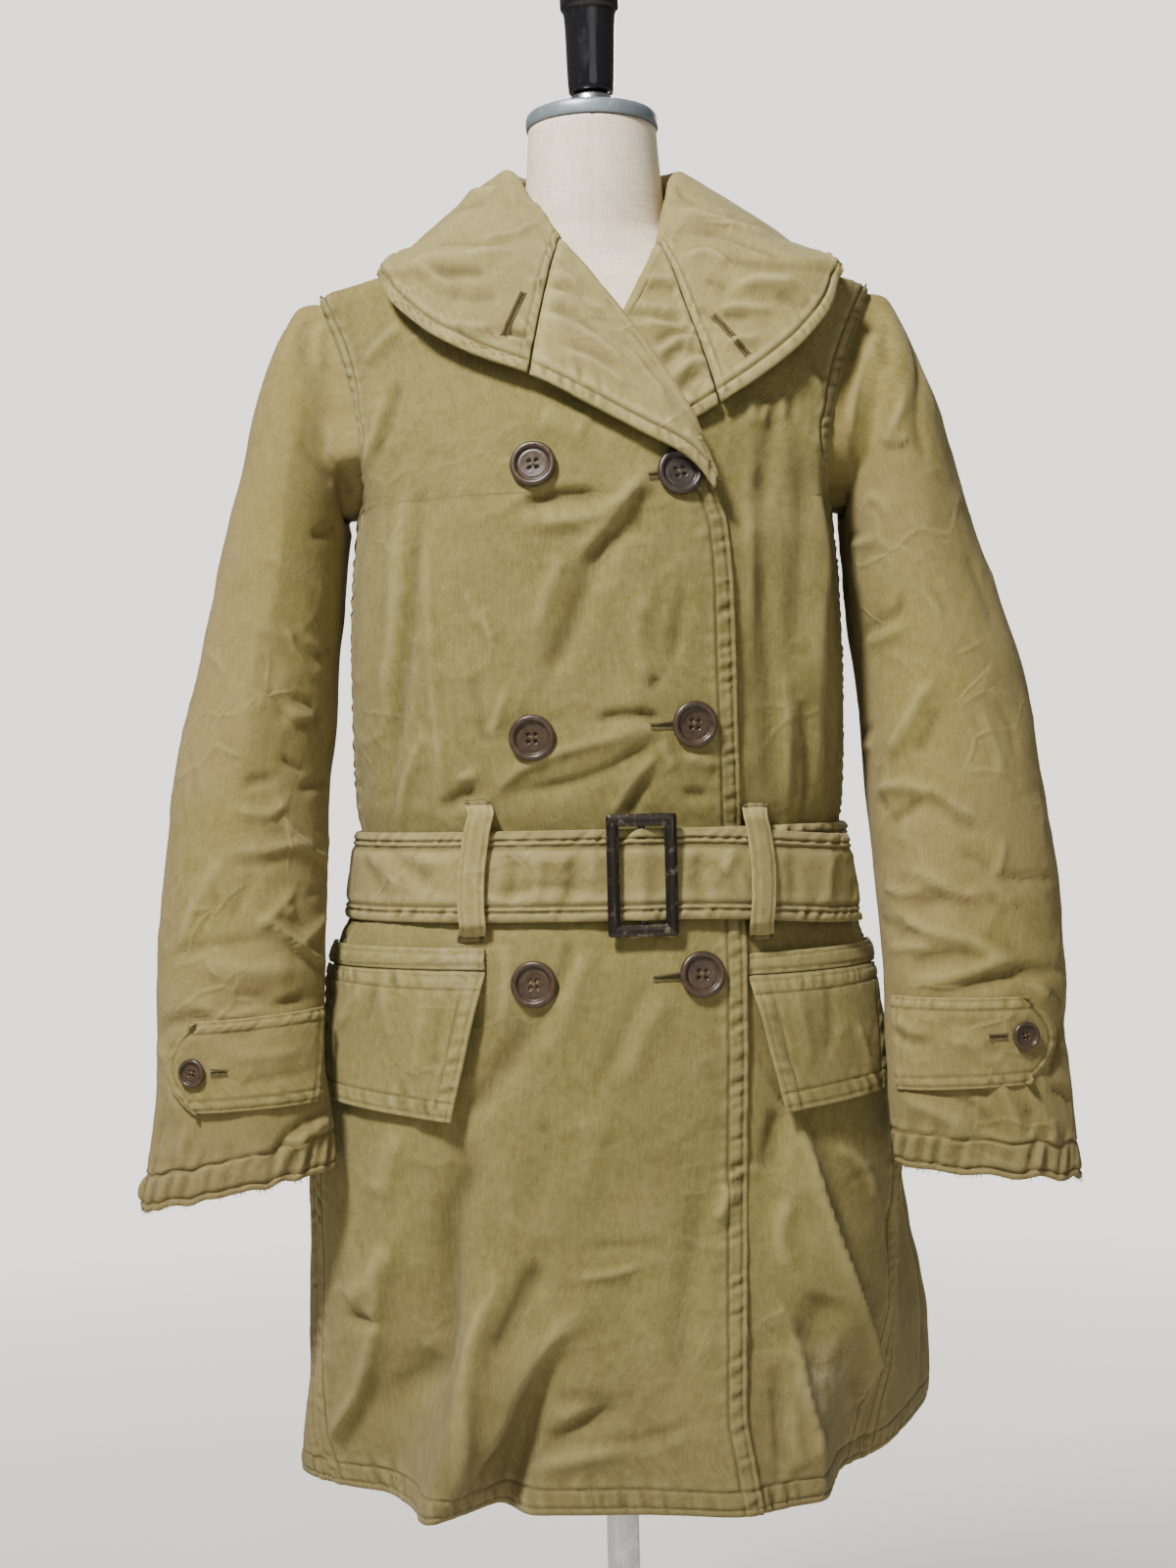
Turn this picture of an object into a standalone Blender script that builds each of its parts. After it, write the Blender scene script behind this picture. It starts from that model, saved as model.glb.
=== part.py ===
"""Belted double-breasted mackinaw coat worn on a limbless dress form.

Metres, +Z up. The origin is the centre of the stand's base, on the floor. The coat's
front faces -Y and its wearer's right is at -X. The coat's outer surface is one function
of a bearing round the body (0 at the front, positive towards +X) and a height, and each
cut piece is a stretch of that surface with a wall of cloth behind it.
"""
import math

import bmesh
import bpy
import numpy as np
from mathutils import Matrix, Vector

# Cloth
WALL = 0.003            # the blanket-lined shell, one wall
STRAP_WALL = 0.0024     # belt, loops, flaps and tabs
SEAM = 0.0005           # what neighbouring pieces keep between them

# Heights of the coat
HEM_Z = 0.477
ARMPIT_Z = 1.168
SHOULDER_Z = 1.326
NECK_Z = 1.385
BELT_LOW, BELT_HIGH = 0.877, 0.939

# Stand
BASE_RADIUS, BASE_RIM, BASE_CROWN = 0.205, 0.012, 0.022
POLE_RADIUS = 0.0119
FORM_LOW, FORM_TOP = 0.655, 1.4485
PLATE_RADIUS, PLATE_HEIGHT = 0.0487, 0.0115
STUB_RADIUS = 0.0153
HANDLE_RADIUS, HANDLE_COLLAR, HANDLE_TOP = 0.0172, 0.0219, 1.592

# The coat's plan sections: half widths to the wearer's right and left, depths, power
COAT_SECTIONS = {
    "columns": ("z", "right", "left", "front", "back", "power"),
    "rows": (
        (0.477, 0.2235, 0.2030, 0.1385, 0.1600, 2.20),
        (0.530, 0.2225, 0.2060, 0.1375, 0.1590, 2.20),
        (0.600, 0.2240, 0.2080, 0.1370, 0.1575, 2.20),
        (0.680, 0.2240, 0.2080, 0.1380, 0.1545, 2.20),
        (0.760, 0.2170, 0.2040, 0.1400, 0.1500, 2.20),
        (0.830, 0.2060, 0.1920, 0.1385, 0.1420, 2.20),
        (0.865, 0.1965, 0.1820, 0.1335, 0.1320, 2.20),
        (0.890, 0.1830, 0.1730, 0.1275, 0.1225, 2.20),
        (0.912, 0.1790, 0.1695, 0.1255, 0.1195, 2.20),
        (0.935, 0.1795, 0.1690, 0.1270, 0.1205, 2.20),
        (0.957, 0.1830, 0.1715, 0.1315, 0.1240, 2.25),
        (1.000, 0.1845, 0.1735, 0.1360, 0.1300, 2.30),
        (1.060, 0.1845, 0.1740, 0.1385, 0.1345, 2.35),
        (1.115, 0.1828, 0.1728, 0.1390, 0.1365, 2.35),
        (1.168, 0.1785, 0.1695, 0.1360, 0.1355, 2.30),
        (1.206, 0.1850, 0.1815, 0.1295, 0.1310, 2.30),
        (1.240, 0.1895, 0.1865, 0.1205, 0.1240, 2.30),
        (1.270, 0.1940, 0.1905, 0.1105, 0.1150, 2.25),
        (1.300, 0.1990, 0.1960, 0.0980, 0.1030, 2.20),
        (1.326, 0.2035, 0.2005, 0.0850, 0.0890, 2.15),
        (1.333, 0.1830, 0.1810, 0.0800, 0.0830, 2.10),
        (1.341, 0.1570, 0.1570, 0.0735, 0.0760, 2.10),
        (1.353, 0.1250, 0.1250, 0.0655, 0.0680, 2.05),
        (1.368, 0.0930, 0.0930, 0.0585, 0.0600, 2.00),
        (1.385, 0.0660, 0.0660, 0.0530, 0.0560, 2.00),
    ),
}

# The dress form's plan sections, symmetric from side to side
FORM_SECTIONS = {
    "columns": ("z", "wide", "front", "back", "power"),
    "rows": (
        (0.655, 0.1560, 0.1030, 0.1120, 2.20),
        (0.760, 0.1640, 0.1080, 0.1190, 2.20),
        (0.840, 0.1610, 0.1060, 0.1160, 2.20),
        (0.930, 0.1330, 0.0930, 0.0940, 2.15),
        (1.000, 0.1150, 0.0860, 0.0800, 2.15),
        (1.070, 0.1240, 0.0990, 0.0850, 2.15),
        (1.140, 0.1420, 0.1190, 0.0960, 2.15),
        (1.200, 0.1530, 0.1120, 0.1010, 2.15),
        (1.255, 0.1680, 0.0960, 0.0960, 2.15),
        (1.295, 0.1760, 0.0800, 0.0830, 2.10),
        (1.3130, 0.1700, 0.0710, 0.0730, 2.10),
        (1.3240, 0.1420, 0.0660, 0.0660, 2.05),
        (1.3400, 0.1040, 0.0575, 0.0570, 2.00),
        (1.3560, 0.0740, 0.0530, 0.0530, 2.00),
        (1.3720, 0.0550, 0.0505, 0.0505, 2.00),
        (1.3950, 0.0510, 0.0505, 0.0505, 2.00),
        (1.4200, 0.0490, 0.0490, 0.0490, 2.00),
        (1.4485, 0.0470, 0.0470, 0.0470, 2.00),
    ),
}

# Folds of the skirt: they start at nothing at top_z and are deepest at the hem.
# Bearings and widths in degrees, out and lean in metres at the hem.
SKIRT_FOLDS = {
    "columns": ("top_bearing", "hem_bearing", "top_z", "width", "out", "lean"),
    "rows": (
        (-50, -86, 0.700, 8.0, 0.010, 0.000),      # right side, front edge
        (-40, -65, 0.730, 9.0, -0.018, 0.000),     # broad trough on the wearer's right
        (-27, -44, 0.700, 6.5, 0.030, 0.010),      # the tall ridge at the right hem
        (-14, -34, 0.640, 5.5, -0.024, -0.012),    # deep trough beside it
        (12, 30, 0.700, 15.0, 0.022, 0.000),       # the front edge stands forward
        (52, 49, 0.740, 7.0, 0.011, 0.000),        # crest on the under front
        (66, 71, 0.620, 13.0, -0.030, 0.000),      # trough at the left side
        (106, 113, 0.800, 15.0, 0.052, 0.000),     # the left side back stands out
        (140, 138, 0.700, 11.0, -0.014, 0.000),    # back, wearer's left
        (165, 163, 0.720, 12.0, 0.014, 0.000),
        (-172, -174, 0.700, 11.0, -0.010, 0.000),
        (-148, -150, 0.720, 12.0, 0.015, 0.000),
        (-122, -124, 0.700, 11.0, -0.012, 0.000),
        (-101, -104, 0.700, 10.0, 0.012, 0.000),   # back, wearer's right
    ),
}

# Soft folds of the body, deepest half way between their ends
BODY_FOLDS = {
    "columns": ("top_bearing", "top_z", "low_bearing", "low_z", "width", "out"),
    "rows": (
        (92, 0.720, 86, 0.535, 8.0, -0.014),       # valley before the left flare
        (-66, 1.300, -62, 1.130, 6.5, 0.006),      # chest, wearer's right
        (-74, 1.290, -76, 1.080, 5.0, -0.004),
        (61, 1.260, 58, 0.960, 7.0, 0.006),        # chest, wearer's left
        (74, 1.240, 76, 1.040, 6.0, -0.004),
        (-40, 1.080, -28, 0.950, 8.0, 0.005),      # blousing over the belt
        (10, 1.060, 2, 0.950, 8.0, 0.005),
        (125, 1.080, 122, 0.950, 12.0, 0.007),     # back, over the belt
        (-130, 1.080, -126, 0.950, 12.0, 0.007),
        (180, 1.060, 178, 0.950, 12.0, 0.005),
        (150, 1.250, 152, 1.060, 10.0, 0.004),     # back, shoulder blades
        (-150, 1.250, -152, 1.060, 10.0, 0.004),
    ),
}

# How far the hem rises above HEM_Z at a bearing
HEM_RISE = {
    "columns": ("bearing", "rise"),
    "rows": ((-180, 0.002), (-100, 0.000), (40, 0.002), (75, 0.004), (105, 0.018),
             (125, 0.014), (150, 0.004), (180, 0.002)),
}

# Front edge of the lapped wearer's right front: distance right of the middle
FRONT_EDGE = {
    "columns": ("z", "x"),
    "rows": ((0.477, 0.0950), (0.510, 0.0895), (0.545, 0.0846), (0.646, 0.0878),
             (0.795, 0.0912), (0.865, 0.0920), (1.009, 0.0899), (1.102, 0.0885),
             (1.141, 0.0865), (1.168, 0.0790)),
}

# Armhole of the right side: front and back, from the armpit to the shoulder
ARMHOLE = {
    "columns": ("z", "front", "back"),
    "rows": ((1.168, 0.1760, 0.1770), (1.184, 0.1715, 0.1740), (1.206, 0.1700, 0.1745),
             (1.237, 0.1747, 0.1790), (1.270, 0.1833, 0.1860), (1.300, 0.1941, 0.1950),
             (1.326, 0.2035, 0.2035)),
}

# Roll line and outer edge of collar and lapels, from the end of the wearer's right
# lapel round the neck to the end of the left one. stand is the roll's height above the
# neckline seam, lift how far the fall keeps off the cloth below, at the outer edge.
COLLAR = {
    "columns": ("station", "roll_x", "roll_y", "roll_z", "edge_x", "edge_y", "edge_z",
                "stand", "lift"),
    "rows": (
        (0.0, 0.0790, -0.137, 1.166, 0.0800, -0.139, 1.163, 0.004, 0.005),
        (1.0, 0.0610, -0.132, 1.211, 0.0590, -0.140, 1.187, 0.004, 0.006),
        (2.0, 0.0375, -0.122, 1.257, 0.0280, -0.138, 1.204, 0.004, 0.007),
        (3.0, 0.0060, -0.100, 1.305, -0.0100, -0.136, 1.226, 0.004, 0.008),
        (4.0, -0.0253, -0.069, 1.351, -0.0480, -0.130, 1.248, 0.005, 0.009),
        (5.0, -0.0385, -0.053, 1.376, -0.0910, -0.118, 1.266, 0.012, 0.011),
        (6.0, -0.0500, -0.036, 1.398, -0.1240, -0.100, 1.288, 0.020, 0.012),
        (7.0, -0.0575, -0.018, 1.412, -0.1470, -0.072, 1.319, 0.027, 0.009),
        (8.0, -0.0600, 0.006, 1.419, -0.1440, 0.000, 1.349, 0.032, 0.004),
        (9.0, -0.0520, 0.036, 1.424, -0.1140, 0.071, 1.328, 0.036, 0.007),
        (10.0, -0.0280, 0.057, 1.427, -0.0600, 0.108, 1.300, 0.038, 0.007),
        (11.0, 0.0000, 0.063, 1.428, 0.0000, 0.119, 1.290, 0.038, 0.007),
        (12.0, 0.0280, 0.057, 1.427, 0.0620, 0.108, 1.300, 0.038, 0.007),
        (13.0, 0.0520, 0.036, 1.424, 0.1200, 0.071, 1.326, 0.036, 0.007),
        (14.0, 0.0590, 0.006, 1.417, 0.1560, 0.000, 1.345, 0.032, 0.004),
        (15.0, 0.0565, -0.016, 1.408, 0.1640, -0.068, 1.308, 0.027, 0.009),
        (16.0, 0.0530, -0.034, 1.392, 0.1480, -0.096, 1.278, 0.020, 0.012),
        (17.0, 0.0495, -0.052, 1.371, 0.1200, -0.116, 1.254, 0.012, 0.011),
        (18.0, 0.0445, -0.069, 1.350, 0.0871, -0.131, 1.234, 0.005, 0.004),
        (19.0, 0.0170, -0.100, 1.294, 0.0400, -0.134, 1.206, 0.004, 0.0005),
        (20.0, -0.0200, -0.119, 1.240, -0.0060, -0.138, 1.190, 0.004, 0.0005),
    ),
}
GORGE_RIGHT, GORGE_LEFT = 4.0, 18.0
LAPEL_LEFT_END = 20.0

# Sleeve, wearer's right: outer and inner points of its rings, middle depth, half depth
SLEEVE_RIGHT = {
    "columns": ("ring", "outer_x", "outer_z", "inner_x", "inner_z", "mid_y", "half_y"),
    "rows": (
        (0, -0.2035, 1.3260, -0.1775, 1.1680, 0.000, 0.062),
        (1, -0.2165, 1.3220, -0.1812, 1.1660, -0.001, 0.062),
        (2, -0.2285, 1.3070, -0.1826, 1.1620, -0.002, 0.065),
        (3, -0.2402, 1.2780, -0.1840, 1.1550, -0.003, 0.068),
        (4, -0.2525, 1.2420, -0.1855, 1.1420, -0.005, 0.070),
        (5, -0.2610, 1.2050, -0.1868, 1.1230, -0.008, 0.071),
        (6, -0.2707, 1.1620, -0.1885, 1.0950, -0.012, 0.071),
        (7, -0.2816, 1.1090, -0.1915, 1.0620, -0.018, 0.070),
        (8, -0.2950, 1.0460, -0.1938, 1.0200, -0.026, 0.068),
        (9, -0.3052, 0.9990, -0.1990, 0.9780, -0.034, 0.066),
        (10, -0.3121, 0.9490, -0.2015, 0.9300, -0.044, 0.063),
        (11, -0.3180, 0.8900, -0.2020, 0.8750, -0.056, 0.058),
        (12, -0.3190, 0.8350, -0.2020, 0.8280, -0.070, 0.052),
        (13, -0.3180, 0.7850, -0.2010, 0.7850, -0.081, 0.044),
        (14, -0.3205, 0.7420, -0.1960, 0.7500, -0.089, 0.037),
        (15, -0.3295, 0.6810, -0.1930, 0.7080, -0.094, 0.031),
    ),
}
# Sleeve, wearer's left
SLEEVE_LEFT = {
    "columns": ("ring", "outer_x", "outer_z", "inner_x", "inner_z", "mid_y", "half_y"),
    "rows": (
        (0, 0.2005, 1.3260, 0.1685, 1.1680, 0.000, 0.062),
        (1, 0.2115, 1.3190, 0.1722, 1.1660, -0.001, 0.062),
        (2, 0.2230, 1.3020, 0.1736, 1.1610, -0.002, 0.065),
        (3, 0.2348, 1.2700, 0.1748, 1.1520, -0.003, 0.068),
        (4, 0.2478, 1.2320, 0.1758, 1.1360, -0.005, 0.070),
        (5, 0.2571, 1.1980, 0.1766, 1.1150, -0.008, 0.071),
        (6, 0.2680, 1.1560, 0.1776, 1.0860, -0.012, 0.071),
        (7, 0.2833, 1.1090, 0.1804, 1.0540, -0.018, 0.070),
        (8, 0.2986, 1.0520, 0.1838, 1.0150, -0.026, 0.068),
        (9, 0.3070, 1.0000, 0.1850, 0.9720, -0.034, 0.066),
        (10, 0.3110, 0.9510, 0.1868, 0.9300, -0.044, 0.063),
        (11, 0.3165, 0.8850, 0.1900, 0.8750, -0.057, 0.058),
        (12, 0.3186, 0.8250, 0.1920, 0.8250, -0.070, 0.052),
        (13, 0.3150, 0.7870, 0.1900, 0.7800, -0.080, 0.044),
        (14, 0.3168, 0.7430, 0.1902, 0.7430, -0.088, 0.037),
        (15, 0.3225, 0.6900, 0.1935, 0.7010, -0.093, 0.031),
    ),
}
SLEEVE_RINGS = 22
SLEEVE_BLEND = 3.0      # rings over which the armhole's outline turns into an ellipse
ARMHOLE_GAP = 0.0008    # how far a sleeve's first ring keeps off the armhole

# Grid sizes of the panels
ROWS_BELOW, ROWS_ABOVE = 17, 8
COLUMNS_RIGHT_FRONT, COLUMNS_LEFT_FRONT, COLUMNS_BACK = 18, 16, 24

# Bearings of the side seams, at the hem and at the armpit
SIDE_SEAM_RIGHT = (-76.0, -84.0)
SIDE_SEAM_LEFT = (76.0, 84.0)
UNDER_FRONT_EDGE = -0.082   # hidden edge of the wearer's left front
LAP_GAP = 0.0045            # how far the under front lies behind the lapped one
UNDER_SINK = 0.034          # and at its hidden edge at the hem, where that one is folded
LAPEL_GAP = 0.0130          # and where the left lapel lies between them
UNDER_BEARINGS = (66.0, 38.0)       # it sinks from its own level to LAP_GAP between these
LAPEL_LOW, LAPEL_HIGH = (1.13, 1.18), (1.345, 1.30)     # and to LAPEL_GAP between these
SINK_BEARINGS = (6.0, -16.0)        # it turns plain between these bearings
SINK_HEIGHTS, DEEP_HEIGHTS = (0.69, 0.59), (0.69, 0.52)     # and these heights

# Upper rows of a front: the share that follows the roll line, how many stations past the
# left lapel's end it begins, and over which share the edge moves under the rolled fold
ROLL_SHARE, ROLL_BEYOND, ROLL_START = 0.8, 1.2, 0.15
ROLL_WIDTH = 0.0045         # the fold of a lapel reaches this far past its panel's edge
ROLL_SIDE, ROLL_DOWN = 0.8, 0.5     # parts of ROLL_WIDTH sideways and down

# Where the back's columns leave the shoulder seam, and the rows over which they learn it
SHOULDER_SHARE, SHOULDER_ROWS = 0.62, (0.55, 1.0)

# Buttons: height and side of the six, radius of each kind
BUTTON_RADIUS, BUTTON_THICK, BUTTON_GAP = 0.0158, 0.0042, 0.0008
CUFF_BUTTON_RADIUS, CUFF_BUTTON_THICK = 0.0098, 0.0032
BUTTONS = {
    "columns": ("name", "x", "z"),
    "rows": (("button_top_right", -0.0458, 1.186), ("button_top_left", 0.0528, 1.179),
             ("button_middle_right", -0.0505, 1.002), ("button_middle_left", 0.0589, 1.009),
             ("button_low_right", -0.0528, 0.836), ("button_low_left", 0.0603, 0.840)),
}

# Buckle
BUCKLE_X, BUCKLE_Z = 0.0202, 0.9075
BUCKLE_WIDTH, BUCKLE_HEIGHT, BUCKLE_BAR, BUCKLE_THICK = 0.0475, 0.0825, 0.0083, 0.0042
BUCKLE_LIFT = 0.0095
CENTRE_BAR_WIDTH, CENTRE_BAR_THICK = 0.005, 0.0014
BUCKLE_RISE, BUCKLE_RISE_WIDTH = 0.0060, 0.0085     # the belt's rise over the centre bar

# Belt
BELT_UNDER_LIFT, BELT_OVER_LIFT = 0.0046, 0.0086
BELT_START_BEARING, BELT_TAIL_BEARING = 14.0, 73.0
BELT_TAIL_DROP, BELT_TAIL_LIFT = 0.0095, 0.006
BELT_TAIL_TURN = 60.0               # degrees over which the tail comes away
BELT_RISING = (265.0, 340.0)        # turn over which it climbs onto its own start
BELT_BUCKLE_TURN = 300.0            # past this turn the belt may lie in the buckle

COLOURS = {
    "cloth": ((0.33, 0.28, 0.13), 0.85, 0.0),
    "sleeve": ((0.36, 0.29, 0.13), 0.85, 0.0),
    "collar": ((0.38, 0.32, 0.17), 0.85, 0.0),
    "belt": ((0.35, 0.29, 0.14), 0.85, 0.0),
    "button": ((0.10, 0.065, 0.04), 0.3, 0.0),
    "buckle": ((0.06, 0.055, 0.05), 0.35, 0.9),
    "linen": ((0.60, 0.50, 0.38), 0.9, 0.0),
    "plate": ((0.30, 0.34, 0.38), 0.4, 0.6),
    "steel": ((0.55, 0.56, 0.57), 0.25, 1.0),
    "handle": ((0.01, 0.01, 0.012), 0.2, 0.0),
    "base": ((0.08, 0.08, 0.085), 0.5, 0.7),
}


def clear_scene():
    for thing in list(bpy.data.objects):
        bpy.data.objects.remove(thing, do_unlink=True)


def material(name):
    found = bpy.data.materials.get(name)
    if found:
        return found
    colour, rough, metal = COLOURS[name]
    made = bpy.data.materials.new(name)
    made.use_nodes = True
    shader = made.node_tree.nodes["Principled BSDF"]
    shader.inputs["Base Color"].default_value = (*colour, 1.0)
    shader.inputs["Roughness"].default_value = rough
    shader.inputs["Metallic"].default_value = metal
    made.diffuse_color = (*colour, 1.0)
    return made


def column(table, name):
    """One named column of a table."""
    at = table["columns"].index(name)
    return [row[at] for row in table["rows"]]


def curve(xs, ys, x):
    """A smooth curve through the points (xs, ys), level or straight at its ends."""
    x = min(max(x, xs[0]), xs[-1])
    at = min(max(int(np.searchsorted(xs, x, side="right")) - 1, 0), len(xs) - 2)
    slopes = [(ys[i + 1] - ys[i]) / (xs[i + 1] - xs[i]) for i in range(len(xs) - 1)]

    def tangent(i):
        if i == 0 or i == len(xs) - 1:
            return slopes[0] if i == 0 else slopes[-1]
        before, after = slopes[i - 1], slopes[i]
        if before * after <= 0:
            return 0.0
        return 2 * before * after / (before + after)

    span = xs[at + 1] - xs[at]
    t = (x - xs[at]) / span
    h00 = (1 + 2 * t) * (1 - t) ** 2
    h10 = t * (1 - t) ** 2
    h01 = t * t * (3 - 2 * t)
    h11 = t * t * (t - 1)
    return (h00 * ys[at] + h10 * span * tangent(at)
            + h01 * ys[at + 1] + h11 * span * tangent(at + 1))


def look_up(table, key, name, x):
    return curve(column(table, key), column(table, name), x)


def smooth(t):
    t = min(max(t, 0.0), 1.0)
    return t * t * (3 - 2 * t)


def lerp(a, b, t):
    return a + (b - a) * t


def between(limits, x):
    """Rises smoothly from 0 at the first limit to 1 at the second."""
    first, last = limits
    return smooth((x - first) / (last - first))


def turn_between(a, b):
    """The bearing b as seen from a, in degrees from -180 to 180."""
    return (b - a + 180.0) % 360.0 - 180.0


def hem_z(bearing):
    wrapped = turn_between(0.0, bearing)
    return HEM_Z + look_up(HEM_RISE, "bearing", "rise", wrapped)


def fold_shift(bearing, z):
    """How far the folds move the cloth outwards and sideways."""
    out = lean = 0.0
    for top, low, top_z, width, rise, side in SKIRT_FOLDS["rows"]:
        down = (top_z - z) / (top_z - HEM_Z)
        if down <= 0:
            continue
        down = min(down, 1.0)
        middle = top + turn_between(top, low) * down
        spread = width * lerp(1.6, 1.0, down)
        share = smooth(down) * math.exp(-(turn_between(middle, bearing) / spread) ** 2)
        out += rise * share
        lean += side * share
    for top, top_z, low, low_z, width, rise in BODY_FOLDS["rows"]:
        down = (top_z - z) / (top_z - low_z)
        if not 0 < down < 1:
            continue
        middle = top + turn_between(top, low) * down
        share = math.sin(math.pi * down) ** 2
        out += rise * share * math.exp(-(turn_between(middle, bearing) / width) ** 2)
    return out, lean


def coat_radius(bearing, z):
    """Distance from the middle to the coat's outer face, folds left out."""
    angle = math.radians(bearing)
    side, ahead = math.sin(angle), math.cos(angle)
    wide = look_up(COAT_SECTIONS, "z", "left" if side > 0 else "right", z)
    deep = look_up(COAT_SECTIONS, "z", "front" if ahead > 0 else "back", z)
    power = look_up(COAT_SECTIONS, "z", "power", z)
    return (abs(side / wide) ** power + abs(ahead / deep) ** power) ** (-1 / power)


def skin(bearing, z):
    """A point of the coat's outer face."""
    angle = math.radians(bearing)
    out, lean = fold_shift(bearing, z)
    radius = coat_radius(bearing, z) + out
    return Vector((radius * math.sin(angle) + lean * math.cos(angle),
                   -radius * math.cos(angle) + lean * math.sin(angle), z))


def skin_normal(bearing, z):
    """Outward unit normal of the coat's outer face."""
    step, rise = 1.0, 0.003
    low, high = z - rise, min(z + rise, NECK_Z)
    across = skin(bearing + step, z) - skin(bearing - step, z)
    up = skin(bearing, high) - skin(bearing, low)
    return across.cross(up).normalized()


def coat(bearing, z, lift=0.0):
    """A point held off the coat's outer face by lift."""
    return skin(bearing, z) + skin_normal(bearing, z) * lift


def even_bearing(share_angle, z):
    """Bearing of an even step round the section, whatever its flatness."""
    angle = math.radians(share_angle)
    wide = look_up(COAT_SECTIONS, "z", "left" if math.sin(angle) > 0 else "right", z)
    deep = look_up(COAT_SECTIONS, "z", "front" if math.cos(angle) > 0 else "back", z)
    return math.degrees(math.atan2(wide * math.sin(angle), deep * math.cos(angle)))


def even_share(bearing, z):
    """The even step of a bearing, the inverse of even_bearing."""
    angle = math.radians(bearing)
    wide = look_up(COAT_SECTIONS, "z", "left" if math.sin(angle) > 0 else "right", z)
    deep = look_up(COAT_SECTIONS, "z", "front" if math.cos(angle) > 0 else "back", z)
    return math.degrees(math.atan2(math.sin(angle) / wide, math.cos(angle) / deep))


def bearing_at(x, z, behind=False):
    """Bearing at which the coat's face passes x, on its front half or its back half."""
    side = 1.0 if x >= 0 else -1.0
    low, high = 0.0, 90.0
    for _ in range(30):
        middle = (low + high) / 2
        bearing = 180.0 - middle if behind else middle
        if side * skin(side * bearing, z).x < abs(x):
            low = middle
        else:
            high = middle
    return side * (180.0 - low if behind else low)


def settle(point, lift, firm=0.0):
    """Moves a point out until it is lift away from the coat's outer face. firm is the
    share by which a point that is further off is drawn back to that height too."""
    for _ in range(3):
        if point.z >= NECK_Z:
            return point
        bearing = math.degrees(math.atan2(point.x, -point.y))
        z = max(point.z, hem_z(bearing))
        normal = skin_normal(bearing, z)
        away = (point - skin(bearing, z)).dot(normal)
        short = lift - away
        point = point + normal * (short if short > 0 else short * firm)
    return point


def collection(name):
    made = bpy.data.collections.new(name)
    bpy.context.scene.collection.children.link(made)
    return made


def add_object(name, mesh, slot, home):
    thing = bpy.data.objects.new(name, mesh)
    mesh.materials.append(material(slot))
    home.objects.link(thing)
    mesh.shade_smooth()
    return thing


def grid_mesh(name, grid, closed=False):
    """An open sheet through rows of points; closed joins each row's ends."""
    bm = bmesh.new()
    rows = [[bm.verts.new(point) for point in row] for row in grid]
    for lower, upper in zip(rows, rows[1:]):
        count = len(lower)
        for i in range(count if closed else count - 1):
            j = (i + 1) % count
            bm.faces.new((lower[i], lower[j], upper[j], upper[i]))
    mesh = bpy.data.meshes.new(name)
    bm.to_mesh(mesh)
    bm.free()
    return mesh


def cloth(name, grid, slot, home, wall=WALL, closed=False):
    """A wall of cloth whose outer face passes through the grid's points."""
    thing = add_object(name, grid_mesh(name, grid, closed), slot, home)
    thicken = thing.modifiers.new("wall", "SOLIDIFY")
    thicken.thickness = wall
    thicken.offset = -1.0
    return thing


# ---------------------------------------------------------------- stand and form

def turned(name, profile, slot, home, steps=28):
    """A turned solid about the pole's axis; profile runs down its outer side."""
    bm = bmesh.new()
    points = [bm.verts.new((radius, 0.0, z)) for radius, z in profile]
    for a, b in zip(points, points[1:]):
        bm.edges.new((a, b))
    mesh = bpy.data.meshes.new(name)
    bm.to_mesh(mesh)
    bm.free()
    thing = add_object(name, mesh, slot, home)
    spin = thing.modifiers.new("turn", "SCREW")
    spin.steps = spin.render_steps = steps
    spin.use_merge_vertices = True
    spin.merge_threshold = 0.00001
    return thing


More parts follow.
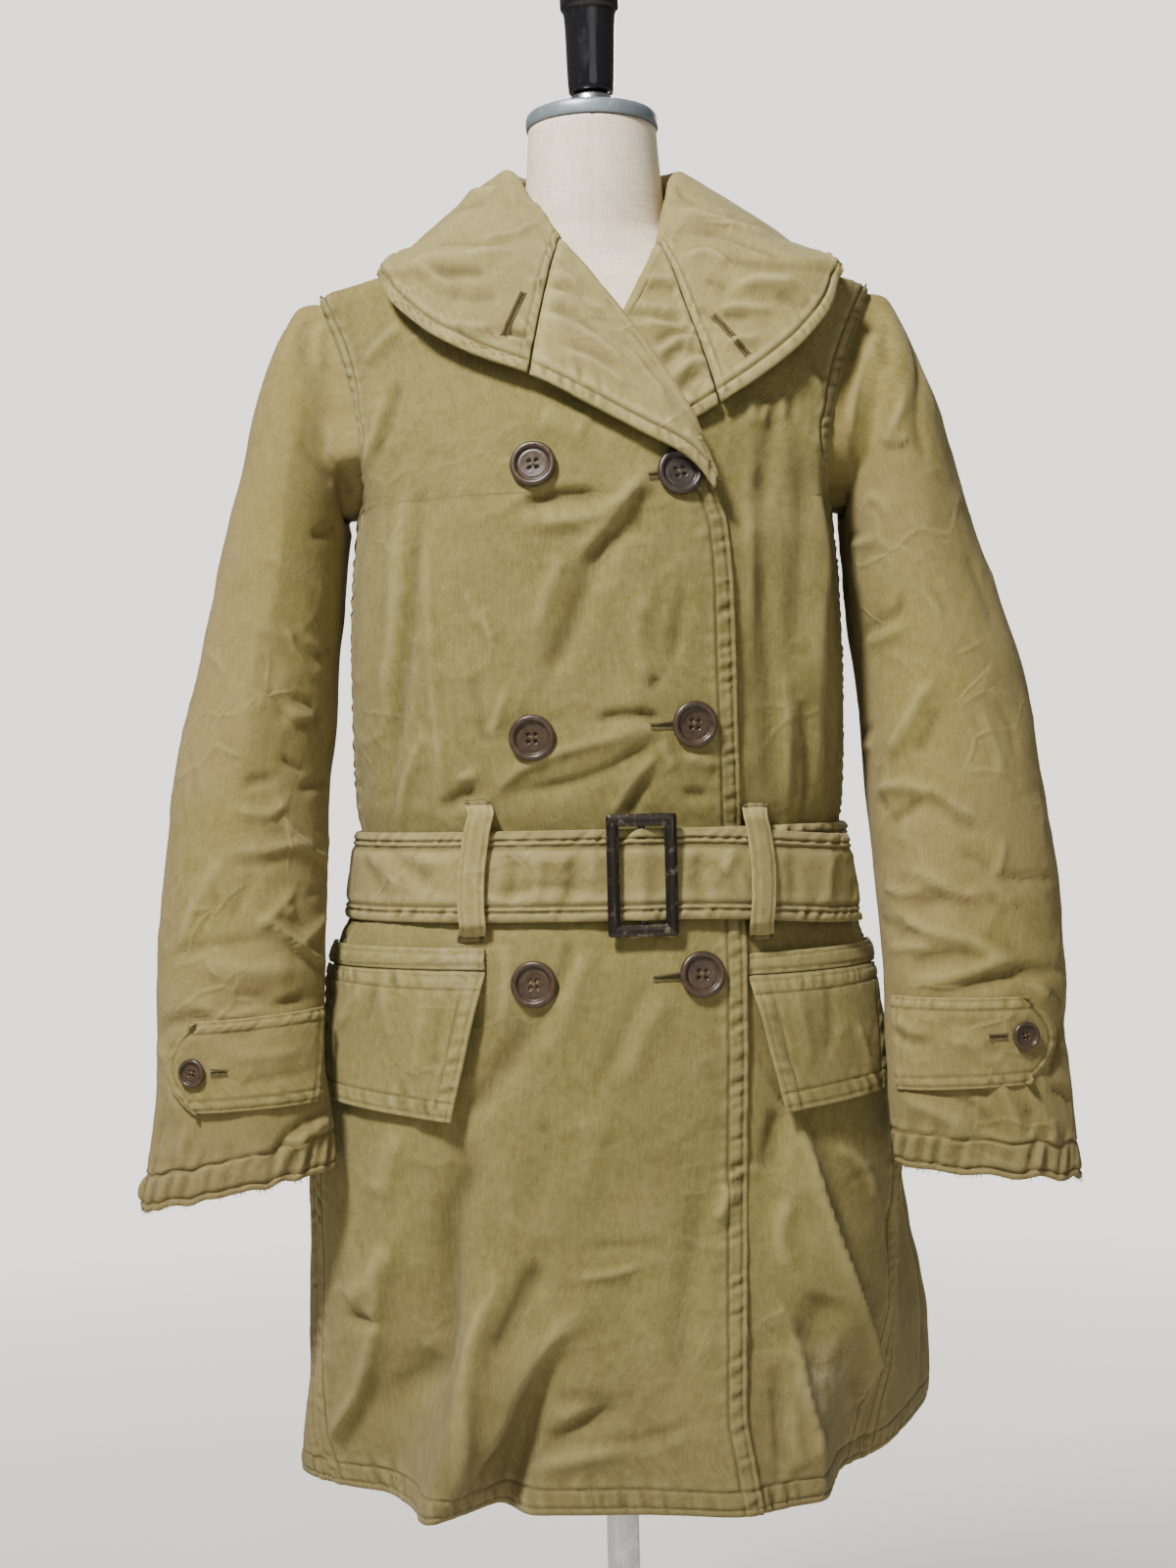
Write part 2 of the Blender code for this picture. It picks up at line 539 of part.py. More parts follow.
def make_stand(home):
    low_rim = 0.004
    turned("stand_base", [
        (0.0, BASE_CROWN + 0.018), (POLE_RADIUS + 0.010, BASE_CROWN + 0.018),
        (POLE_RADIUS + 0.014, BASE_CROWN + 0.014), (POLE_RADIUS + 0.016, BASE_CROWN),
        (BASE_RADIUS * 0.6, BASE_CROWN - 0.002), (BASE_RADIUS * 0.93, BASE_RIM + 0.003),
        (BASE_RADIUS - 0.001, BASE_RIM), (BASE_RADIUS, BASE_RIM - 0.003),
        (BASE_RADIUS, low_rim), (BASE_RADIUS - 0.003, 0.0), (0.0, 0.0),
    ], "base", home, steps=32)
    foot = BASE_CROWN + 0.018 + SEAM
    turned("stand_pole", [
        (0.0, FORM_LOW - SEAM), (POLE_RADIUS, FORM_LOW - SEAM),
        (POLE_RADIUS, foot), (0.0, foot),
    ], "steel", home, steps=24)
    plate_low = FORM_TOP + SEAM
    plate_high = plate_low + PLATE_HEIGHT + 0.004
    turned("neck_plate", [
        (0.0, plate_high), (STUB_RADIUS + 0.006, plate_high - 0.0006),
        (PLATE_RADIUS - 0.004, plate_high - 0.0036), (PLATE_RADIUS, plate_high - 0.0056),
        (PLATE_RADIUS, plate_low + 0.001), (PLATE_RADIUS - 0.001, plate_low), (0.0, plate_low),
    ], "plate", home, steps=24)
    stub_low = plate_high + SEAM
    stub_high = stub_low + 0.0105
    turned("neck_stub", [
        (0.0, stub_high), (STUB_RADIUS, stub_high), (STUB_RADIUS + 0.001, stub_low + 0.004),
        (STUB_RADIUS + 0.0035, stub_low), (0.0, stub_low),
    ], "steel", home, steps=24)
    grip_low = stub_high + SEAM
    turned("top_handle", [
        (0.0, HANDLE_TOP), (HANDLE_COLLAR * 0.55, HANDLE_TOP - 0.002),
        (HANDLE_COLLAR * 0.86, HANDLE_TOP - 0.008), (HANDLE_COLLAR, HANDLE_TOP - 0.020),
        (HANDLE_COLLAR, 1.5380), (HANDLE_RADIUS + 0.0014, 1.5350),
        (HANDLE_RADIUS, grip_low + 0.003), (HANDLE_RADIUS - 0.002, grip_low), (0.0, grip_low),
    ], "handle", home, steps=24)


def form_point(bearing, z):
    angle = math.radians(bearing)
    side, ahead = math.sin(angle), math.cos(angle)
    wide = look_up(FORM_SECTIONS, "z", "wide", z)
    deep = look_up(FORM_SECTIONS, "z", "front" if ahead > 0 else "back", z)
    power = look_up(FORM_SECTIONS, "z", "power", z)
    flat = math.atan2(wide * side, deep * ahead)
    side, ahead = math.sin(flat), math.cos(flat)
    radius = (abs(side / wide) ** power + abs(ahead / deep) ** power) ** (-1 / power)
    return Vector((radius * side, -radius * ahead, z))


def make_form(home):
    rings, around = 10, 22
    slope = [z for z in column(FORM_SECTIONS, "z") if z > 1.26]
    heights = [lerp(FORM_LOW, 1.265, i / rings) for i in range(rings + 1)] + slope
    bm = bmesh.new()
    loops = []
    for z in heights:
        loops.append([bm.verts.new(form_point(360.0 * i / around, z)) for i in range(around)])
    for lower, upper in zip(loops, loops[1:]):
        for i in range(around):
            j = (i + 1) % around
            bm.faces.new((lower[i], lower[j], upper[j], upper[i]))
    bm.faces.new(list(reversed(loops[0])))
    bm.faces.new(loops[-1])
    mesh = bpy.data.meshes.new("form_torso")
    bm.to_mesh(mesh)
    bm.free()
    add_object("form_torso", mesh, "linen", home)


# ---------------------------------------------------------------- panels

def armhole_x(side, part, z):
    """Distance from the middle of the armhole's edge, scaled to the left side's tip."""
    x = look_up(ARMHOLE, "z", part, z)
    if side > 0:
        tip_right, tip_left = column(COAT_SECTIONS, "right"), column(COAT_SECTIONS, "left")
        at = column(COAT_SECTIONS, "z").index(SHOULDER_Z)
        low = column(COAT_SECTIONS, "z").index(ARMPIT_Z)
        high_share = (z - ARMPIT_Z) / (SHOULDER_Z - ARMPIT_Z)
        x -= lerp(tip_right[low] - tip_left[low], tip_right[at] - tip_left[at], high_share)
    return x


def armhole_bearing(side, part, z):
    """Bearing of the armhole's edge; it meets the shoulder seam at the side."""
    if z >= SHOULDER_Z - 1e-6:
        return side * 90.0
    limit = 0.9985 * look_up(COAT_SECTIONS, "z", "left" if side > 0 else "right", z)
    return bearing_at(side * min(armhole_x(side, part, z), limit), z, part == "back")


def side_seam(side, z):
    low, high = SIDE_SEAM_LEFT if side > 0 else SIDE_SEAM_RIGHT
    return lerp(low, high, (z - HEM_Z) / (ARMPIT_Z - HEM_Z))


def upper_height(share):
    """Height up the armhole of an even share of its rows."""
    return lerp(ARMPIT_Z, SHOULDER_Z, share)


def armhole_edge(side, part, share):
    """Bearing and height of the armhole's edge at a share from armpit to shoulder."""
    z = upper_height(share)
    if share <= 0:
        return side_seam(side, ARMPIT_Z), ARMPIT_Z
    return armhole_bearing(side, part, z), z


def roll_edge(side, share):
    """The panel's edge under the roll line, up to the shoulder seam's neck end."""
    if side < 0:
        first, last = 0.0, GORGE_RIGHT
    else:
        first, last = LAPEL_LEFT_END + ROLL_BEYOND, GORGE_LEFT
    across, down = side * ROLL_WIDTH * ROLL_SIDE, ROLL_WIDTH * ROLL_DOWN
    if share < ROLL_SHARE:
        station = lerp(first, last, share / ROLL_SHARE)
        reach = min(station, LAPEL_LEFT_END)
        x = look_up(COLLAR, "station", "roll_x", reach)
        z = look_up(COLLAR, "station", "roll_z", reach)
        if station > LAPEL_LEFT_END:
            beyond = (station - LAPEL_LEFT_END) / ROLL_BEYOND
            x = lerp(x, UNDER_FRONT_EDGE, beyond)
            z = lerp(z, ARMPIT_Z, beyond)
        begun = smooth(share / ROLL_START)
        z -= down * begun
        return bearing_at(x + across * begun, z), z
    x = look_up(COLLAR, "station", "roll_x", last) + across
    z = look_up(COLLAR, "station", "roll_z", last) - down
    start = bearing_at(x, z)
    up = (share - ROLL_SHARE) / (1 - ROLL_SHARE)
    return lerp(start, side * 90.0, smooth(up)), lerp(z, NECK_Z, up)


def panel_grid(outer, inner, columns, height, face=coat):
    """Rows of points between two boundaries, each a function of a row's share.

    outer and inner give (bearing, z) for a share from -1 at the hem over 0 at the armpit
    to 1 at the shoulder; height(bearing, z) is the piece's place off the coat's face,
    which face(bearing, z, height) turns into a point.
    """
    shares = [-1 + i / ROWS_BELOW for i in range(ROWS_BELOW)]
    shares += [i / ROWS_ABOVE for i in range(ROWS_ABOVE + 1)]
    grid = []
    for share in shares:
        (b0, z0), (b1, z1) = outer(share), inner(share)
        a0, a1 = even_share(b0, z0), even_share(b1, z1)
        row = []
        for i in range(columns + 1):
            t = i / columns
            z = lerp(z0, z1, t)
            bearing = even_bearing(lerp(a0, a1, t), z)
            if share < 0:
                z = lerp(ARMPIT_Z, hem_z(bearing), -share)
            row.append(face(bearing, z, height(bearing, z)))
        grid.append(row)
    return trim(grid, SEAM)


SHOULDER_GAP = 4.4      # share of SEAM at the shoulders, where the two walls lean together


def trim(grid, amount):
    """Pulls a sheet's four edges in by amount, to leave the seam's gap."""
    def pull(edge, inner):
        step = inner - edge
        return edge + step.normalized() * min(amount, step.length * 0.4)

    for row in grid:
        row[0], row[-1] = pull(row[0], row[1]), pull(row[-1], row[-2])
    amount *= SHOULDER_GAP
    grid[-1] = [pull(edge, inner) for edge, inner in zip(grid[-1], grid[-2])]
    return grid


def under_height(bearing, z):
    """The wearer's left front lies behind the other one, and deeper under its lapel."""
    lapped = between(UNDER_BEARINGS, bearing)
    deep = between(LAPEL_LOW, z) * between(LAPEL_HIGH, z)
    return -lapped * lerp(LAP_GAP, LAPEL_GAP, deep)


def under_point(bearing, z, lift):
    """The under front's face: low down it hangs plain behind the lapped front's folds."""
    point = coat(bearing, z, lift)
    share = between(SINK_HEIGHTS, z) * between(SINK_BEARINGS, bearing)
    if share <= 0:
        return point
    radius = coat_radius(bearing, z) - UNDER_SINK * between(DEEP_HEIGHTS, z)
    angle = math.radians(bearing)
    plain = Vector((radius * math.sin(angle), -radius * math.cos(angle), z))
    return point.lerp(plain, share)


def flat_height(bearing, z):
    return 0.0


def make_panels(home):
    def right_outer(share):
        if share < 0:
            z = lerp(ARMPIT_Z, HEM_Z, -share)
            return side_seam(-1, z), z
        return armhole_edge(-1, "front", share)

    def right_inner(share):
        if share < 0:
            z = lerp(ARMPIT_Z, HEM_Z, -share)
            return bearing_at(look_up(FRONT_EDGE, "z", "x", z), z), z
        return roll_edge(-1, share)

    def left_outer(share):
        if share < 0:
            z = lerp(ARMPIT_Z, HEM_Z, -share)
            return side_seam(1, z), z
        return armhole_edge(1, "front", share)

    def left_inner(share):
        if share < 0:
            z = lerp(ARMPIT_Z, HEM_Z, -share)
            return bearing_at(UNDER_FRONT_EDGE, z), z
        return roll_edge(1, share)

    grid = panel_grid(right_outer, right_inner, COLUMNS_RIGHT_FRONT, flat_height)
    cloth("front_right", grid, "cloth", home)
    grid = panel_grid(left_outer, left_inner, COLUMNS_LEFT_FRONT, under_height, under_point)
    cloth("front_left", [list(reversed(row)) for row in grid], "cloth", home)

    def back_edge(side, share):
        if share < 0:
            z = lerp(ARMPIT_Z, HEM_Z, -share)
            return side_seam(side, z), z
        return armhole_edge(side, "back", share)

    grid = back_grid(back_edge)
    cloth("coat_back", grid, "cloth", home)


def back_grid(back_edge):
    """The back runs from the left seam round behind to the right one, and its upper
    rows turn up into the two shoulder seams and the back of the neck."""
    shares = [-1 + i / ROWS_BELOW for i in range(ROWS_BELOW)]
    shares += [i / ROWS_ABOVE for i in range(ROWS_ABOVE + 1)]
    half = COLUMNS_BACK // 2
    grid = []
    for share in shares:
        row = []
        middle_z = lerp(ARMPIT_Z, NECK_Z - 0.002, max(share, 0.0))
        for i in range(COLUMNS_BACK + 1):
            side = 1 if i <= half else -1
            t = i / half if side > 0 else (COLUMNS_BACK - i) / half
            bearing, z = back_edge(side, share)
            start = even_share(bearing, z)
            if side < 0:
                start += 360.0
            flat = lerp(start, 180.0, neck_share(t, share))
            height = lerp(z, middle_z, t ** 0.8 if share > 0 else t)
            bearing = even_bearing(flat, height)
            if share < 0:
                height = lerp(ARMPIT_Z, hem_z(bearing), -share)
            row.append(coat(bearing, height))
        grid.append(row)
    return trim(grid, SEAM)


def neck_share(t, share):
    """On the top rows the columns keep to the shoulder seam before they turn behind."""
    if share <= 0:
        return t
    bent = max(t - SHOULDER_SHARE, 0.0) / (1 - SHOULDER_SHARE)
    return lerp(t, bent, between(SHOULDER_ROWS, share))


# ---------------------------------------------------------------- sleeves

def sleeve_rings(table, side):
    """Rings of points from the armhole down to the cuff."""
    turns = 2 * ROWS_ABOVE
    last = column(table, "ring")[-1]
    armhole = []
    for k in range(turns):
        part = "front" if k <= ROWS_ABOVE else "back"
        share = abs(1 - k / ROWS_ABOVE)
        if k in (0, ROWS_ABOVE):
            share = 1.0 if k == 0 else 0.0
        bearing, z = armhole_edge(side, part, share)
        armhole.append(coat(bearing, z, ARMHOLE_GAP))
    middle = sum(armhole, Vector()) / turns
    rings = [[point + Vector((side * ARMHOLE_GAP, 0, 0)) for point in armhole]]
    for r in range(1, SLEEVE_RINGS + 1):
        ring = last * (r / SLEEVE_RINGS) ** 1.12
        value = {name: look_up(table, "ring", name, ring) for name in table["columns"][1:]}
        outer = Vector((value["outer_x"], value["mid_y"], value["outer_z"]))
        inner = Vector((value["inner_x"], value["mid_y"], value["inner_z"]))
        centre, arm = (outer + inner) / 2, (outer - inner) / 2
        share = smooth(ring / SLEEVE_BLEND)
        row = []
        for k in range(turns):
            angle = 2 * math.pi * k / turns
            oval = centre + arm * math.cos(angle)
            oval += Vector((0, -value["half_y"] * math.sin(angle), 0))
            point = (armhole[k] + centre - middle).lerp(oval, share)
            if point.z < ARMPIT_Z + 0.002:
                point = settle(point, sleeve_clearance(point))
            row.append(point)
        rings.append(row)
    return rings


SLEEVE_CLEAR, BELT_CLEAR = 0.0012, 0.0100   # off the panels, and off belt and flaps
BELT_CLEAR_HEIGHTS = (1.05, 0.97)


def sleeve_clearance(point):
    """Clear of the panel near the armpit, and of flaps and belt lower down."""
    return lerp(SLEEVE_CLEAR, BELT_CLEAR, between(BELT_CLEAR_HEIGHTS, point.z))


def make_sleeves(home):
    for name, table, side in (("sleeve_right", SLEEVE_RIGHT, -1),
                              ("sleeve_left", SLEEVE_LEFT, 1)):
        rings = sleeve_rings(table, side)
        if side < 0:
            rings = [list(reversed(ring)) for ring in rings]
        cloth(name, rings, "sleeve", home, closed=True)


# ---------------------------------------------------------------- collar and lapels

FALL_STEPS = 5
LAPEL_RADIUS, COLLAR_RADIUS = 0.0026, 0.0050    # outer radius of the rolled fold
LAPEL_HEIGHT = 0.0052                           # top of a lapel's fold over its panel
LAPEL_FOOT = (0.0012, 0.0076)                   # where its inner edge ends, in and down
LAPEL_HUMP, COLLAR_HUMP = 0.0015, 0.0040        # how far the fall's middle swells
UPRIGHT_STANDS = (0.005, 0.025)     # a stand lower than this lies flat, a higher one stands
FIRM_HEIGHTS = (1.355, 1.305)       # in front the fall comes to lie on the coat by these
FALL_CLEAR = 0.0012


def collar_section(station):
    """Points across the collar: up its stand, over the roll and down the fall."""
    value = {name: look_up(COLLAR, "station", name, station)
             for name in COLLAR["columns"][1:]}
    upright = between(UPRIGHT_STANDS, value["stand"])

    def ground(point):
        if station < (GORGE_RIGHT + GORGE_LEFT) / 2:
            return 0.0
        bearing = math.degrees(math.atan2(point.x, -point.y))
        return under_height(bearing, point.z)

    free = Vector((value["roll_x"], value["roll_y"], value["roll_z"]))
    roll_z = min(value["roll_z"], NECK_Z - 0.004)
    bearing = bearing_at(value["roll_x"], roll_z)
    facing = skin_normal(bearing, roll_z)
    lying = coat(bearing, roll_z, ground(free))
    roll = lying.lerp(free, upright)
    lift_way = facing.lerp(Vector((0, 0, 1)), upright).normalized()
    edge = Vector((value["edge_x"], value["edge_y"], value["edge_z"]))
    side_way = edge - roll
    side_way = (side_way - lift_way * side_way.dot(lift_way)).normalized()
    top = roll + lift_way * lerp(LAPEL_HEIGHT, 0.0, upright)
    radius = lerp(LAPEL_RADIUS, COLLAR_RADIUS, upright)
    foot_in = lerp(LAPEL_FOOT[0], 0.0, upright)
    foot_down = lerp(LAPEL_FOOT[1], value["stand"], upright)
    row = [top + side_way * foot_in - lift_way * foot_down]
    for degrees in (180, 135, 90):
        angle = math.radians(degrees)
        row.append(top + side_way * radius * (1 + math.cos(angle))
                   + lift_way * radius * (math.sin(angle) - 1))
    begin = row[-1]
    for k in range(1, FALL_STEPS + 1):
        t = k / FALL_STEPS
        point = begin.lerp(edge, t)
        hump = math.sin(math.pi * t) * lerp(LAPEL_HUMP, COLLAR_HUMP, upright)
        point += lift_way * hump
        firm = between(FIRM_HEIGHTS, point.z) if point.y < 0 else 0.0
        need = WALL + FALL_CLEAR + hump + ground(point) + value["lift"] * t ** 1.5
        row.append(settle(point, need, firm))
    return row


def collar_rows(first, last, count):
    """Sections from one station to another."""
    return [collar_section(lerp(first, last, i / count)) for i in range(count + 1)]


def make_collar(home):
    pieces = (("lapel_right", 0.15, GORGE_RIGHT - 0.012, 10),
              ("collar", GORGE_RIGHT + 0.012, GORGE_LEFT - 0.012, 30),
              ("lapel_left", GORGE_LEFT + 0.012, LAPEL_LEFT_END - 0.1, 6))
    for name, first, last, count in pieces:
        rows = collar_rows(first, last, count)
        cloth(name, rows, "collar", home)


# ---------------------------------------------------------------- pockets

POCKET_FLAPS = {
    "columns": ("name", "side", "near_top", "near_low", "far_top", "far_low",
                "top_z", "near_low_z", "far_low_z"),
    "rows": (
        ("flap_right", -1, -0.0850, -0.1075, -0.2010, -0.1990, 0.8450, 0.7440, 0.7540),
        ("flap_left", 1, 0.0925, 0.1135, 0.1870, 0.1890, 0.8380, 0.7450, 0.7530),
    ),
}
FLAP_LIFT_TOP, FLAP_LIFT_LOW, FLAP_CURL = 0.0044, 0.0085, 0.006
WELT_HEIGHT, WELT_LIFT = 0.0150, 0.0044


def patch(corners, columns, rows, lift):
    """Points over the coat between (x, z) corners, in even steps round the section;
    lift is a function of the share from the near end, the share up, and the place."""
    low_near, low_far, top_near, top_far = corners
    grid = []
    for j in range(rows + 1):
        v = j / rows
        near_x, near_z = (lerp(low_near[k], top_near[k], v) for k in (0, 1))
        far_x, far_z = (lerp(low_far[k], top_far[k], v) for k in (0, 1))
        near = even_share(bearing_at(near_x, near_z), near_z)
        far = even_share(bearing_at(far_x, far_z), far_z)
        row = []
        for i in range(columns + 1):
            u = i / columns
            z = lerp(near_z, far_z, u)
            bearing = even_bearing(lerp(near, far, u), z)
            row.append(coat(bearing, z, lift(u, v, bearing, z)))
        grid.append(row)
    return grid


def make_pockets(home):
    for row in POCKET_FLAPS["rows"]:
        flap = dict(zip(POCKET_FLAPS["columns"], row))
        side = flap["side"]

        def under(bearing, z):
            return under_height(bearing, z) if side > 0 else 0.0

        def flap_lift(u, v, bearing, z):
            curl = FLAP_CURL * (1 - u) ** 4 * smooth((1 - v) * 3)
            return under(bearing, z) + lerp(FLAP_LIFT_LOW, FLAP_LIFT_TOP, v ** 0.7) + curl

        corners = ((flap["near_low"], flap["near_low_z"]), (flap["far_low"], flap["far_low_z"]),
                   (flap["near_top"], flap["top_z"]), (flap["far_top"], flap["top_z"]))
        grid = patch(corners, 8, 5, flap_lift)
        if side < 0:
            grid = [list(reversed(line)) for line in grid]
        cloth(flap["name"], grid, "cloth", home, wall=STRAP_WALL)

        def welt_lift(u, v, bearing, z):
            return under(bearing, z) + WELT_LIFT

        low = flap["top_z"] + SEAM * 1.4
        corners = ((flap["near_top"], low), (flap["far_top"], low),
                   (flap["near_top"], low + WELT_HEIGHT), (flap["far_top"], low + WELT_HEIGHT))
        grid = patch(corners, 8, 2, welt_lift)
        if side < 0:
            grid = [list(reversed(line)) for line in grid]
        cloth(flap["name"].replace("flap", "welt"), grid, "cloth", home, wall=STRAP_WALL)


# ---------------------------------------------------------------- belt and buckle

def belt_lift(turned_by, x):
    """Height of the belt's outer face: it starts under its own end, and in the buckle
    it rises over the centre bar."""
    lift = lerp(BELT_UNDER_LIFT, BELT_OVER_LIFT, between(BELT_RISING, turned_by))
    if turned_by > BELT_BUCKLE_TURN:
        lift += BUCKLE_RISE * math.exp(-((x - BUCKLE_X) / BUCKLE_RISE_WIDTH) ** 2)
    return lift


def belt_plane(bearing, z, lift=0.0):
    """A point lift away from the flat band that hugs the waist between the belt's two
    edges, and the band's outward unit normal."""
    low, high = skin(bearing, BELT_LOW), skin(bearing, BELT_HIGH)
    point = low.lerp(high, (z - BELT_LOW) / (BELT_HIGH - BELT_LOW))
    step = 1.0
    across = skin(bearing + step, BELT_HIGH) - skin(bearing - step, BELT_HIGH)
    normal = across.cross(high - low).normalized()
    return point + normal * lift, normal


def make_belt(home):
    whole = 360.0 + BELT_TAIL_BEARING - BELT_START_BEARING
    count = 66
    first, last, fine_count = 356.0, 384.0, 20      # bearings that lie in the buckle
    turns = [whole * i / count for i in range(count + 1)]
    turns = [t for t in turns if not first - 2 < t + BELT_START_BEARING < last + 2]
    turns += [lerp(first, last, i / fine_count) - BELT_START_BEARING
              for i in range(fine_count + 1)]
    turns.sort()
    grid = [[], []]
    for turned_by in turns:
        bearing = BELT_START_BEARING + turned_by
        flat = math.degrees(math.atan2(math.sin(math.radians(bearing)),
                                       math.cos(math.radians(bearing))))
        end = between((whole - BELT_TAIL_TURN, whole), turned_by)
        x = skin(flat, (BELT_LOW + BELT_HIGH) / 2).x
        slope = BELT_TAIL_DROP * smooth((x + 0.02) / 0.2) * (1 if abs(flat) < 90 else 0)
        for row, z in zip(grid, (BELT_LOW, BELT_HIGH)):
            lift = belt_lift(turned_by, x) + BELT_TAIL_LIFT * end ** 2
            point, _ = belt_plane(flat, z, lift)
            point.z -= slope * end
            row.append(point)
    cloth("belt", grid, "belt", home, wall=STRAP_WALL)


def make_buckle(home, tools):
    bearing = bearing_at(BUCKLE_X, BUCKLE_Z)
    place, normal = belt_plane(bearing, BUCKLE_Z, BUCKLE_LIFT + BUCKLE_THICK / 2)
    turn = math.atan2(normal.x, -normal.y)
    along = Vector((math.cos(turn), math.sin(turn), 0))
    facing = Matrix((along, -normal, along.cross(-normal))).transposed().to_quaternion()
    frame = box("buckle", (BUCKLE_WIDTH, BUCKLE_THICK, BUCKLE_HEIGHT), place, facing,
                "buckle", home)
    wide, tall = (size - 2 * BUCKLE_BAR for size in (BUCKLE_WIDTH, BUCKLE_HEIGHT))
    window = box("window", (wide, BUCKLE_THICK * 3, tall), place, facing, "buckle", tools)
    combine(frame, window, "DIFFERENCE")
    set_back = (BUCKLE_THICK - CENTRE_BAR_THICK) / 2 - 0.0002
    bar = box("centre_bar", (CENTRE_BAR_WIDTH, CENTRE_BAR_THICK, tall + BUCKLE_BAR),
              place - normal * set_back, facing, "buckle", tools)
    combine(frame, bar, "UNION")
    bevel = frame.modifiers.new("edges", "BEVEL")
    bevel.width = 0.0005
    bevel.segments = 1
    bevel.limit_method = "ANGLE"


def box(name, size, place, facing, slot, home):
    bm = bmesh.new()
    bmesh.ops.create_cube(bm, size=1.0)
    bmesh.ops.scale(bm, vec=size, verts=bm.verts)
    mesh = bpy.data.meshes.new(name)
    bm.to_mesh(mesh)
    bm.free()
    thing = add_object(name, mesh, slot, home)
    mesh.shade_flat()
    stand_at(thing, place, facing)
    return thing


def stand_at(thing, place, facing):
    thing.location = place
    thing.rotation_mode = "QUATERNION"
    thing.rotation_quaternion = facing


def combine(thing, other, operation):
    """Cuts the other solid out of a thing, or joins it on."""
    other.hide_render = True
    other.display_type = "WIRE"
    change = thing.modifiers.new(operation.lower(), "BOOLEAN")
    change.operation = operation
    change.object = other


LOOPS = {
    "columns": ("name", "top_x", "low_x", "top_z", "low_z", "width"),
    "rows": (("belt_loop_right", -0.0890, -0.0957, 0.9625, 0.8630, 0.0195),
             ("belt_loop_left", 0.1020, 0.1045, 0.9560, 0.8600, 0.0180)),
}
LOOP_LIFT, LOOP_WALL = 0.0148, 0.0019


def make_loops(home):
    steps = 14
    rising_steps = 1.9      # steps over which an end of the loop leaves the coat
    for name, top_x, low_x, top_z, low_z, width in LOOPS["rows"]:
        grid = []
        for j in range(steps + 1):
            v = j / steps
            z = lerp(low_z, top_z, v)
            x = lerp(low_x, top_x, v)
            rise = smooth(min(v, 1 - v) * steps / rising_steps)
            row = []
            for edge in (-0.5, 0.5):
                at = x + edge * width
                bearing = bearing_at(at, z)
                sunk = under_height(bearing, z) if x > 0 else 0.0
                face = coat(bearing, z, sunk + LOOP_WALL + SEAM * 2)
                _, normal = belt_plane(bearing, z)
                arch, _ = belt_plane(bearing_at(at - normal.x * LOOP_LIFT, z), z, LOOP_LIFT)
                row.append(face.lerp(arch, rise))
            grid.append(row)
        cloth(name, grid, "belt", home, wall=LOOP_WALL)


# ---------------------------------------------------------------- cuff tabs and buttons

CUFF_TABS = {
    "columns": ("name", "sleeve", "inner_x", "round_x", "inner_high", "inner_low",
                "round_high", "round_low"),
    "rows": (("cuff_tab_right", -1, -0.2035, -0.3045, 0.8190, 0.7570, 0.8120, 0.7520),
             ("cuff_tab_left", 1, 0.1955, 0.3005, 0.8185, 0.7560, 0.8185, 0.7610)),
}
CUFF_BUTTONS = {
    "columns": ("name", "side", "x", "z"),
    "rows": (("cuff_button_right", -1, -0.2842, 0.780),
             ("cuff_button_left", 1, 0.2772, 0.793)),
}


def sleeve_front(table, x, z):
    """The sleeve's front face at x and z, from its rings, and its outward normal."""
    def face(x, z):
        low, high = 4.0, column(table, "ring")[-1]
        for _ in range(30):
            ring = (low + high) / 2
            mid_z = slant_z(table, ring, x)
            if mid_z > z:
                low = ring
            else:
                high = ring
        outer_x = look_up(table, "ring", "outer_x", low)
        inner_x = look_up(table, "ring", "inner_x", low)
        half_y = look_up(table, "ring", "half_y", low)
        mid_y = look_up(table, "ring", "mid_y", low)
        along = (x - (outer_x + inner_x) / 2) / ((outer_x - inner_x) / 2)
        along = min(max(along, -0.985), 0.985)
        return Vector((x, mid_y - half_y * math.sqrt(1 - along * along), z))

    step = 0.002
    across = face(x + step, z) - face(x - step, z)
    up = face(x, z + step) - face(x, z - step)
    return face(x, z), across.cross(up).normalized()


def slant_z(table, ring, x):
    outer_x = look_up(table, "ring", "outer_x", ring)
    inner_x = look_up(table, "ring", "inner_x", ring)
    outer_z = look_up(table, "ring", "outer_z", ring)
    inner_z = look_up(table, "ring", "inner_z", ring)
    return lerp(inner_z, outer_z, (x - inner_x) / (outer_x - inner_x))


TAB_LIFT = 0.0042
TAB_ROUND, TAB_ROUND_FROM = 0.020, 0.78     # rounding of a tab's end, and where it begins


def make_tabs(home):
    for row in CUFF_TABS["rows"]:
        tab = dict(zip(CUFF_TABS["columns"], row))
        table = SLEEVE_RIGHT if tab["sleeve"] < 0 else SLEEVE_LEFT
        grid = []
        columns, rows = 9, 4
        for j in range(rows + 1):
            v = j / rows
            line = []
            for i in range(columns + 1):
                u = i / columns
                round_off = TAB_ROUND * between((TAB_ROUND_FROM, 1.0), u) * (2 * v - 1) ** 2
                x = lerp(tab["inner_x"], tab["round_x"], u)
                x -= math.copysign(round_off, x)
                high = lerp(tab["inner_high"], tab["round_high"], u)
                low = lerp(tab["inner_low"], tab["round_low"], u)
                face, normal = sleeve_front(table, x, lerp(low, high, v))
                line.append(face + normal * TAB_LIFT)
            grid.append(line)
        if tab["sleeve"] < 0:
            grid = [list(reversed(line)) for line in grid]
        cloth(tab["name"], grid, "sleeve", home, wall=STRAP_WALL)


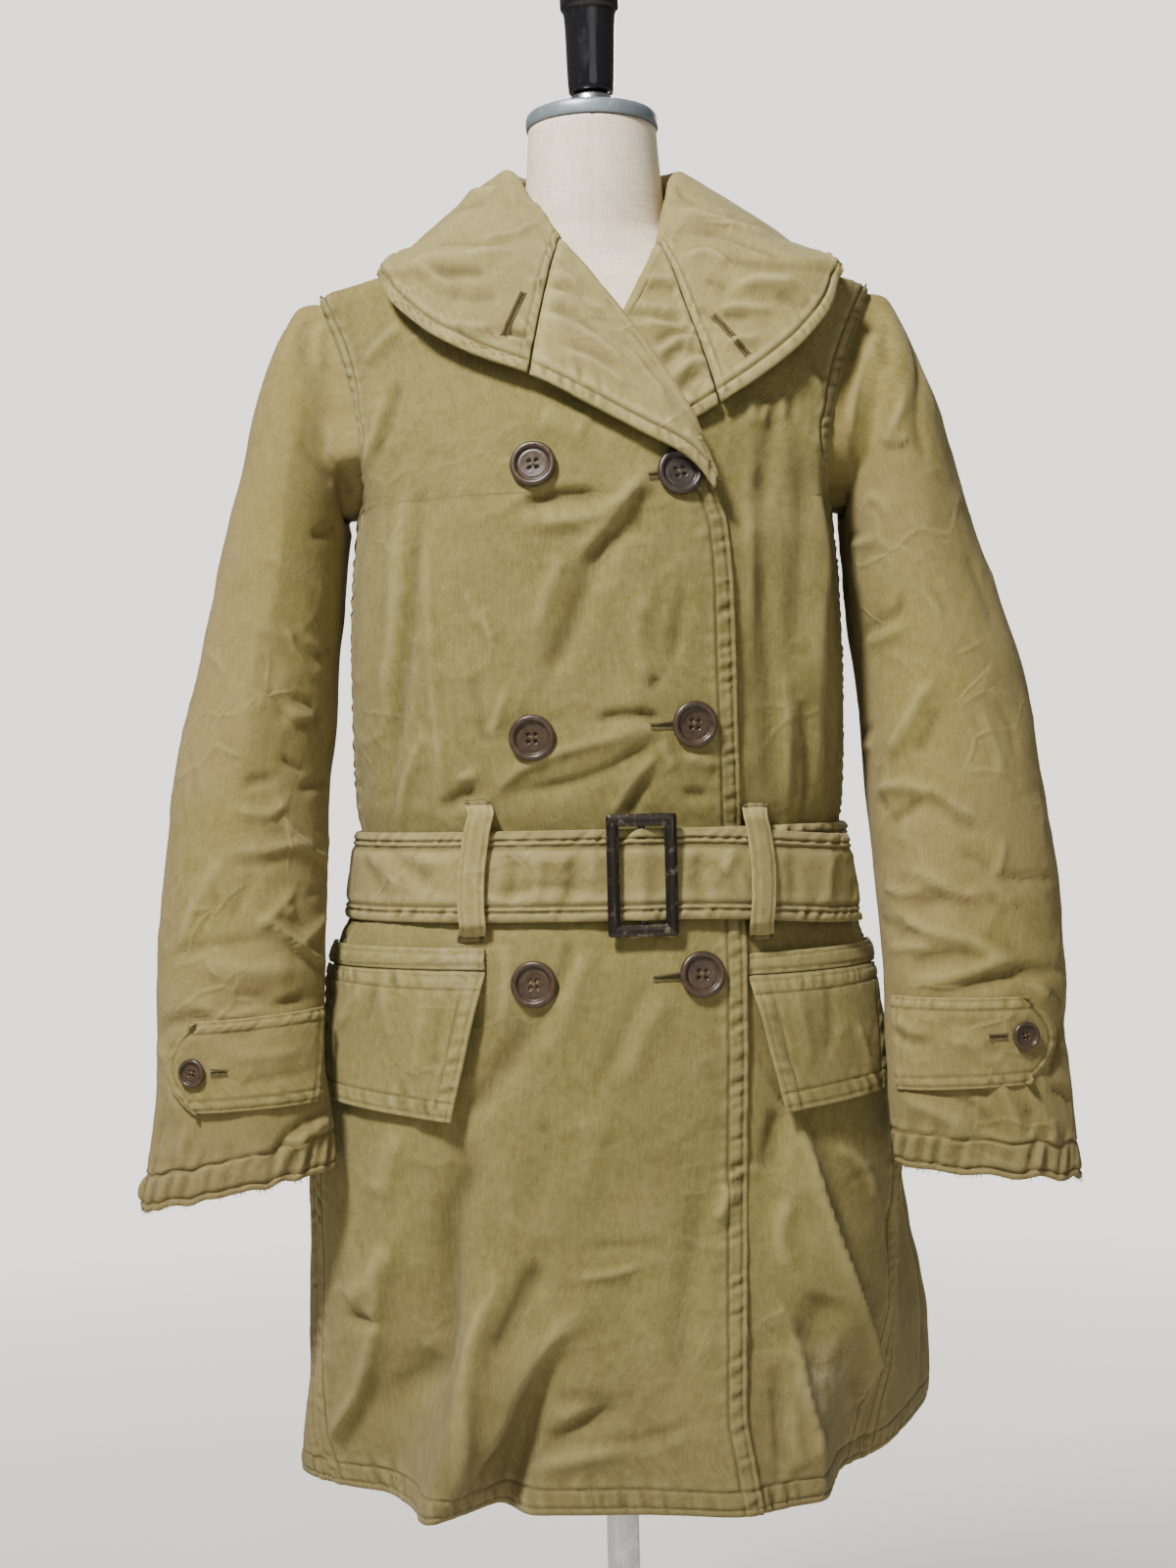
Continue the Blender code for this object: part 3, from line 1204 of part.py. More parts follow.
def button_profile(radius, thick):
    """A dished front with a thick rounded rim, top to bottom on the outer side."""
    return ((0.0, thick * 0.55), (radius * 0.55, thick * 0.60), (radius * 0.74, thick * 0.92),
            (radius * 0.88, thick), (radius, thick * 0.66), (radius, thick * 0.30),
            (radius * 0.86, 0.0), (0.0, 0.0))


def make_button(name, place, normal, radius, thick, steps, home, tools):
    thing = turned(name, button_profile(radius, thick), "button", home, steps=steps)
    facing = normal.to_track_quat("Z", "Y")
    stand_at(thing, place, facing)
    spacing, hole = radius * 0.21, radius * 0.085
    bm = bmesh.new()
    for side in (-1, 1):
        for level in (-1, 1):
            drill = bmesh.ops.create_cone(bm, segments=4, radius1=hole, radius2=hole,
                                          depth=thick * 4, cap_ends=True, cap_tris=False)
            bmesh.ops.translate(bm, verts=drill["verts"],
                                vec=(side * spacing, level * spacing, 0))
    mesh = bpy.data.meshes.new(f"{name}_holes")
    bm.to_mesh(mesh)
    bm.free()
    cutter = add_object(f"{name}_holes", mesh, "button", tools)
    stand_at(cutter, place, facing)
    combine(thing, cutter, "DIFFERENCE")


def make_buttons(home, tools):
    for name, x, z in BUTTONS["rows"]:
        bearing = bearing_at(x, z)
        normal = skin_normal(bearing, z)
        make_button(name, coat(bearing, z, BUTTON_GAP), normal, BUTTON_RADIUS,
                    BUTTON_THICK, 16, home, tools)
    for name, side, x, z in CUFF_BUTTONS["rows"]:
        table = SLEEVE_RIGHT if side < 0 else SLEEVE_LEFT
        face, normal = sleeve_front(table, x, z)
        make_button(name, face + normal * (TAB_LIFT + BUTTON_GAP), normal, CUFF_BUTTON_RADIUS,
                    CUFF_BUTTON_THICK, 12, home, tools)


def build():
    clear_scene()
    home = collection("mackinaw_coat")
    tools = collection("cutters")
    make_stand(home)
    make_form(home)
    make_panels(home)
    make_sleeves(home)
    make_collar(home)
    make_pockets(home)
    make_belt(home)
    make_buckle(home, tools)
    make_loops(home)
    make_tabs(home)
    make_buttons(home, tools)


build()
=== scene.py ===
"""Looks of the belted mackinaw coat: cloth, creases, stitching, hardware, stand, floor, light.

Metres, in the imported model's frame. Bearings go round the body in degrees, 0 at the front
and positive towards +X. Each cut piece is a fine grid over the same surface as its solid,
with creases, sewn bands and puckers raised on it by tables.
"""
import math

import bpy
import numpy as np
from mathutils import Matrix, Vector


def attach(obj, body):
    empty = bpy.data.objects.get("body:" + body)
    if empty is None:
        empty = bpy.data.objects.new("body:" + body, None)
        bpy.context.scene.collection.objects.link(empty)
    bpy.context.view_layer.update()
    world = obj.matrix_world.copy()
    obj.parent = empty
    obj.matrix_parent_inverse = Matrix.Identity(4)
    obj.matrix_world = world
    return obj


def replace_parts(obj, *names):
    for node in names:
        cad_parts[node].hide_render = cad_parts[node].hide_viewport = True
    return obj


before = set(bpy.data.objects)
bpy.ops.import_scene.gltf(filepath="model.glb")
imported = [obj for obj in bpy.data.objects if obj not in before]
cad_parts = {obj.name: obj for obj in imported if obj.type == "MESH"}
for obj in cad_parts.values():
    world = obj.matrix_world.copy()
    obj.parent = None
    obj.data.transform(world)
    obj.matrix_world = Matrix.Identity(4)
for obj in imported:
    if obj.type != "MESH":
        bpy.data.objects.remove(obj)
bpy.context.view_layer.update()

# ---------------------------------------------------------------- sizes and tables

WALL, STRAP_WALL = 0.003, 0.0024
HEM_Z, ARMPIT_Z, SHOULDER_Z, NECK_Z = 0.477, 1.168, 1.326, 1.385
BELT_LOW, BELT_HIGH = 0.877, 0.939
SIDE_SEAM = {-1: (-76.0, -84.0), 1: (76.0, 84.0)}
UNDER_FRONT_EDGE, UNDER_SINK = -0.082, 0.034
LAP_GAP, LAPEL_GAP = 0.0045, 0.0130
UNDER_BEARINGS = (66.0, 38.0)       # it sinks from its own level to LAP_GAP between these
LAPEL_LOW, LAPEL_HIGH = (1.13, 1.18), (1.345, 1.30)     # and to LAPEL_GAP between these
SINK_BEARINGS = (6.0, -16.0)        # it turns plain between these bearings
SINK_HEIGHTS, DEEP_HEIGHTS = (0.69, 0.59), (0.69, 0.52)     # and these heights

# Upper rows of a front: the share that follows the roll line, how many stations past the
# left lapel's end it begins, and over which share the edge moves under the rolled fold
ROLL_SHARE, ROLL_BEYOND, ROLL_START = 0.8, 1.2, 0.15
ROLL_WIDTH = 0.0045         # the fold of a lapel reaches this far past its panel's edge
ROLL_SIDE, ROLL_DOWN = 0.8, 0.5     # parts of ROLL_WIDTH sideways and down

# Where the back's columns leave the shoulder seam, and the rows over which they learn it
SHOULDER_SHARE, SHOULDER_ROWS = 0.62, (0.55, 1.0)
GORGE_RIGHT, GORGE_LEFT, LAPEL_LEFT_END = 4.0, 18.0, 20.0


def table(names, *rows):
    """A table's columns by name."""
    return dict(zip(names.split(), np.array(rows, float).T))


COAT = table(
    "z right left front back power",
    (0.477, 0.2235, 0.2030, 0.1385, 0.1600, 2.20),
    (0.530, 0.2225, 0.2060, 0.1375, 0.1590, 2.20),
    (0.600, 0.2240, 0.2080, 0.1370, 0.1575, 2.20),
    (0.680, 0.2240, 0.2080, 0.1380, 0.1545, 2.20),
    (0.760, 0.2170, 0.2040, 0.1400, 0.1500, 2.20),
    (0.830, 0.2060, 0.1920, 0.1385, 0.1420, 2.20),
    (0.865, 0.1965, 0.1820, 0.1335, 0.1320, 2.20),
    (0.890, 0.1830, 0.1730, 0.1275, 0.1225, 2.20),
    (0.912, 0.1790, 0.1695, 0.1255, 0.1195, 2.20),
    (0.935, 0.1795, 0.1690, 0.1270, 0.1205, 2.20),
    (0.957, 0.1830, 0.1715, 0.1315, 0.1240, 2.25),
    (1.000, 0.1845, 0.1735, 0.1360, 0.1300, 2.30),
    (1.060, 0.1845, 0.1740, 0.1385, 0.1345, 2.35),
    (1.115, 0.1828, 0.1728, 0.1390, 0.1365, 2.35),
    (1.168, 0.1785, 0.1695, 0.1360, 0.1355, 2.30),
    (1.206, 0.1850, 0.1815, 0.1295, 0.1310, 2.30),
    (1.240, 0.1895, 0.1865, 0.1205, 0.1240, 2.30),
    (1.270, 0.1940, 0.1905, 0.1105, 0.1150, 2.25),
    (1.300, 0.1990, 0.1960, 0.0980, 0.1030, 2.20),
    (1.326, 0.2035, 0.2005, 0.0850, 0.0890, 2.15),
    (1.333, 0.1830, 0.1810, 0.0800, 0.0830, 2.10),
    (1.341, 0.1570, 0.1570, 0.0735, 0.0760, 2.10),
    (1.353, 0.1250, 0.1250, 0.0655, 0.0680, 2.05),
    (1.368, 0.0930, 0.0930, 0.0585, 0.0600, 2.00),
    (1.385, 0.0660, 0.0660, 0.0530, 0.0560, 2.00))

# Folds: top_bearing, hem_bearing, top_z, width, out, lean
SKIRT_FOLDS = (
    (-50, -86, 0.700, 8.0, 0.010, 0.000), (-40, -65, 0.730, 9.0, -0.018, 0.000),
    (-27, -44, 0.700, 6.5, 0.030, 0.010), (-14, -34, 0.640, 5.5, -0.024, -0.012),
    (12, 30, 0.700, 15.0, 0.022, 0.000), (52, 49, 0.740, 7.0, 0.011, 0.000),
    (66, 71, 0.620, 13.0, -0.030, 0.000), (106, 113, 0.800, 15.0, 0.052, 0.000),
    (140, 138, 0.700, 11.0, -0.014, 0.000), (165, 163, 0.720, 12.0, 0.014, 0.000),
    (-172, -174, 0.700, 11.0, -0.010, 0.000), (-148, -150, 0.720, 12.0, 0.015, 0.000),
    (-122, -124, 0.700, 11.0, -0.012, 0.000), (-101, -104, 0.700, 10.0, 0.012, 0.000))
# top_bearing, top_z, low_bearing, low_z, width, out
BODY_FOLDS = (
    (92, 0.720, 86, 0.535, 8.0, -0.014), (-66, 1.300, -62, 1.130, 6.5, 0.006),
    (-74, 1.290, -76, 1.080, 5.0, -0.004), (61, 1.260, 58, 0.960, 7.0, 0.006),
    (74, 1.240, 76, 1.040, 6.0, -0.004), (-40, 1.080, -28, 0.950, 8.0, 0.005),
    (10, 1.060, 2, 0.950, 8.0, 0.005), (125, 1.080, 122, 0.950, 12.0, 0.007),
    (-130, 1.080, -126, 0.950, 12.0, 0.007), (180, 1.060, 178, 0.950, 12.0, 0.005),
    (150, 1.250, 152, 1.060, 10.0, 0.004), (-150, 1.250, -152, 1.060, 10.0, 0.004))

HEM_RISE = table("bearing rise", (-180, 0.002), (-100, 0.000), (40, 0.002), (75, 0.004),
                 (105, 0.018), (125, 0.014), (150, 0.004), (180, 0.002))
FRONT_EDGE = table("z x", (0.477, 0.0950), (0.510, 0.0895), (0.545, 0.0846),
                   (0.646, 0.0878), (0.795, 0.0912), (0.865, 0.0920), (1.009, 0.0899),
                   (1.102, 0.0885), (1.141, 0.0865), (1.168, 0.0790))
ARMHOLE = table("z front back", (1.168, 0.1760, 0.1770), (1.184, 0.1715, 0.1740),
                (1.206, 0.1700, 0.1745), (1.237, 0.1747, 0.1790), (1.270, 0.1833, 0.1860),
                (1.300, 0.1941, 0.1950), (1.326, 0.2035, 0.2035))

COLLAR = table(
    "station roll_x roll_y roll_z edge_x edge_y edge_z stand lift",
    (0.0, 0.0790, -0.137, 1.166, 0.0800, -0.139, 1.163, 0.004, 0.005),
    (1.0, 0.0610, -0.132, 1.211, 0.0590, -0.140, 1.187, 0.004, 0.006),
    (2.0, 0.0375, -0.122, 1.257, 0.0280, -0.138, 1.204, 0.004, 0.007),
    (3.0, 0.0060, -0.100, 1.305, -0.0100, -0.136, 1.226, 0.004, 0.008),
    (4.0, -0.0253, -0.069, 1.351, -0.0480, -0.130, 1.248, 0.005, 0.009),
    (5.0, -0.0385, -0.053, 1.376, -0.0910, -0.118, 1.266, 0.012, 0.011),
    (6.0, -0.0500, -0.036, 1.398, -0.1240, -0.100, 1.288, 0.020, 0.012),
    (7.0, -0.0575, -0.018, 1.412, -0.1470, -0.072, 1.319, 0.027, 0.009),
    (8.0, -0.0600, 0.006, 1.419, -0.1440, 0.000, 1.349, 0.032, 0.004),
    (9.0, -0.0520, 0.036, 1.424, -0.1140, 0.071, 1.328, 0.036, 0.007),
    (10.0, -0.0280, 0.057, 1.427, -0.0600, 0.108, 1.300, 0.038, 0.007),
    (11.0, 0.0000, 0.063, 1.428, 0.0000, 0.119, 1.290, 0.038, 0.007),
    (12.0, 0.0280, 0.057, 1.427, 0.0620, 0.108, 1.300, 0.038, 0.007),
    (13.0, 0.0520, 0.036, 1.424, 0.1200, 0.071, 1.326, 0.036, 0.007),
    (14.0, 0.0590, 0.006, 1.417, 0.1560, 0.000, 1.345, 0.032, 0.004),
    (15.0, 0.0565, -0.016, 1.408, 0.1640, -0.068, 1.308, 0.027, 0.009),
    (16.0, 0.0530, -0.034, 1.392, 0.1480, -0.096, 1.278, 0.020, 0.012),
    (17.0, 0.0495, -0.052, 1.371, 0.1200, -0.116, 1.254, 0.012, 0.011),
    (18.0, 0.0445, -0.069, 1.350, 0.0871, -0.131, 1.234, 0.005, 0.004),
    (19.0, 0.0170, -0.100, 1.294, 0.0400, -0.134, 1.206, 0.004, 0.0005),
    (20.0, -0.0200, -0.119, 1.240, -0.0060, -0.138, 1.190, 0.004, 0.0005))

SLEEVE = {
    -1: table(
        "ring outer_x outer_z inner_x inner_z mid_y half_y",
        (0, -0.2035, 1.3260, -0.1775, 1.1680, 0.000, 0.062),
        (1, -0.2165, 1.3220, -0.1812, 1.1660, -0.001, 0.062),
        (2, -0.2285, 1.3070, -0.1826, 1.1620, -0.002, 0.065),
        (3, -0.2402, 1.2780, -0.1840, 1.1550, -0.003, 0.068),
        (4, -0.2525, 1.2420, -0.1855, 1.1420, -0.005, 0.070),
        (5, -0.2610, 1.2050, -0.1868, 1.1230, -0.008, 0.071),
        (6, -0.2707, 1.1620, -0.1885, 1.0950, -0.012, 0.071),
        (7, -0.2816, 1.1090, -0.1915, 1.0620, -0.018, 0.070),
        (8, -0.2950, 1.0460, -0.1938, 1.0200, -0.026, 0.068),
        (9, -0.3052, 0.9990, -0.1990, 0.9780, -0.034, 0.066),
        (10, -0.3121, 0.9490, -0.2015, 0.9300, -0.044, 0.063),
        (11, -0.3180, 0.8900, -0.2020, 0.8750, -0.056, 0.058),
        (12, -0.3190, 0.8350, -0.2020, 0.8280, -0.070, 0.052),
        (13, -0.3180, 0.7850, -0.2010, 0.7850, -0.081, 0.044),
        (14, -0.3205, 0.7420, -0.1960, 0.7500, -0.089, 0.037),
        (15, -0.3295, 0.6810, -0.1930, 0.7080, -0.094, 0.031)),
    1: table(
        "ring outer_x outer_z inner_x inner_z mid_y half_y",
        (0, 0.2005, 1.3260, 0.1685, 1.1680, 0.000, 0.062),
        (1, 0.2115, 1.3190, 0.1722, 1.1660, -0.001, 0.062),
        (2, 0.2230, 1.3020, 0.1736, 1.1610, -0.002, 0.065),
        (3, 0.2348, 1.2700, 0.1748, 1.1520, -0.003, 0.068),
        (4, 0.2478, 1.2320, 0.1758, 1.1360, -0.005, 0.070),
        (5, 0.2571, 1.1980, 0.1766, 1.1150, -0.008, 0.071),
        (6, 0.2680, 1.1560, 0.1776, 1.0860, -0.012, 0.071),
        (7, 0.2833, 1.1090, 0.1804, 1.0540, -0.018, 0.070),
        (8, 0.2986, 1.0520, 0.1838, 1.0150, -0.026, 0.068),
        (9, 0.3070, 1.0000, 0.1850, 0.9720, -0.034, 0.066),
        (10, 0.3110, 0.9510, 0.1868, 0.9300, -0.044, 0.063),
        (11, 0.3165, 0.8850, 0.1900, 0.8750, -0.057, 0.058),
        (12, 0.3186, 0.8250, 0.1920, 0.8250, -0.070, 0.052),
        (13, 0.3150, 0.7870, 0.1900, 0.7800, -0.080, 0.044),
        (14, 0.3168, 0.7430, 0.1902, 0.7430, -0.088, 0.037),
        (15, 0.3225, 0.6900, 0.1935, 0.7010, -0.093, 0.031)),
}

# Name, x and z of the coat's buttons, and name, side, x and z of the cuffs'
BUTTONS = (
    ("button_top_right", -0.0458, 1.186), ("button_top_left", 0.0528, 1.179),
    ("button_middle_right", -0.0505, 1.002), ("button_middle_left", 0.0589, 1.009),
    ("button_low_right", -0.0528, 0.836), ("button_low_left", 0.0603, 0.840))
CUFF_BUTTONS = (("cuff_button_right", -1, -0.2842, 0.780),
                ("cuff_button_left", 1, 0.2772, 0.793))

# Creases: height, width to the left and to the right of the way, sharpness, and the path in
# places of bearing and z (panels, belt) or x and z (the rest). Millimetres and degrees.
CREASES = {}
CREASES["front_right"] = (
    (4.6, 9, 10, 2, -51.2, 1189, -55, 1157, -55.2, 1135, -55.9, 1094, -58.2, 1054, -62, 1013),
    (-4.9, 8, 8, 2, -50.1, 1164, -50.7, 1128, -52.3, 1080, -55.4, 1039, -58.4, 1001, -62.6, 970),
    (2.8, 3.5, 9, 1.4, -48.2, 1145, -46, 1106, -45.7, 1066, -45.2, 1025, -44.9, 987, -46.5, 953),
    (3, 4.5, 5, 2, -49.5, 1004, -54, 982, -57.3, 961, -60.5, 941),
    (4.9, 6, 9, 1.8, -60.1, 1247, -60.8, 1219, -65.8, 1196),
    (3.4, 5, 6, 2, -60.4, 1293, -64, 1282, -68.4, 1269),
    (-3.8, 5, 6, 2, -57.9, 1257, -58.6, 1225, -62.6, 1194),
    (-6.1, 4.5, 6, 2, -22.7, 1157, -19, 1161, -15, 1164, -7.6, 1166, 0.2, 1166),
    (4.9, 8, 6, 1.8, -19.9, 1147, -12.4, 1147, -3.7, 1149, 4.3, 1159, 11.3, 1174),
    (5.3, 6, 7, 1.8, 13.1, 1180, 6.5, 1159, -0.9, 1138, -7.6, 1123),
    (-5.5, 8, 8, 2, 10.2, 1142, 2.5, 1135, -1.9, 1121, -6.2, 1099, -9.4, 1075, -13.7, 1054,
     -18, 1037),
    (3.4, 7, 7, 2, -11, 1128, -15.2, 1102, -19.2, 1071),
    (4.2, 13, 14, 2, -19.8, 1221, -11.5, 1215, -2.5, 1207),
    (-5.3, 4, 4, 1.8, 16.1, 1011, 9.3, 1016, 2.6, 1016, -2.8, 1011),
    (-3, 4, 4, 2, 14.6, 1042, 12.4, 1032),
    (3.6, 4, 6, 1.4, 12.8, 1006, -0.4, 999, -12.7, 992, -24.5, 980, -33.4, 961),
    (-3.6, 6, 4, 1.5, 14.1, 999, 5.4, 987, -3.4, 977, -14.6, 970, -25.4, 966),
    (2.8, 4, 5, 1.5, 14.2, 992, 10.1, 980, 4.9, 965, -0, 946),
    (2.8, 4, 4, 2, 15.1, 1001, 16.5, 989, 19.1, 978),
    (-2.7, 4, 4, 2, 11.4, 975, 8.5, 961, 5.8, 946),
    (2.7, 5, 5, 2, 21, 987, 30.2, 982),
    (-3, 4, 4, 2, 21.8, 963, 28.3, 961),
    (-4.2, 5, 5, 2, -46.5, 955, -41.1, 963, -36.3, 968),
    (3.2, 4, 5, 2, -41.1, 975, -35.4, 980),
    (2.1, 3.2, 3.2, 2, -36.8, 1104, -33.7, 1078),
    (1.9, 3.2, 3.2, 2, -32.8, 1090, -30.6, 1068),
    (2.3, 4, 4, 2, -26.4, 1037, -29.8, 1013, -31.4, 999),
    (-2.5, 6, 6, 2, -35.2, 1051, -33.6, 1018, -31.4, 992),
    (-2.3, 5, 5, 2, 21.7, 1099, 19.9, 1073, 17.9, 1047),
    (2.5, 7, 7, 2, 11.9, 1102, 8.9, 1068, 10.2, 1035),
    (-5.5, 10, 9, 2, -20.4, 815, -28.5, 786, -32.6, 769, -39.1, 745),
    (2.6, 9, 9, 2, -5.6, 867, -10, 839, -16.2, 801, -22.2, 779),
    (-2.2, 6.6, 7.2, 1.8, 9.6, 837, 4.6, 813, -0.5, 786, -5.3, 767),
    (2.2, 8, 8, 1.8, 15.1, 830, 6.6, 791, 0.4, 763),
    (3.8, 6, 6, 2, -29.9, 865, -28.5, 839, -30.2, 805),
    (-3, 5, 5, 2, -11.5, 865, -13.2, 846, -18, 827),
    (4.4, 10, 11, 2, -52.1, 738, -56.2, 714, -59.2, 685),
    (-9.5, 11.5, 12.6, 2, -40.1, 741, -39.4, 707, -43.4, 674, -45, 638, -47.1, 580,
     -53.3, 568, -61.1, 544),
    (6.5, 9.2, 10.3, 2, -56.1, 659, -60.4, 635, -66.4, 611),
    (-5.3, 4.6, 4.6, 1.8, -65.7, 604, -59.6, 602),
    (8.8, 5.8, 10.3, 1.4, -59, 638, -61.6, 587, -65.2, 556, -70.8, 525, -76.2, 499),
    (9, 4.6, 8.2, 1.4, -32.3, 633, -35.6, 609, -37.4, 578, -37.9, 547, -38.8, 516, -40.3, 494),
    (9.5, 11.5, 12.6, 1.8, -7.7, 621, -20.4, 595, -29.1, 568, -32.5, 545, -35.1, 528, -37.8, 511),
    (-7, 9, 9, 2, -20.6, 652, -28.3, 609, -32.2, 583),
    (-8.5, 9.2, 6.9, 1.7, 1.4, 557, -17.4, 531, -35.9, 506, -36.8, 500),
    (-2.4, 5.8, 5.8, 2, -3.7, 555, -11, 557, -18.7, 554),
    (-2, 3.9, 3.9, 2, -18.7, 526, 1, 528, 11.6, 536, 17.8, 545),
    (-1.6, 4.1, 4.1, 2, -9.6, 657, 2, 660, 15.6, 658),
    (2.9, 3.9, 3.9, 2, -12, 638, -2.7, 641, 5.4, 646),
    (-3.6, 9, 10, 2, 22.8, 698, 19.7, 646, 16.8, 615, 14.4, 576, 11.8, 555),
    (5, 5.8, 6.9, 2, 25.6, 674, 28.4, 684, 30.7, 698),
    (-1.8, 5.8, 5.8, 2, 1.1, 550, 7.1, 536, 12.3, 522, 16.2, 510),
    (4.7, 6.9, 8, 2, -35.2, 511, -17.3, 516, 1.1, 524),
    (2, 10, 10, 2, -4.3, 753, -8.1, 719, -10.7, 681),
    (-2, 9, 9, 2, -18, 753, -20.5, 714, -23.9, 681),
    (1.6, 8, 8, 2, -31.7, 731, -29.9, 700, -28.8, 667))
CREASES["front_left"] = (
    (3.7, 5, 8, 1.6, 61.2, 1262, 63.6, 1240, 66.7, 1217, 73.2, 1181),
    (-4.1, 7, 7, 2, 52.1, 1231, 48.5, 1193, 46.3, 1158),
    (-3.2, 8, 9, 2, 44.5, 1142, 44, 1076, 45.5, 1021, 47.1, 966, 50.2, 943),
    (4.1, 9, 9, 2, 62.8, 1206, 62.3, 1130, 58.6, 1069, 60.2, 1000, 67, 938),
    (-2.7, 8, 8, 2, 56.6, 1218, 57.2, 1171, 52.9, 1102, 51.3, 1047),
    (3.1, 5, 5, 2, 46.3, 1238, 44.8, 1215),
    (2.5, 4, 4, 2, 50, 1234, 47.9, 1217),
    (2.4, 4, 4, 2, 53.6, 1236, 52.8, 1219),
    (-2, 4, 4, 2, 56.3, 1241, 55.5, 1218),
    (2.7, 6, 6, 2, 44, 1204, 40.8, 1128, 40.4, 1061),
    (2.2, 4, 4, 2, 50, 1035, 50.6, 995, 52.5, 952),
    (-2.2, 4, 4, 2, 54, 1021, 58, 973, 58.6, 940),
    (15.5, 4.2, 26, 1.25, 45.2, 744, 48.4, 727, 51.1, 692, 55.9, 635, 65.8, 578, 76.6, 529,
     76.2, 510),
    (10, 4.4, 17.2, 1.25, 43.2, 601, 44.6, 584, 45.5, 562, 46.5, 543, 47.6, 520, 48.1, 491),
    (-6.8, 13.8, 13.8, 2, 51.9, 620, 48.8, 599, 45.5, 582),
    (-4.2, 3.7, 3.7, 2, 77, 581, 76.9, 556),
    (-10.5, 9.2, 9.2, 2, 73.3, 671, 75.2, 631, 77.1, 591),
    (3.4, 4.6, 4.6, 2, 74.8, 526, 76.7, 536),
    (-5.7, 6.9, 6.9, 2, 43.1, 749, 41, 725, 39.8, 701),
    (3.9, 6.9, 6.9, 2, 44, 689, 41.5, 660, 43.3, 634),
    (3.7, 5.8, 5.8, 2, 55.2, 718, 63.6, 699, 67.8, 671),
    (-4.2, 5.8, 5.8, 2, 60.5, 561, 69.7, 533, 75.3, 510),
    (3.1, 4.6, 4.6, 2, 41.5, 543, 41.8, 522, 42.4, 503),
    (-3.4, 4.6, 4.6, 2, 38.7, 569, 39.1, 536, 38.3, 505))
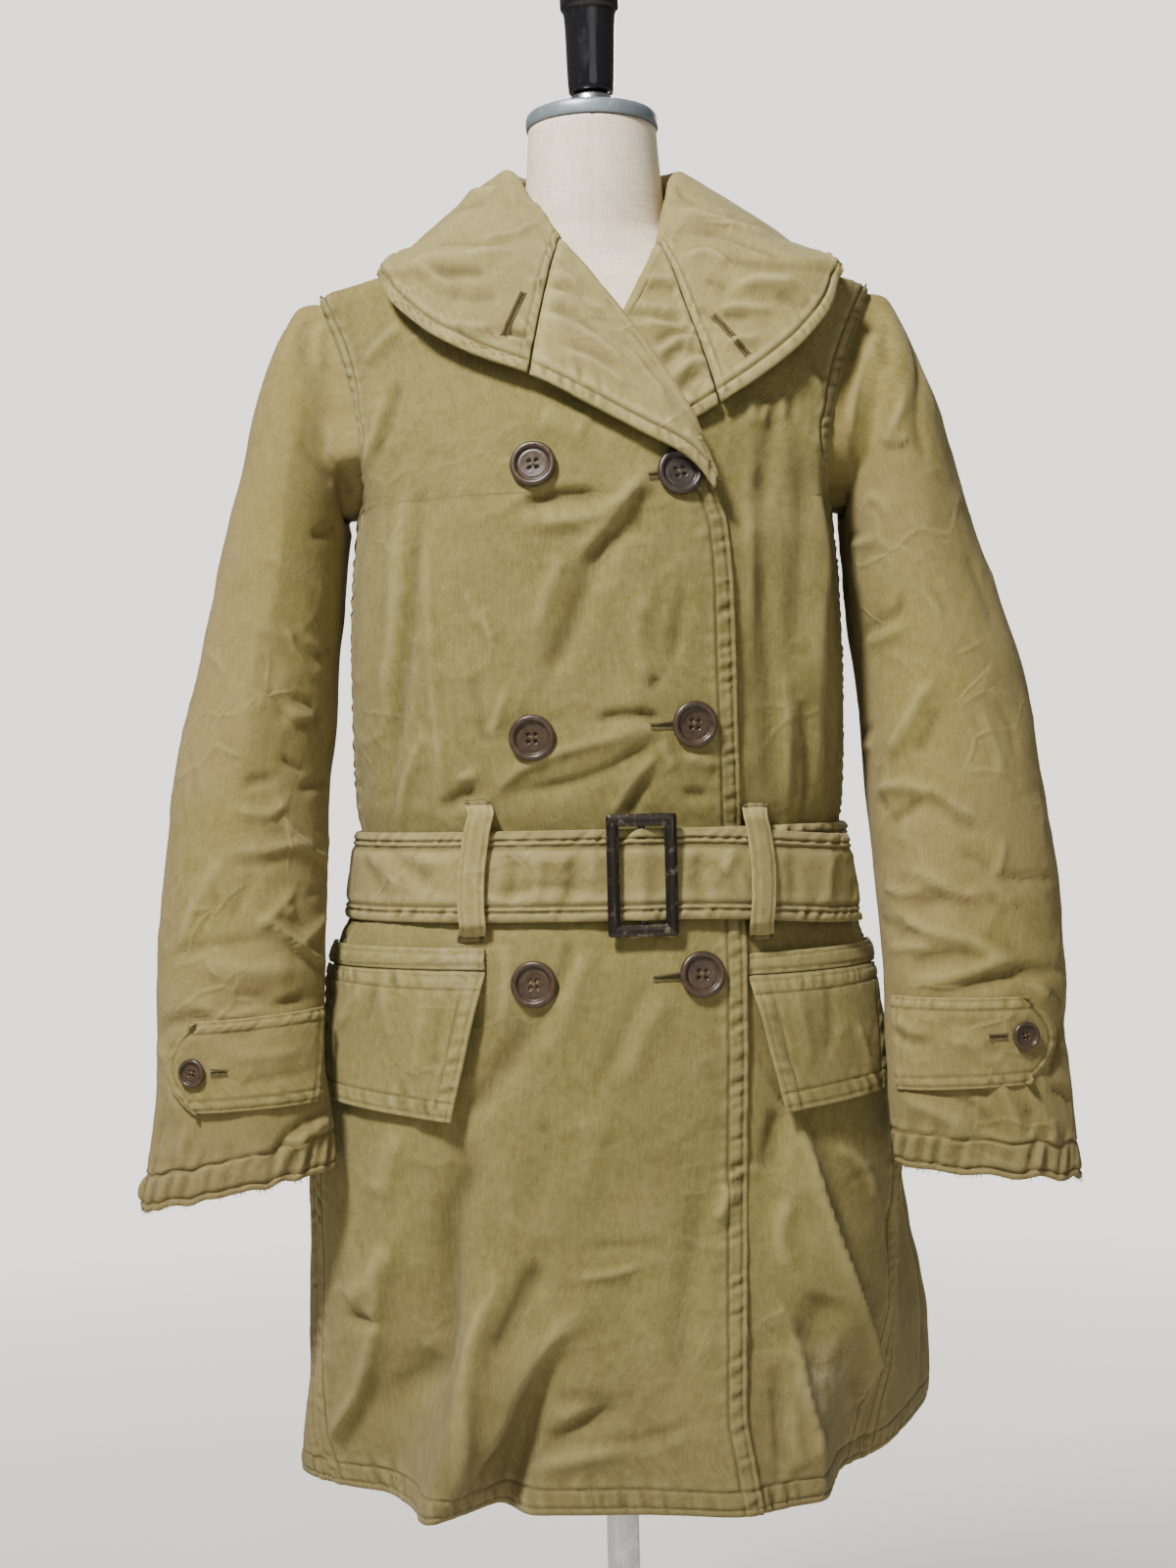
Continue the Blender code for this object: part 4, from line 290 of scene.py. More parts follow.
CREASES["sleeve_right"] = (
    (2.4, 12, 11, 1.28, -207, 1255, -216, 1221, -222, 1188, -224, 1149, -228, 1110,
     -240, 1078, -247, 1035, -251, 997, -256, 954),
    (-2.1, 4.6, 4.6, 1.6, -213, 1221, -204, 1203, -188, 1187),
    (-2.2, 3.8, 3.8, 1.6, -205, 1148, -196, 1152, -188, 1160),
    (2.3, 2.5, 2.5, 1.6, -222, 1084, -217, 1070, -208, 1056),
    (2.2, 2.5, 2.5, 1.6, -212, 1079, -204, 1070, -197, 1069),
    (-2, 2.7, 2.7, 1.6, -204, 1064, -197, 1069, -193, 1069),
    (-2.6, 3.1, 3.4, 1.44, -240, 1041, -230, 1032, -223, 1018),
    (-2.6, 3.1, 3.1, 1.44, -220, 1036, -211, 1033, -204, 1027),
    (3.5, 3.1, 3.1, 1.44, -223, 1026, -214, 1022, -204, 1019),
    (-3.1, 3.4, 3.4, 1.44, -214, 1015, -207, 1017, -200, 1020),
    (-2.7, 3.1, 3.1, 1.44, -225, 992, -218, 988, -211, 983),
    (-3.3, 4.2, 3.4, 1.44, -248, 974, -239, 978, -229, 978),
    (-2.7, 3.1, 3.1, 1.44, -216, 971, -207, 973, -199, 975),
    (3.7, 3.4, 3.4, 1.44, -255, 960, -247, 956, -234, 955, -224, 965),
    (3.5, 3.1, 3.4, 1.28, -226, 957, -219, 939, -208, 927, -202, 920),
    (3.2, 3.1, 3.4, 1.44, -257, 930, -237, 928, -219, 933, -206, 933),
    (-1.8, 3.1, 3.1, 1.6, -258, 920, -240, 920, -222, 922),
    (3.9, 7.2, 8.1, 1.6, -263, 929, -276, 909, -291, 877, -296, 860),
    (-1.8, 4.6, 4.6, 1.6, -243, 915, -253, 898, -260, 880),
    (3.3, 3.8, 3.8, 1.6, -218, 903, -228, 890, -242, 875),
    (3, 3.8, 3.8, 1.6, -225, 887, -218, 888),
    (-1.8, 3.1, 3.1, 1.6, -212, 897, -204, 901, -201, 904),
    (-2.2, 2.5, 2.7, 1.44, -316, 854, -294, 863, -275, 867, -254, 869, -233, 870),
    (5.2, 3.4, 3.8, 1.36, -242, 885, -231, 876, -218, 864, -208, 854, -201, 848),
    (-2.7, 3.4, 3.4, 1.6, -228, 872, -218, 858, -202, 841),
    (4.1, 3.8, 3.8, 1.44, -201, 883, -207, 874, -218, 864),
    (4.9, 8.1, 8.1, 1.6, -281, 854, -251, 849, -218, 846),
    (-3, 3.8, 3.8, 1.44, -261, 830, -245, 832, -234, 830),
    (4.1, 3.8, 3.8, 1.6, -287, 826, -260, 820, -219, 832),
    (-4.3, 3.8, 3.8, 1.28, -318, 802, -306, 812, -284, 819, -257, 823, -226, 826, -202, 826),
    (4.4, 3.1, 4.6, 1.44, -316, 797, -304, 786, -303, 768, -297, 750),
    (-2.7, 3.1, 3.1, 1.6, -300, 805, -304, 783, -303, 764),
    (-3.4, 3.8, 3.1, 1.28, -198, 749, -207, 745, -221, 738, -230, 726, -239, 714),
    (4.9, 4.6, 4.6, 1.44, -197, 743, -208, 736, -219, 724),
    (-2.1, 3.8, 3.8, 1.6, -309, 749, -316, 729, -318, 711),
    (3.7, 3.8, 3.8, 1.6, -289, 743, -296, 724, -292, 713),
    (-2, 3.1, 3.1, 1.6, -265, 732, -259, 720),
    (-2, 3.8, 3.8, 1.6, -208, 1315, -213, 1295, -211, 1274),
    (3, 3.1, 3.1, 1.6, -201, 1309, -202, 1291, -200, 1270),
    (-1.6, 2.6, 2.6, 1.6, -196, 1299, -196, 1283, -190, 1265),
    (-3, 3.8, 5.4, 1.44, -187, 1200, -183, 1191, -179, 1178),
    (2.6, 3.8, 3.8, 1.6, -192, 1232, -187, 1203),
    (2.2, 3.1, 3.1, 1.6, -286, 1075, -269, 1064, -259, 1048),
    (-1.4, 3.1, 3.1, 1.6, -293, 1005, -285, 975, -287, 949))
CREASES["sleeve_left"] = (
    (5.3, 3.8, 4.6, 1.36, 195, 1286, 189, 1264, 182, 1242, 177, 1214),
    (-4, 3.8, 3.8, 1.44, 196, 1247, 190, 1223, 186, 1200, 180, 1183),
    (-2.7, 3.1, 3.1, 1.44, 207, 1299, 204, 1279, 206, 1259),
    (3.1, 3.1, 3.1, 1.44, 201, 1294, 197, 1278, 195, 1263),
    (3.5, 3.8, 3.8, 1.44, 215, 1241, 209, 1222, 203, 1209),
    (-2.7, 2.7, 2.7, 1.44, 198, 1202, 206, 1199, 217, 1203),
    (2.8, 2.6, 2.6, 1.6, 198, 1208, 209, 1206, 218, 1209),
    (-2.9, 4.6, 5.4, 1.6, 225, 1291, 229, 1259, 224, 1218, 229, 1184),
    (2.6, 3.1, 3.1, 1.6, 186, 1159, 190, 1168, 199, 1163, 200, 1150),
    (2.5, 2.7, 2.7, 1.6, 179, 1138, 188, 1138, 200, 1135),
    (-2.2, 3.8, 3.8, 1.6, 178, 1144, 185, 1144),
    (2.5, 2.5, 2.5, 1.44, 221, 1103, 226, 1093, 235, 1079),
    (-1.5, 2.5, 2.5, 1.44, 224, 1103, 233, 1092, 238, 1081),
    (-2.9, 3.8, 3.8, 1.44, 183, 1073, 191, 1080, 204, 1085, 211, 1099),
    (3.5, 3.8, 3.8, 1.44, 185, 1066, 196, 1068, 210, 1076),
    (1.8, 2.5, 2.5, 1.6, 199, 1057, 210, 1048, 220, 1035),
    (1.8, 2.5, 2.5, 1.6, 214, 1055, 224, 1042),
    (5.8, 5.4, 8.1, 1.36, 228, 1038, 218, 1024, 208, 1002, 196, 984),
    (-3.4, 8.1, 5.4, 1.6, 230, 1019, 222, 1001, 212, 985),
    (-2.2, 3.1, 3.1, 1.6, 184, 1003, 190, 1007),
    (3.5, 3.8, 3.8, 1.6, 184, 993, 189, 993),
    (5.3, 4.6, 4.6, 1.36, 190, 961, 201, 965, 214, 964, 222, 965),
    (-4, 4.6, 3.8, 1.36, 196, 936, 206, 946, 217, 956),
    (4.2, 3.1, 3.4, 1.28, 211, 957, 223, 959, 239, 950, 256, 938),
    (-4, 3.8, 3.4, 1.28, 220, 954, 229, 949, 242, 939, 256, 932),
    (-2.7, 3.1, 3.1, 1.44, 191, 956, 196, 947),
    (2.8, 3.1, 3.1, 1.6, 270, 924, 268, 909, 262, 899),
    (-2.2, 3.1, 3.1, 1.44, 241, 918, 254, 910, 262, 903),
    (-2.7, 2.6, 2.6, 1.44, 265, 901, 284, 900, 309, 896),
    (2.8, 2.6, 3.1, 1.44, 259, 895, 269, 888, 279, 877),
    (-1.5, 2.6, 2.6, 1.6, 259, 888, 266, 880, 273, 872),
    (4.6, 4.6, 4.6, 1.36, 205, 908, 223, 899, 243, 889, 259, 892),
    (-4.2, 6.1, 6.1, 1.44, 206, 878, 227, 884, 250, 882),
    (5.7, 4.6, 5.4, 1.28, 197, 881, 213, 868, 241, 859, 261, 848, 274, 837),
    (-2.9, 3.8, 3.8, 1.44, 197, 858, 208, 861, 216, 860),
    (3.5, 3.1, 3.1, 1.44, 195, 851, 207, 852, 220, 851),
    (-4, 5.4, 5.4, 1.44, 205, 836, 220, 845, 252, 846),
    (4.9, 4.6, 4.6, 1.36, 207, 828, 236, 832, 265, 842, 277, 838),
    (3.5, 3.1, 3.1, 1.6, 193, 894, 205, 890, 218, 894),
    (-2.5, 3.1, 3.1, 1.6, 191, 870, 199, 867, 206, 873),
    (-4.9, 4.2, 4.6, 1.28, 224, 824, 255, 830, 280, 835, 314, 833),
    (4.2, 3.1, 3.8, 1.36, 286, 829, 297, 820, 314, 805),
    (-4.4, 3.8, 3.8, 1.36, 297, 824, 314, 802, 314, 786),
    (-4.2, 3.8, 3.8, 1.36, 311, 797, 304, 778, 298, 763),
    (3.5, 3.1, 3.1, 1.44, 259, 764, 270, 744, 275, 720),
    (-3.7, 3.4, 3.4, 1.36, 225, 753, 240, 747, 254, 734, 261, 725),
    (5.3, 6.1, 6.1, 1.44, 199, 749, 222, 740, 242, 727),
    (-3.5, 3.8, 4.6, 1.36, 237, 759, 256, 754),
    (3.1, 3.1, 3.1, 1.44, 279, 755, 289, 741, 301, 721),
    (-3.2, 3.8, 3.8, 1.44, 296, 755, 305, 752, 315, 741),
    (-2.2, 3.1, 3.1, 1.6, 279, 744, 284, 726),
    (-1.5, 3.8, 3.8, 1.6, 266, 1030, 280, 1005, 284, 976),
    (2.2, 3.8, 3.8, 1.6, 259, 1018, 268, 990, 273, 964),
    (-1.7, 5.4, 5.4, 1.6, 255, 1129, 265, 1102, 273, 1074))
CREASES["collar"] = (
    (5.8, 3.4, 4.2, 1.36, -134, 1335, -108, 1338, -81, 1339, -53, 1341),
    (-3.2, 4.2, 4.2, 1.44, -116, 1353, -94, 1354, -71, 1352, -53, 1356),
    (4.8, 3.4, 3.4, 1.44, -80, 1354, -60, 1356, -41, 1365),
    (-4, 5.1, 6, 1.6, -114, 1325, -94, 1327, -74, 1326),
    (-3.6, 6.8, 6.8, 1.6, -104, 1312, -83, 1307, -66, 1307),
    (5.1, 3.4, 3.4, 1.6, -125, 1334, -111, 1322, -94, 1309),
    (-3.2, 5.1, 5.1, 1.6, -115, 1378, -96, 1385, -75, 1385),
    (4.3, 4.2, 4.2, 1.6, -95, 1398, -75, 1396, -56, 1394),
    (5.1, 4.2, 4.2, 1.6, -100, 1286, -83, 1282, -70, 1283),
    (-2.8, 2.9, 2.9, 1.44, -64, 1280, -50, 1278, -44, 1277),
    (4.8, 2.9, 2.9, 1.44, -47, 1316, -38, 1315),
    (-2.8, 2.7, 2.7, 1.44, -66, 1283, -52, 1277, -44, 1278),
    (4.3, 2.7, 2.7, 1.44, -61, 1274, -50, 1270, -46, 1270),
    (-3.6, 5.1, 5.1, 1.6, 64, 1361, 86, 1357, 113, 1345, 137, 1331),
    (5.3, 4.2, 4.2, 1.6, 57, 1377, 79, 1371, 107, 1361, 128, 1357),
    (-4, 5.1, 6, 1.44, 86, 1336, 111, 1331, 138, 1327),
    (5.1, 3.4, 3.4, 1.44, 63, 1337, 77, 1340, 94, 1331),
    (-3.2, 3.4, 3.4, 1.44, 85, 1293, 95, 1291, 106, 1289),
    (5.1, 3.4, 3.4, 1.44, 85, 1298, 102, 1298, 122, 1294),
    (-2.8, 2.9, 2.9, 1.44, 75, 1320, 86, 1315, 93, 1310),
    (5.8, 5.1, 5.1, 1.6, 96, 1314, 116, 1317, 141, 1314),
    (-2.6, 5.1, 5.1, 1.6, 122, 1306, 140, 1299, 150, 1294),
    (-3.2, 3.1, 3.1, 1.44, 70, 1299, 76, 1295, 82, 1286),
    (5.1, 3.4, 3.4, 1.44, 88, 1271, 100, 1275, 112, 1273),
    (-2.4, 3.4, 3.4, 1.6, 58, 1403, 65, 1390, 77, 1382))
CREASES["lapel_right"] = (
    (-4, 3.6, 4.5, 1.36, -34, 1314, -17, 1307, -3, 1296, 9, 1284),
    (5.1, 3.6, 4.5, 1.36, -34, 1308, -12, 1302, 8, 1290),
    (4.3, 3.6, 3.6, 1.36, -35, 1291, -21, 1282, -10, 1277, 8, 1263, 20, 1250),
    (-3, 3.6, 3.6, 1.44, -34, 1296, -13, 1287, 3, 1275),
    (4.1, 3.6, 3.6, 1.36, -27, 1264, -11, 1258, 5, 1248, 22, 1234),
    (-2.9, 3.6, 3.6, 1.44, -21, 1268, -5, 1261, 12, 1248),
    (4.3, 3.2, 3.6, 1.36, -30, 1325, -19, 1319, -10, 1314),
    (-2.4, 3.6, 3.6, 1.6, 13, 1276, 27, 1260, 38, 1244),
    (3.4, 3.6, 3.6, 1.6, 19, 1269, 32, 1248, 45, 1226))
CREASES["lapel_left"] = (
    (-4.4, 3.6, 3.6, 1.36, 17, 1297, 38, 1294, 54, 1289, 64, 1290),
    (5.1, 3.6, 3.6, 1.36, 24, 1300, 41, 1298, 56, 1295),
    (4.9, 3.6, 3.6, 1.36, 30, 1286, 50, 1284, 67, 1282),
    (-3, 3.2, 3.2, 1.44, 39, 1271, 54, 1279, 67, 1279),
    (4.1, 3.2, 3.2, 1.44, 41, 1263, 60, 1275, 69, 1274),
    (-2.5, 3.2, 3.2, 1.44, 44, 1254, 59, 1268, 71, 1265),
    (4.1, 3.6, 3.6, 1.44, 49, 1244, 64, 1259, 73, 1260),
    (-3.1, 4.5, 4.5, 1.44, 51, 1232, 67, 1248, 76, 1248),
    (3.4, 3.2, 3.2, 1.6, 31, 1321, 44, 1321, 56, 1317),
    (-2.4, 3.2, 3.2, 1.6, 35, 1312, 46, 1314, 56, 1310))
CREASES["flap_right"] = (
    (2.5, 6, 6, 1.7, -193, 801, -184, 817, -171, 832),
    (-2.1, 5, 5, 1.7, -172, 805, -167, 821, -162, 835),
    (2.2, 5, 5, 1.7, -159, 840, -155, 818, -150, 797),
    (2.1, 6, 6, 1.7, -130, 820, -132, 801, -137, 772),
    (-2, 5, 5, 1.7, -116, 827, -120, 801, -124, 777))
CREASES["flap_left"] = (
    (2.2, 6, 6, 1.7, 124, 827, 130, 800, 136, 772),
    (-2.2, 6, 6, 1.7, 150, 831, 150, 805, 148, 778),
    (2.7, 4, 4, 1.53, 167, 799, 175, 782, 179, 767),
    (-2, 5, 5, 1.7, 110, 822, 115, 794, 125, 772))
CREASES["cuff_tab_right"] = (
    (-2, 5, 5, 1.7, -272, 803, -256, 804, -237, 805),
    (2, 5, 5, 1.7, -262, 791, -237, 790, -211, 794),
    (-1.7, 4, 4, 1.7, -256, 773, -231, 776, -209, 778),
    (2, 3, 3, 1.7, -274, 782, -266, 780))
CREASES["cuff_tab_left"] = (
    (2.5, 4, 4, 1.53, 195, 803, 202, 796, 213, 794),
    (-2.5, 4, 4, 1.53, 194, 794, 204, 788, 215, 790),
    (-2, 5, 5, 1.7, 219, 801, 238, 801, 252, 803),
    (2, 5, 5, 1.7, 225, 790, 248, 789, 260, 791),
    (-2, 3.4, 3.4, 1.7, 252, 793, 258, 783, 268, 779))
CREASES["belt"] = (
    (3.1, 5, 5, 1.7, -70.7, 925, -60.4, 906, -57.1, 895),
    (-3.1, 5, 5, 1.7, -63.6, 928, -55.4, 914, -47.7, 903),
    (2.9, 4, 4, 1.7, -53.6, 919, -46, 919),
    (-3.8, 5, 5, 1.7, -28.5, 925, -27.5, 906, -29.5, 889),
    (3.2, 5, 5, 1.7, -22.5, 925, -20.6, 908, -21.7, 889),
    (-2.9, 5, 5, 1.7, -11.2, 922, -11.3, 906, -12.3, 888),
    (2.9, 4, 4, 1.7, -5.9, 922, -4.8, 903),
    (-3.2, 5, 5, 1.7, 26.7, 922, 24.7, 903, 26.7, 882),
    (2.9, 4, 4, 1.7, 33.8, 922, 31.5, 905),
    (-2.9, 5, 5, 1.7, 50.1, 920, 50.5, 900, 50.3, 879),
    (3.2, 5, 5, 1.7, 62.7, 919, 60.1, 895, 58.5, 874),
    (-3.2, 4, 4, 1.7, 91.3, 914, 70.3, 892, 65.7, 873),
    (2.3, 4, 5, 1.36, -68, 926, -58, 912, -50, 892),
    (-2.3, 4, 4, 1.53, -74, 920, -66, 904, -60, 886),
    (2.1, 4, 4, 1.53, -28, 928, -20, 920, -10, 918),
    (-2.3, 4, 4, 1.53, -30, 896, -18, 902, -6, 898),
    (2.1, 4, 4, 1.53, 26, 922, 34, 910, 38, 890),
    (-2.1, 4, 4, 1.53, 48, 924, 54, 908, 56, 888),
    (2.3, 5, 4, 1.53, 88, 930, 92, 908, 90, 884),
    (-2.3, 4, 5, 1.53, 98, 928, 104, 906, 106, 886),
    (2.1, 4, 4, 1.53, 118, 928, 122, 904, 120, 888),
    (-2.3, 4, 4, 1.53, 136, 930, 142, 910, 146, 890),
    (2.3, 4, 4, 1.53, 162, 928, 166, 908, 164, 886),
    (-2.1, 4, 4, 1.53, -176, 926, -172, 906, -174, 888),
    (2.3, 4, 5, 1.53, -152, 930, -148, 910, -144, 888),
    (-2.3, 4, 4, 1.53, -128, 928, -124, 908, -126, 888),
    (2.1, 4, 4, 1.53, -104, 926, -100, 906, -96, 890))
CREASES["coat_back"] = (
    (5.7, 9, 10, 1.8, 128, 1150, 124, 1100, 121, 1040, 122, 975),
    (-5.7, 8, 9, 2, 133, 1120, 130, 1060, 128, 1000, 130, 965),
    (4.7, 8, 7, 1.8, 158, 1060, 154, 1020, 152, 970),
    (-5.1, 5, 7, 1.8, 146, 1010, 160, 990, 176, 984),
    (5.7, 6, 5, 1.7, 144, 996, 160, 974, 178, 968, -170, 972),
    (-6.1, 5, 6, 1.8, -174, 1004, -160, 986, -146, 980),
    (5.1, 6, 6, 1.7, -176, 990, -162, 970, -148, 962),
    (5.1, 10, 9, 1.8, -134, 1140, -129, 1080, -126, 1020, -127, 965),
    (-4.7, 8, 8, 2, -140, 1110, -136, 1050, -136, 990),
    (-3.9, 5, 5, 2, 112, 1110, 124, 1090, 138, 1082),
    (3.5, 5, 5, 1.8, 110, 1096, 122, 1076, 134, 1066),
    (-3.9, 5, 5, 2, -110, 1118, -122, 1096, -134, 1090),
    (3.6, 5, 5, 1.8, -108, 1102, -120, 1082, -132, 1074),
    (3.5, 8, 8, 2, 168, 1240, 170, 1190, 172, 1140),
    (-3, 8, 8, 2, -160, 1250, -158, 1190, -160, 1130),
    (3.2, 5, 6, 1.8, 152, 1290, 160, 1262, 172, 1248),
    (-3.2, 5, 5, 2, -150, 1285, -160, 1262, -172, 1252),
    (-6.5, 9, 10, 2, 118, 850, 121, 780, 124, 700, 126, 620, 127, 530),
    (6.9, 7, 12, 1.5, 106, 800, 109, 720, 112, 640, 113, 560, 113, 495),
    (-5.7, 8, 9, 2, 96, 760, 99, 690, 100, 610, 99, 520),
    (6.5, 10, 8, 1.6, 142, 800, 144, 700, 145, 620, 144, 540, 145, 495),
    (-5.7, 9, 9, 2, 155, 860, 154, 780, 153, 690, 154, 600),
    (6.1, 9, 11, 1.6, 168, 790, 166, 700, 165, 610, 165, 500),
    (-6.1, 8, 9, 2, -178, 850, -177, 760, -176, 660, -177, 560),
    (5.7, 8, 10, 1.6, -163, 820, -164, 730, -164, 620, -163, 510),
    (-6.1, 9, 8, 2, -150, 780, -150, 690, -151, 600, -150, 500),
    (6.5, 11, 7, 1.5, -136, 840, -137, 740, -138, 640, -138, 540, -137, 492),
    (-5.7, 8, 8, 2, -120, 820, -121, 720, -122, 620, -121, 530),
    (5.1, 7, 8, 1.7, -106, 740, -108, 660, -109, 580, -108, 495),
    (3.5, 5, 5, 2, 130, 660, 140, 640, 152, 632),
    (-3.2, 4, 4, 2, 158, 590, 166, 584, 175, 588),
    (3.2, 4, 4, 2, -168, 640, -160, 626, -152, 622),
    (-3, 4, 4, 2, -140, 600, -130, 592, -122, 596),
    (-3.5, 4, 5, 2, 112, 545, 122, 536, 132, 538),
    (3, 4, 4, 2, -172, 540, -160, 532, -150, 536),
    (-4.3, 4, 5, 1.8, 148, 866, 150, 850, 149, 832),
    (4.1, 4, 4, 1.8, 162, 868, 163, 846, 161, 828),
    (-4.3, 4, 4, 1.8, 174, 868, 173, 850, 174, 826),
    (3.9, 4, 4, 1.8, -172, 866, -171, 848, -173, 830),
    (-4.1, 4, 4, 1.8, -156, 868, -155, 846, -157, 830),
    (3.9, 4, 4, 1.8, -142, 866, -141, 848, -143, 832),
    (-3.9, 4, 4, 1.8, -126, 864, -127, 842, -126, 826),
    (3.9, 4, 4, 1.8, 136, 866, 137, 848, 135, 830),
    (-3.9, 4, 4, 1.8, 124, 866, 124, 846, 125, 828),
    (3.6, 4, 4, 1.8, 108, 866, 109, 850, 108, 835),
    (-4.1, 4, 4, 1.8, 152, 952, 150, 968, 151, 985),
    (3.9, 4, 4, 1.8, 166, 952, 168, 972, 166, 994),
    (-3.9, 4, 4, 1.8, -178, 952, -179, 970, -177, 988),
    (3.6, 4, 4, 1.8, -164, 952, -165, 972, -163, 990),
    (-3.9, 4, 4, 1.8, -152, 952, -150, 968, -151, 984),
    (3.9, 4, 4, 1.8, -116, 952, -117, 972, -115, 996),
    (3.9, 4, 4, 1.8, 114, 952, 115, 974, 113, 998))
CREASES["sleeve_right_back"] = (
    (4.7, 10, 9, 1.7, -236, 1270, -246, 1210, -256, 1150, -262, 1090, -266, 1030),
    (-4.3, 6, 6, 2, -206, 1250, -222, 1226, -240, 1206),
    (4.1, 5, 5, 1.8, -204, 1225, -222, 1200, -244, 1176),
    (-5.1, 5, 5, 1.8, -206, 1130, -222, 1118, -240, 1114),
    (4.7, 5, 5, 1.7, -208, 1110, -226, 1092, -246, 1082),
    (-6.5, 6, 6, 1.8, -212, 1040, -236, 1022, -262, 1014),
    (6.5, 6, 6, 1.7, -210, 1020, -236, 1000, -266, 990),
    (-6.1, 5, 5, 1.8, -222, 992, -246, 974, -274, 968),
    (5.1, 5, 6, 1.7, -214, 972, -240, 952, -272, 944),
    (-4.3, 5, 5, 2, -216, 930, -240, 918, -262, 918),
    (3.9, 5, 5, 1.8, -220, 910, -250, 894, -280, 892),
    (-3.6, 6, 6, 2, -290, 1060, -298, 1010, -302, 960),
    (3.9, 8, 8, 2, -250, 900, -262, 860, -270, 820),
    (-5.1, 5, 5, 1.8, -226, 838, -252, 830, -286, 834),
    (4.3, 5, 5, 1.8, -230, 752, -246, 738, -262, 726),
    (-4.7, 5, 5, 1.8, -262, 760, -274, 742, -282, 722))
CREASES["sleeve_left_back"] = (
    (4.7, 9, 10, 1.7, 232, 1266, 242, 1206, 250, 1146, 258, 1086, 262, 1030),
    (-4.3, 6, 6, 2, 200, 1244, 218, 1222, 236, 1200),
    (3.9, 5, 5, 1.8, 198, 1220, 216, 1196, 238, 1178),
    (-4.7, 5, 5, 1.8, 200, 1120, 216, 1106, 238, 1102),
    (4.7, 5, 5, 1.7, 202, 1098, 220, 1082, 242, 1070),
    (-6.5, 6, 6, 1.8, 206, 1052, 230, 1036, 256, 1026),
    (6.5, 6, 6, 1.7, 204, 1030, 230, 1010, 260, 1002),
    (-5.7, 5, 5, 1.8, 214, 1002, 240, 986, 268, 978),
    (5.1, 5, 6, 1.7, 208, 980, 234, 962, 264, 952),
    (-4.3, 5, 5, 2, 212, 944, 236, 930, 256, 928),
    (3.9, 5, 5, 1.8, 216, 920, 244, 906, 274, 900),
    (-3.5, 6, 6, 2, 286, 1066, 294, 1016, 298, 964),
    (3.9, 8, 8, 2, 246, 896, 256, 858, 264, 822),
    (-5.1, 5, 5, 1.8, 222, 842, 248, 834, 282, 836),
    (4.3, 5, 5, 1.8, 226, 758, 240, 744, 258, 732),
    (-4.7, 5, 5, 1.8, 258, 766, 270, 748, 278, 728))
CREASES["collar_back"] = (
    (2.2, 6, 6, 1.8, -110, 1350, -80, 1342, -48, 1344),
    (-2.2, 5, 6, 2, -60, 1372, -30, 1362, 4, 1362),
    (2.1, 6, 5, 1.8, 10, 1346, 44, 1340, 78, 1350),
    (-2, 5, 5, 2, 60, 1376, 88, 1362, 112, 1352),
    (1.7, 5, 5, 2, -20, 1392, 8, 1386, 36, 1390))

# ---------------------------------------------------------------- plain mathematics


def curve(xs, ys, x):
    """A smooth curve through the points (xs, ys), straight at its ends."""
    x = np.clip(x, xs[0], xs[-1])
    at = np.clip(np.searchsorted(xs, x, side="right") - 1, 0, len(xs) - 2)
    slopes = np.diff(ys) / np.diff(xs)
    before, after = slopes[:-1], slopes[1:]
    same = before * after > 0
    inner = np.where(same, 2 * before * after / np.where(same, before + after, 1.0), 0.0)
    tangent = np.concatenate(([slopes[0]], inner, [slopes[-1]]))
    span = xs[at + 1] - xs[at]
    t = (x - xs[at]) / span
    return ((1 + 2 * t) * (1 - t) ** 2 * ys[at] + t * (1 - t) ** 2 * span * tangent[at]
            + t * t * (3 - 2 * t) * ys[at + 1] + t * t * (t - 1) * span * tangent[at + 1])


def smooth(t):
    """Rises from 0 at t = 0 to 1 at t = 1, level at both."""
    t = np.clip(t, 0.0, 1.0)
    return t * t * (3 - 2 * t)


def between(limits, x):
    """Rises smoothly from 0 at the first limit to 1 at the second."""
    first, last = limits
    return smooth((x - first) / (last - first))


def lerp(a, b, t):
    """The point at share t on the way from a to b."""
    return a + (b - a) * t


def turn_between(a, b):
    """Degrees from bearing a to bearing b, the short way round."""
    return (b - a + 180.0) % 360.0 - 180.0


def unit(vectors):
    size = np.linalg.norm(vectors, axis=-1, keepdims=True)
    return vectors / np.maximum(size, 1e-12)


def dot(a, b):
    return (a * b).sum(-1)


def waves(points, length, seed, count=22, stretch=(1.0, 1.0, 1.0)):
    """A gentle seeded unevenness of about the given wavelength, from -1 to 1."""
    rng = np.random.default_rng(seed)
    total = np.zeros(points.shape[:-1])
    scaled = points * np.array(stretch)
    for _ in range(count):
        way = rng.normal(size=3)
        way /= np.linalg.norm(way)
        number = 2 * math.pi / (length * rng.uniform(0.65, 1.7))
        total += np.sin(scaled @ way * number + rng.uniform(0, 2 * math.pi))
    return total / math.sqrt(count) * 0.9


def ripple(along, length, seed, count=7):
    """Seeded puckers along a line, from -1 to 1."""
    rng = np.random.default_rng(seed)
    total = np.zeros(along.shape)
    for _ in range(count):
        number = 2 * math.pi / (length * rng.uniform(0.6, 1.8))
        total += np.sin(along * number + rng.uniform(0, 2 * math.pi))
    return total / math.sqrt(count)


# ---------------------------------------------------------------- the coat's face

HALVINGS, SETTLE_ROUNDS = 24, 3     # steps of the searches for a place on the face


def hem_z(bearing):
    """The hem's height, which rises a little at the side."""
    return HEM_Z + curve(HEM_RISE["bearing"], HEM_RISE["rise"], turn_between(0.0, bearing))


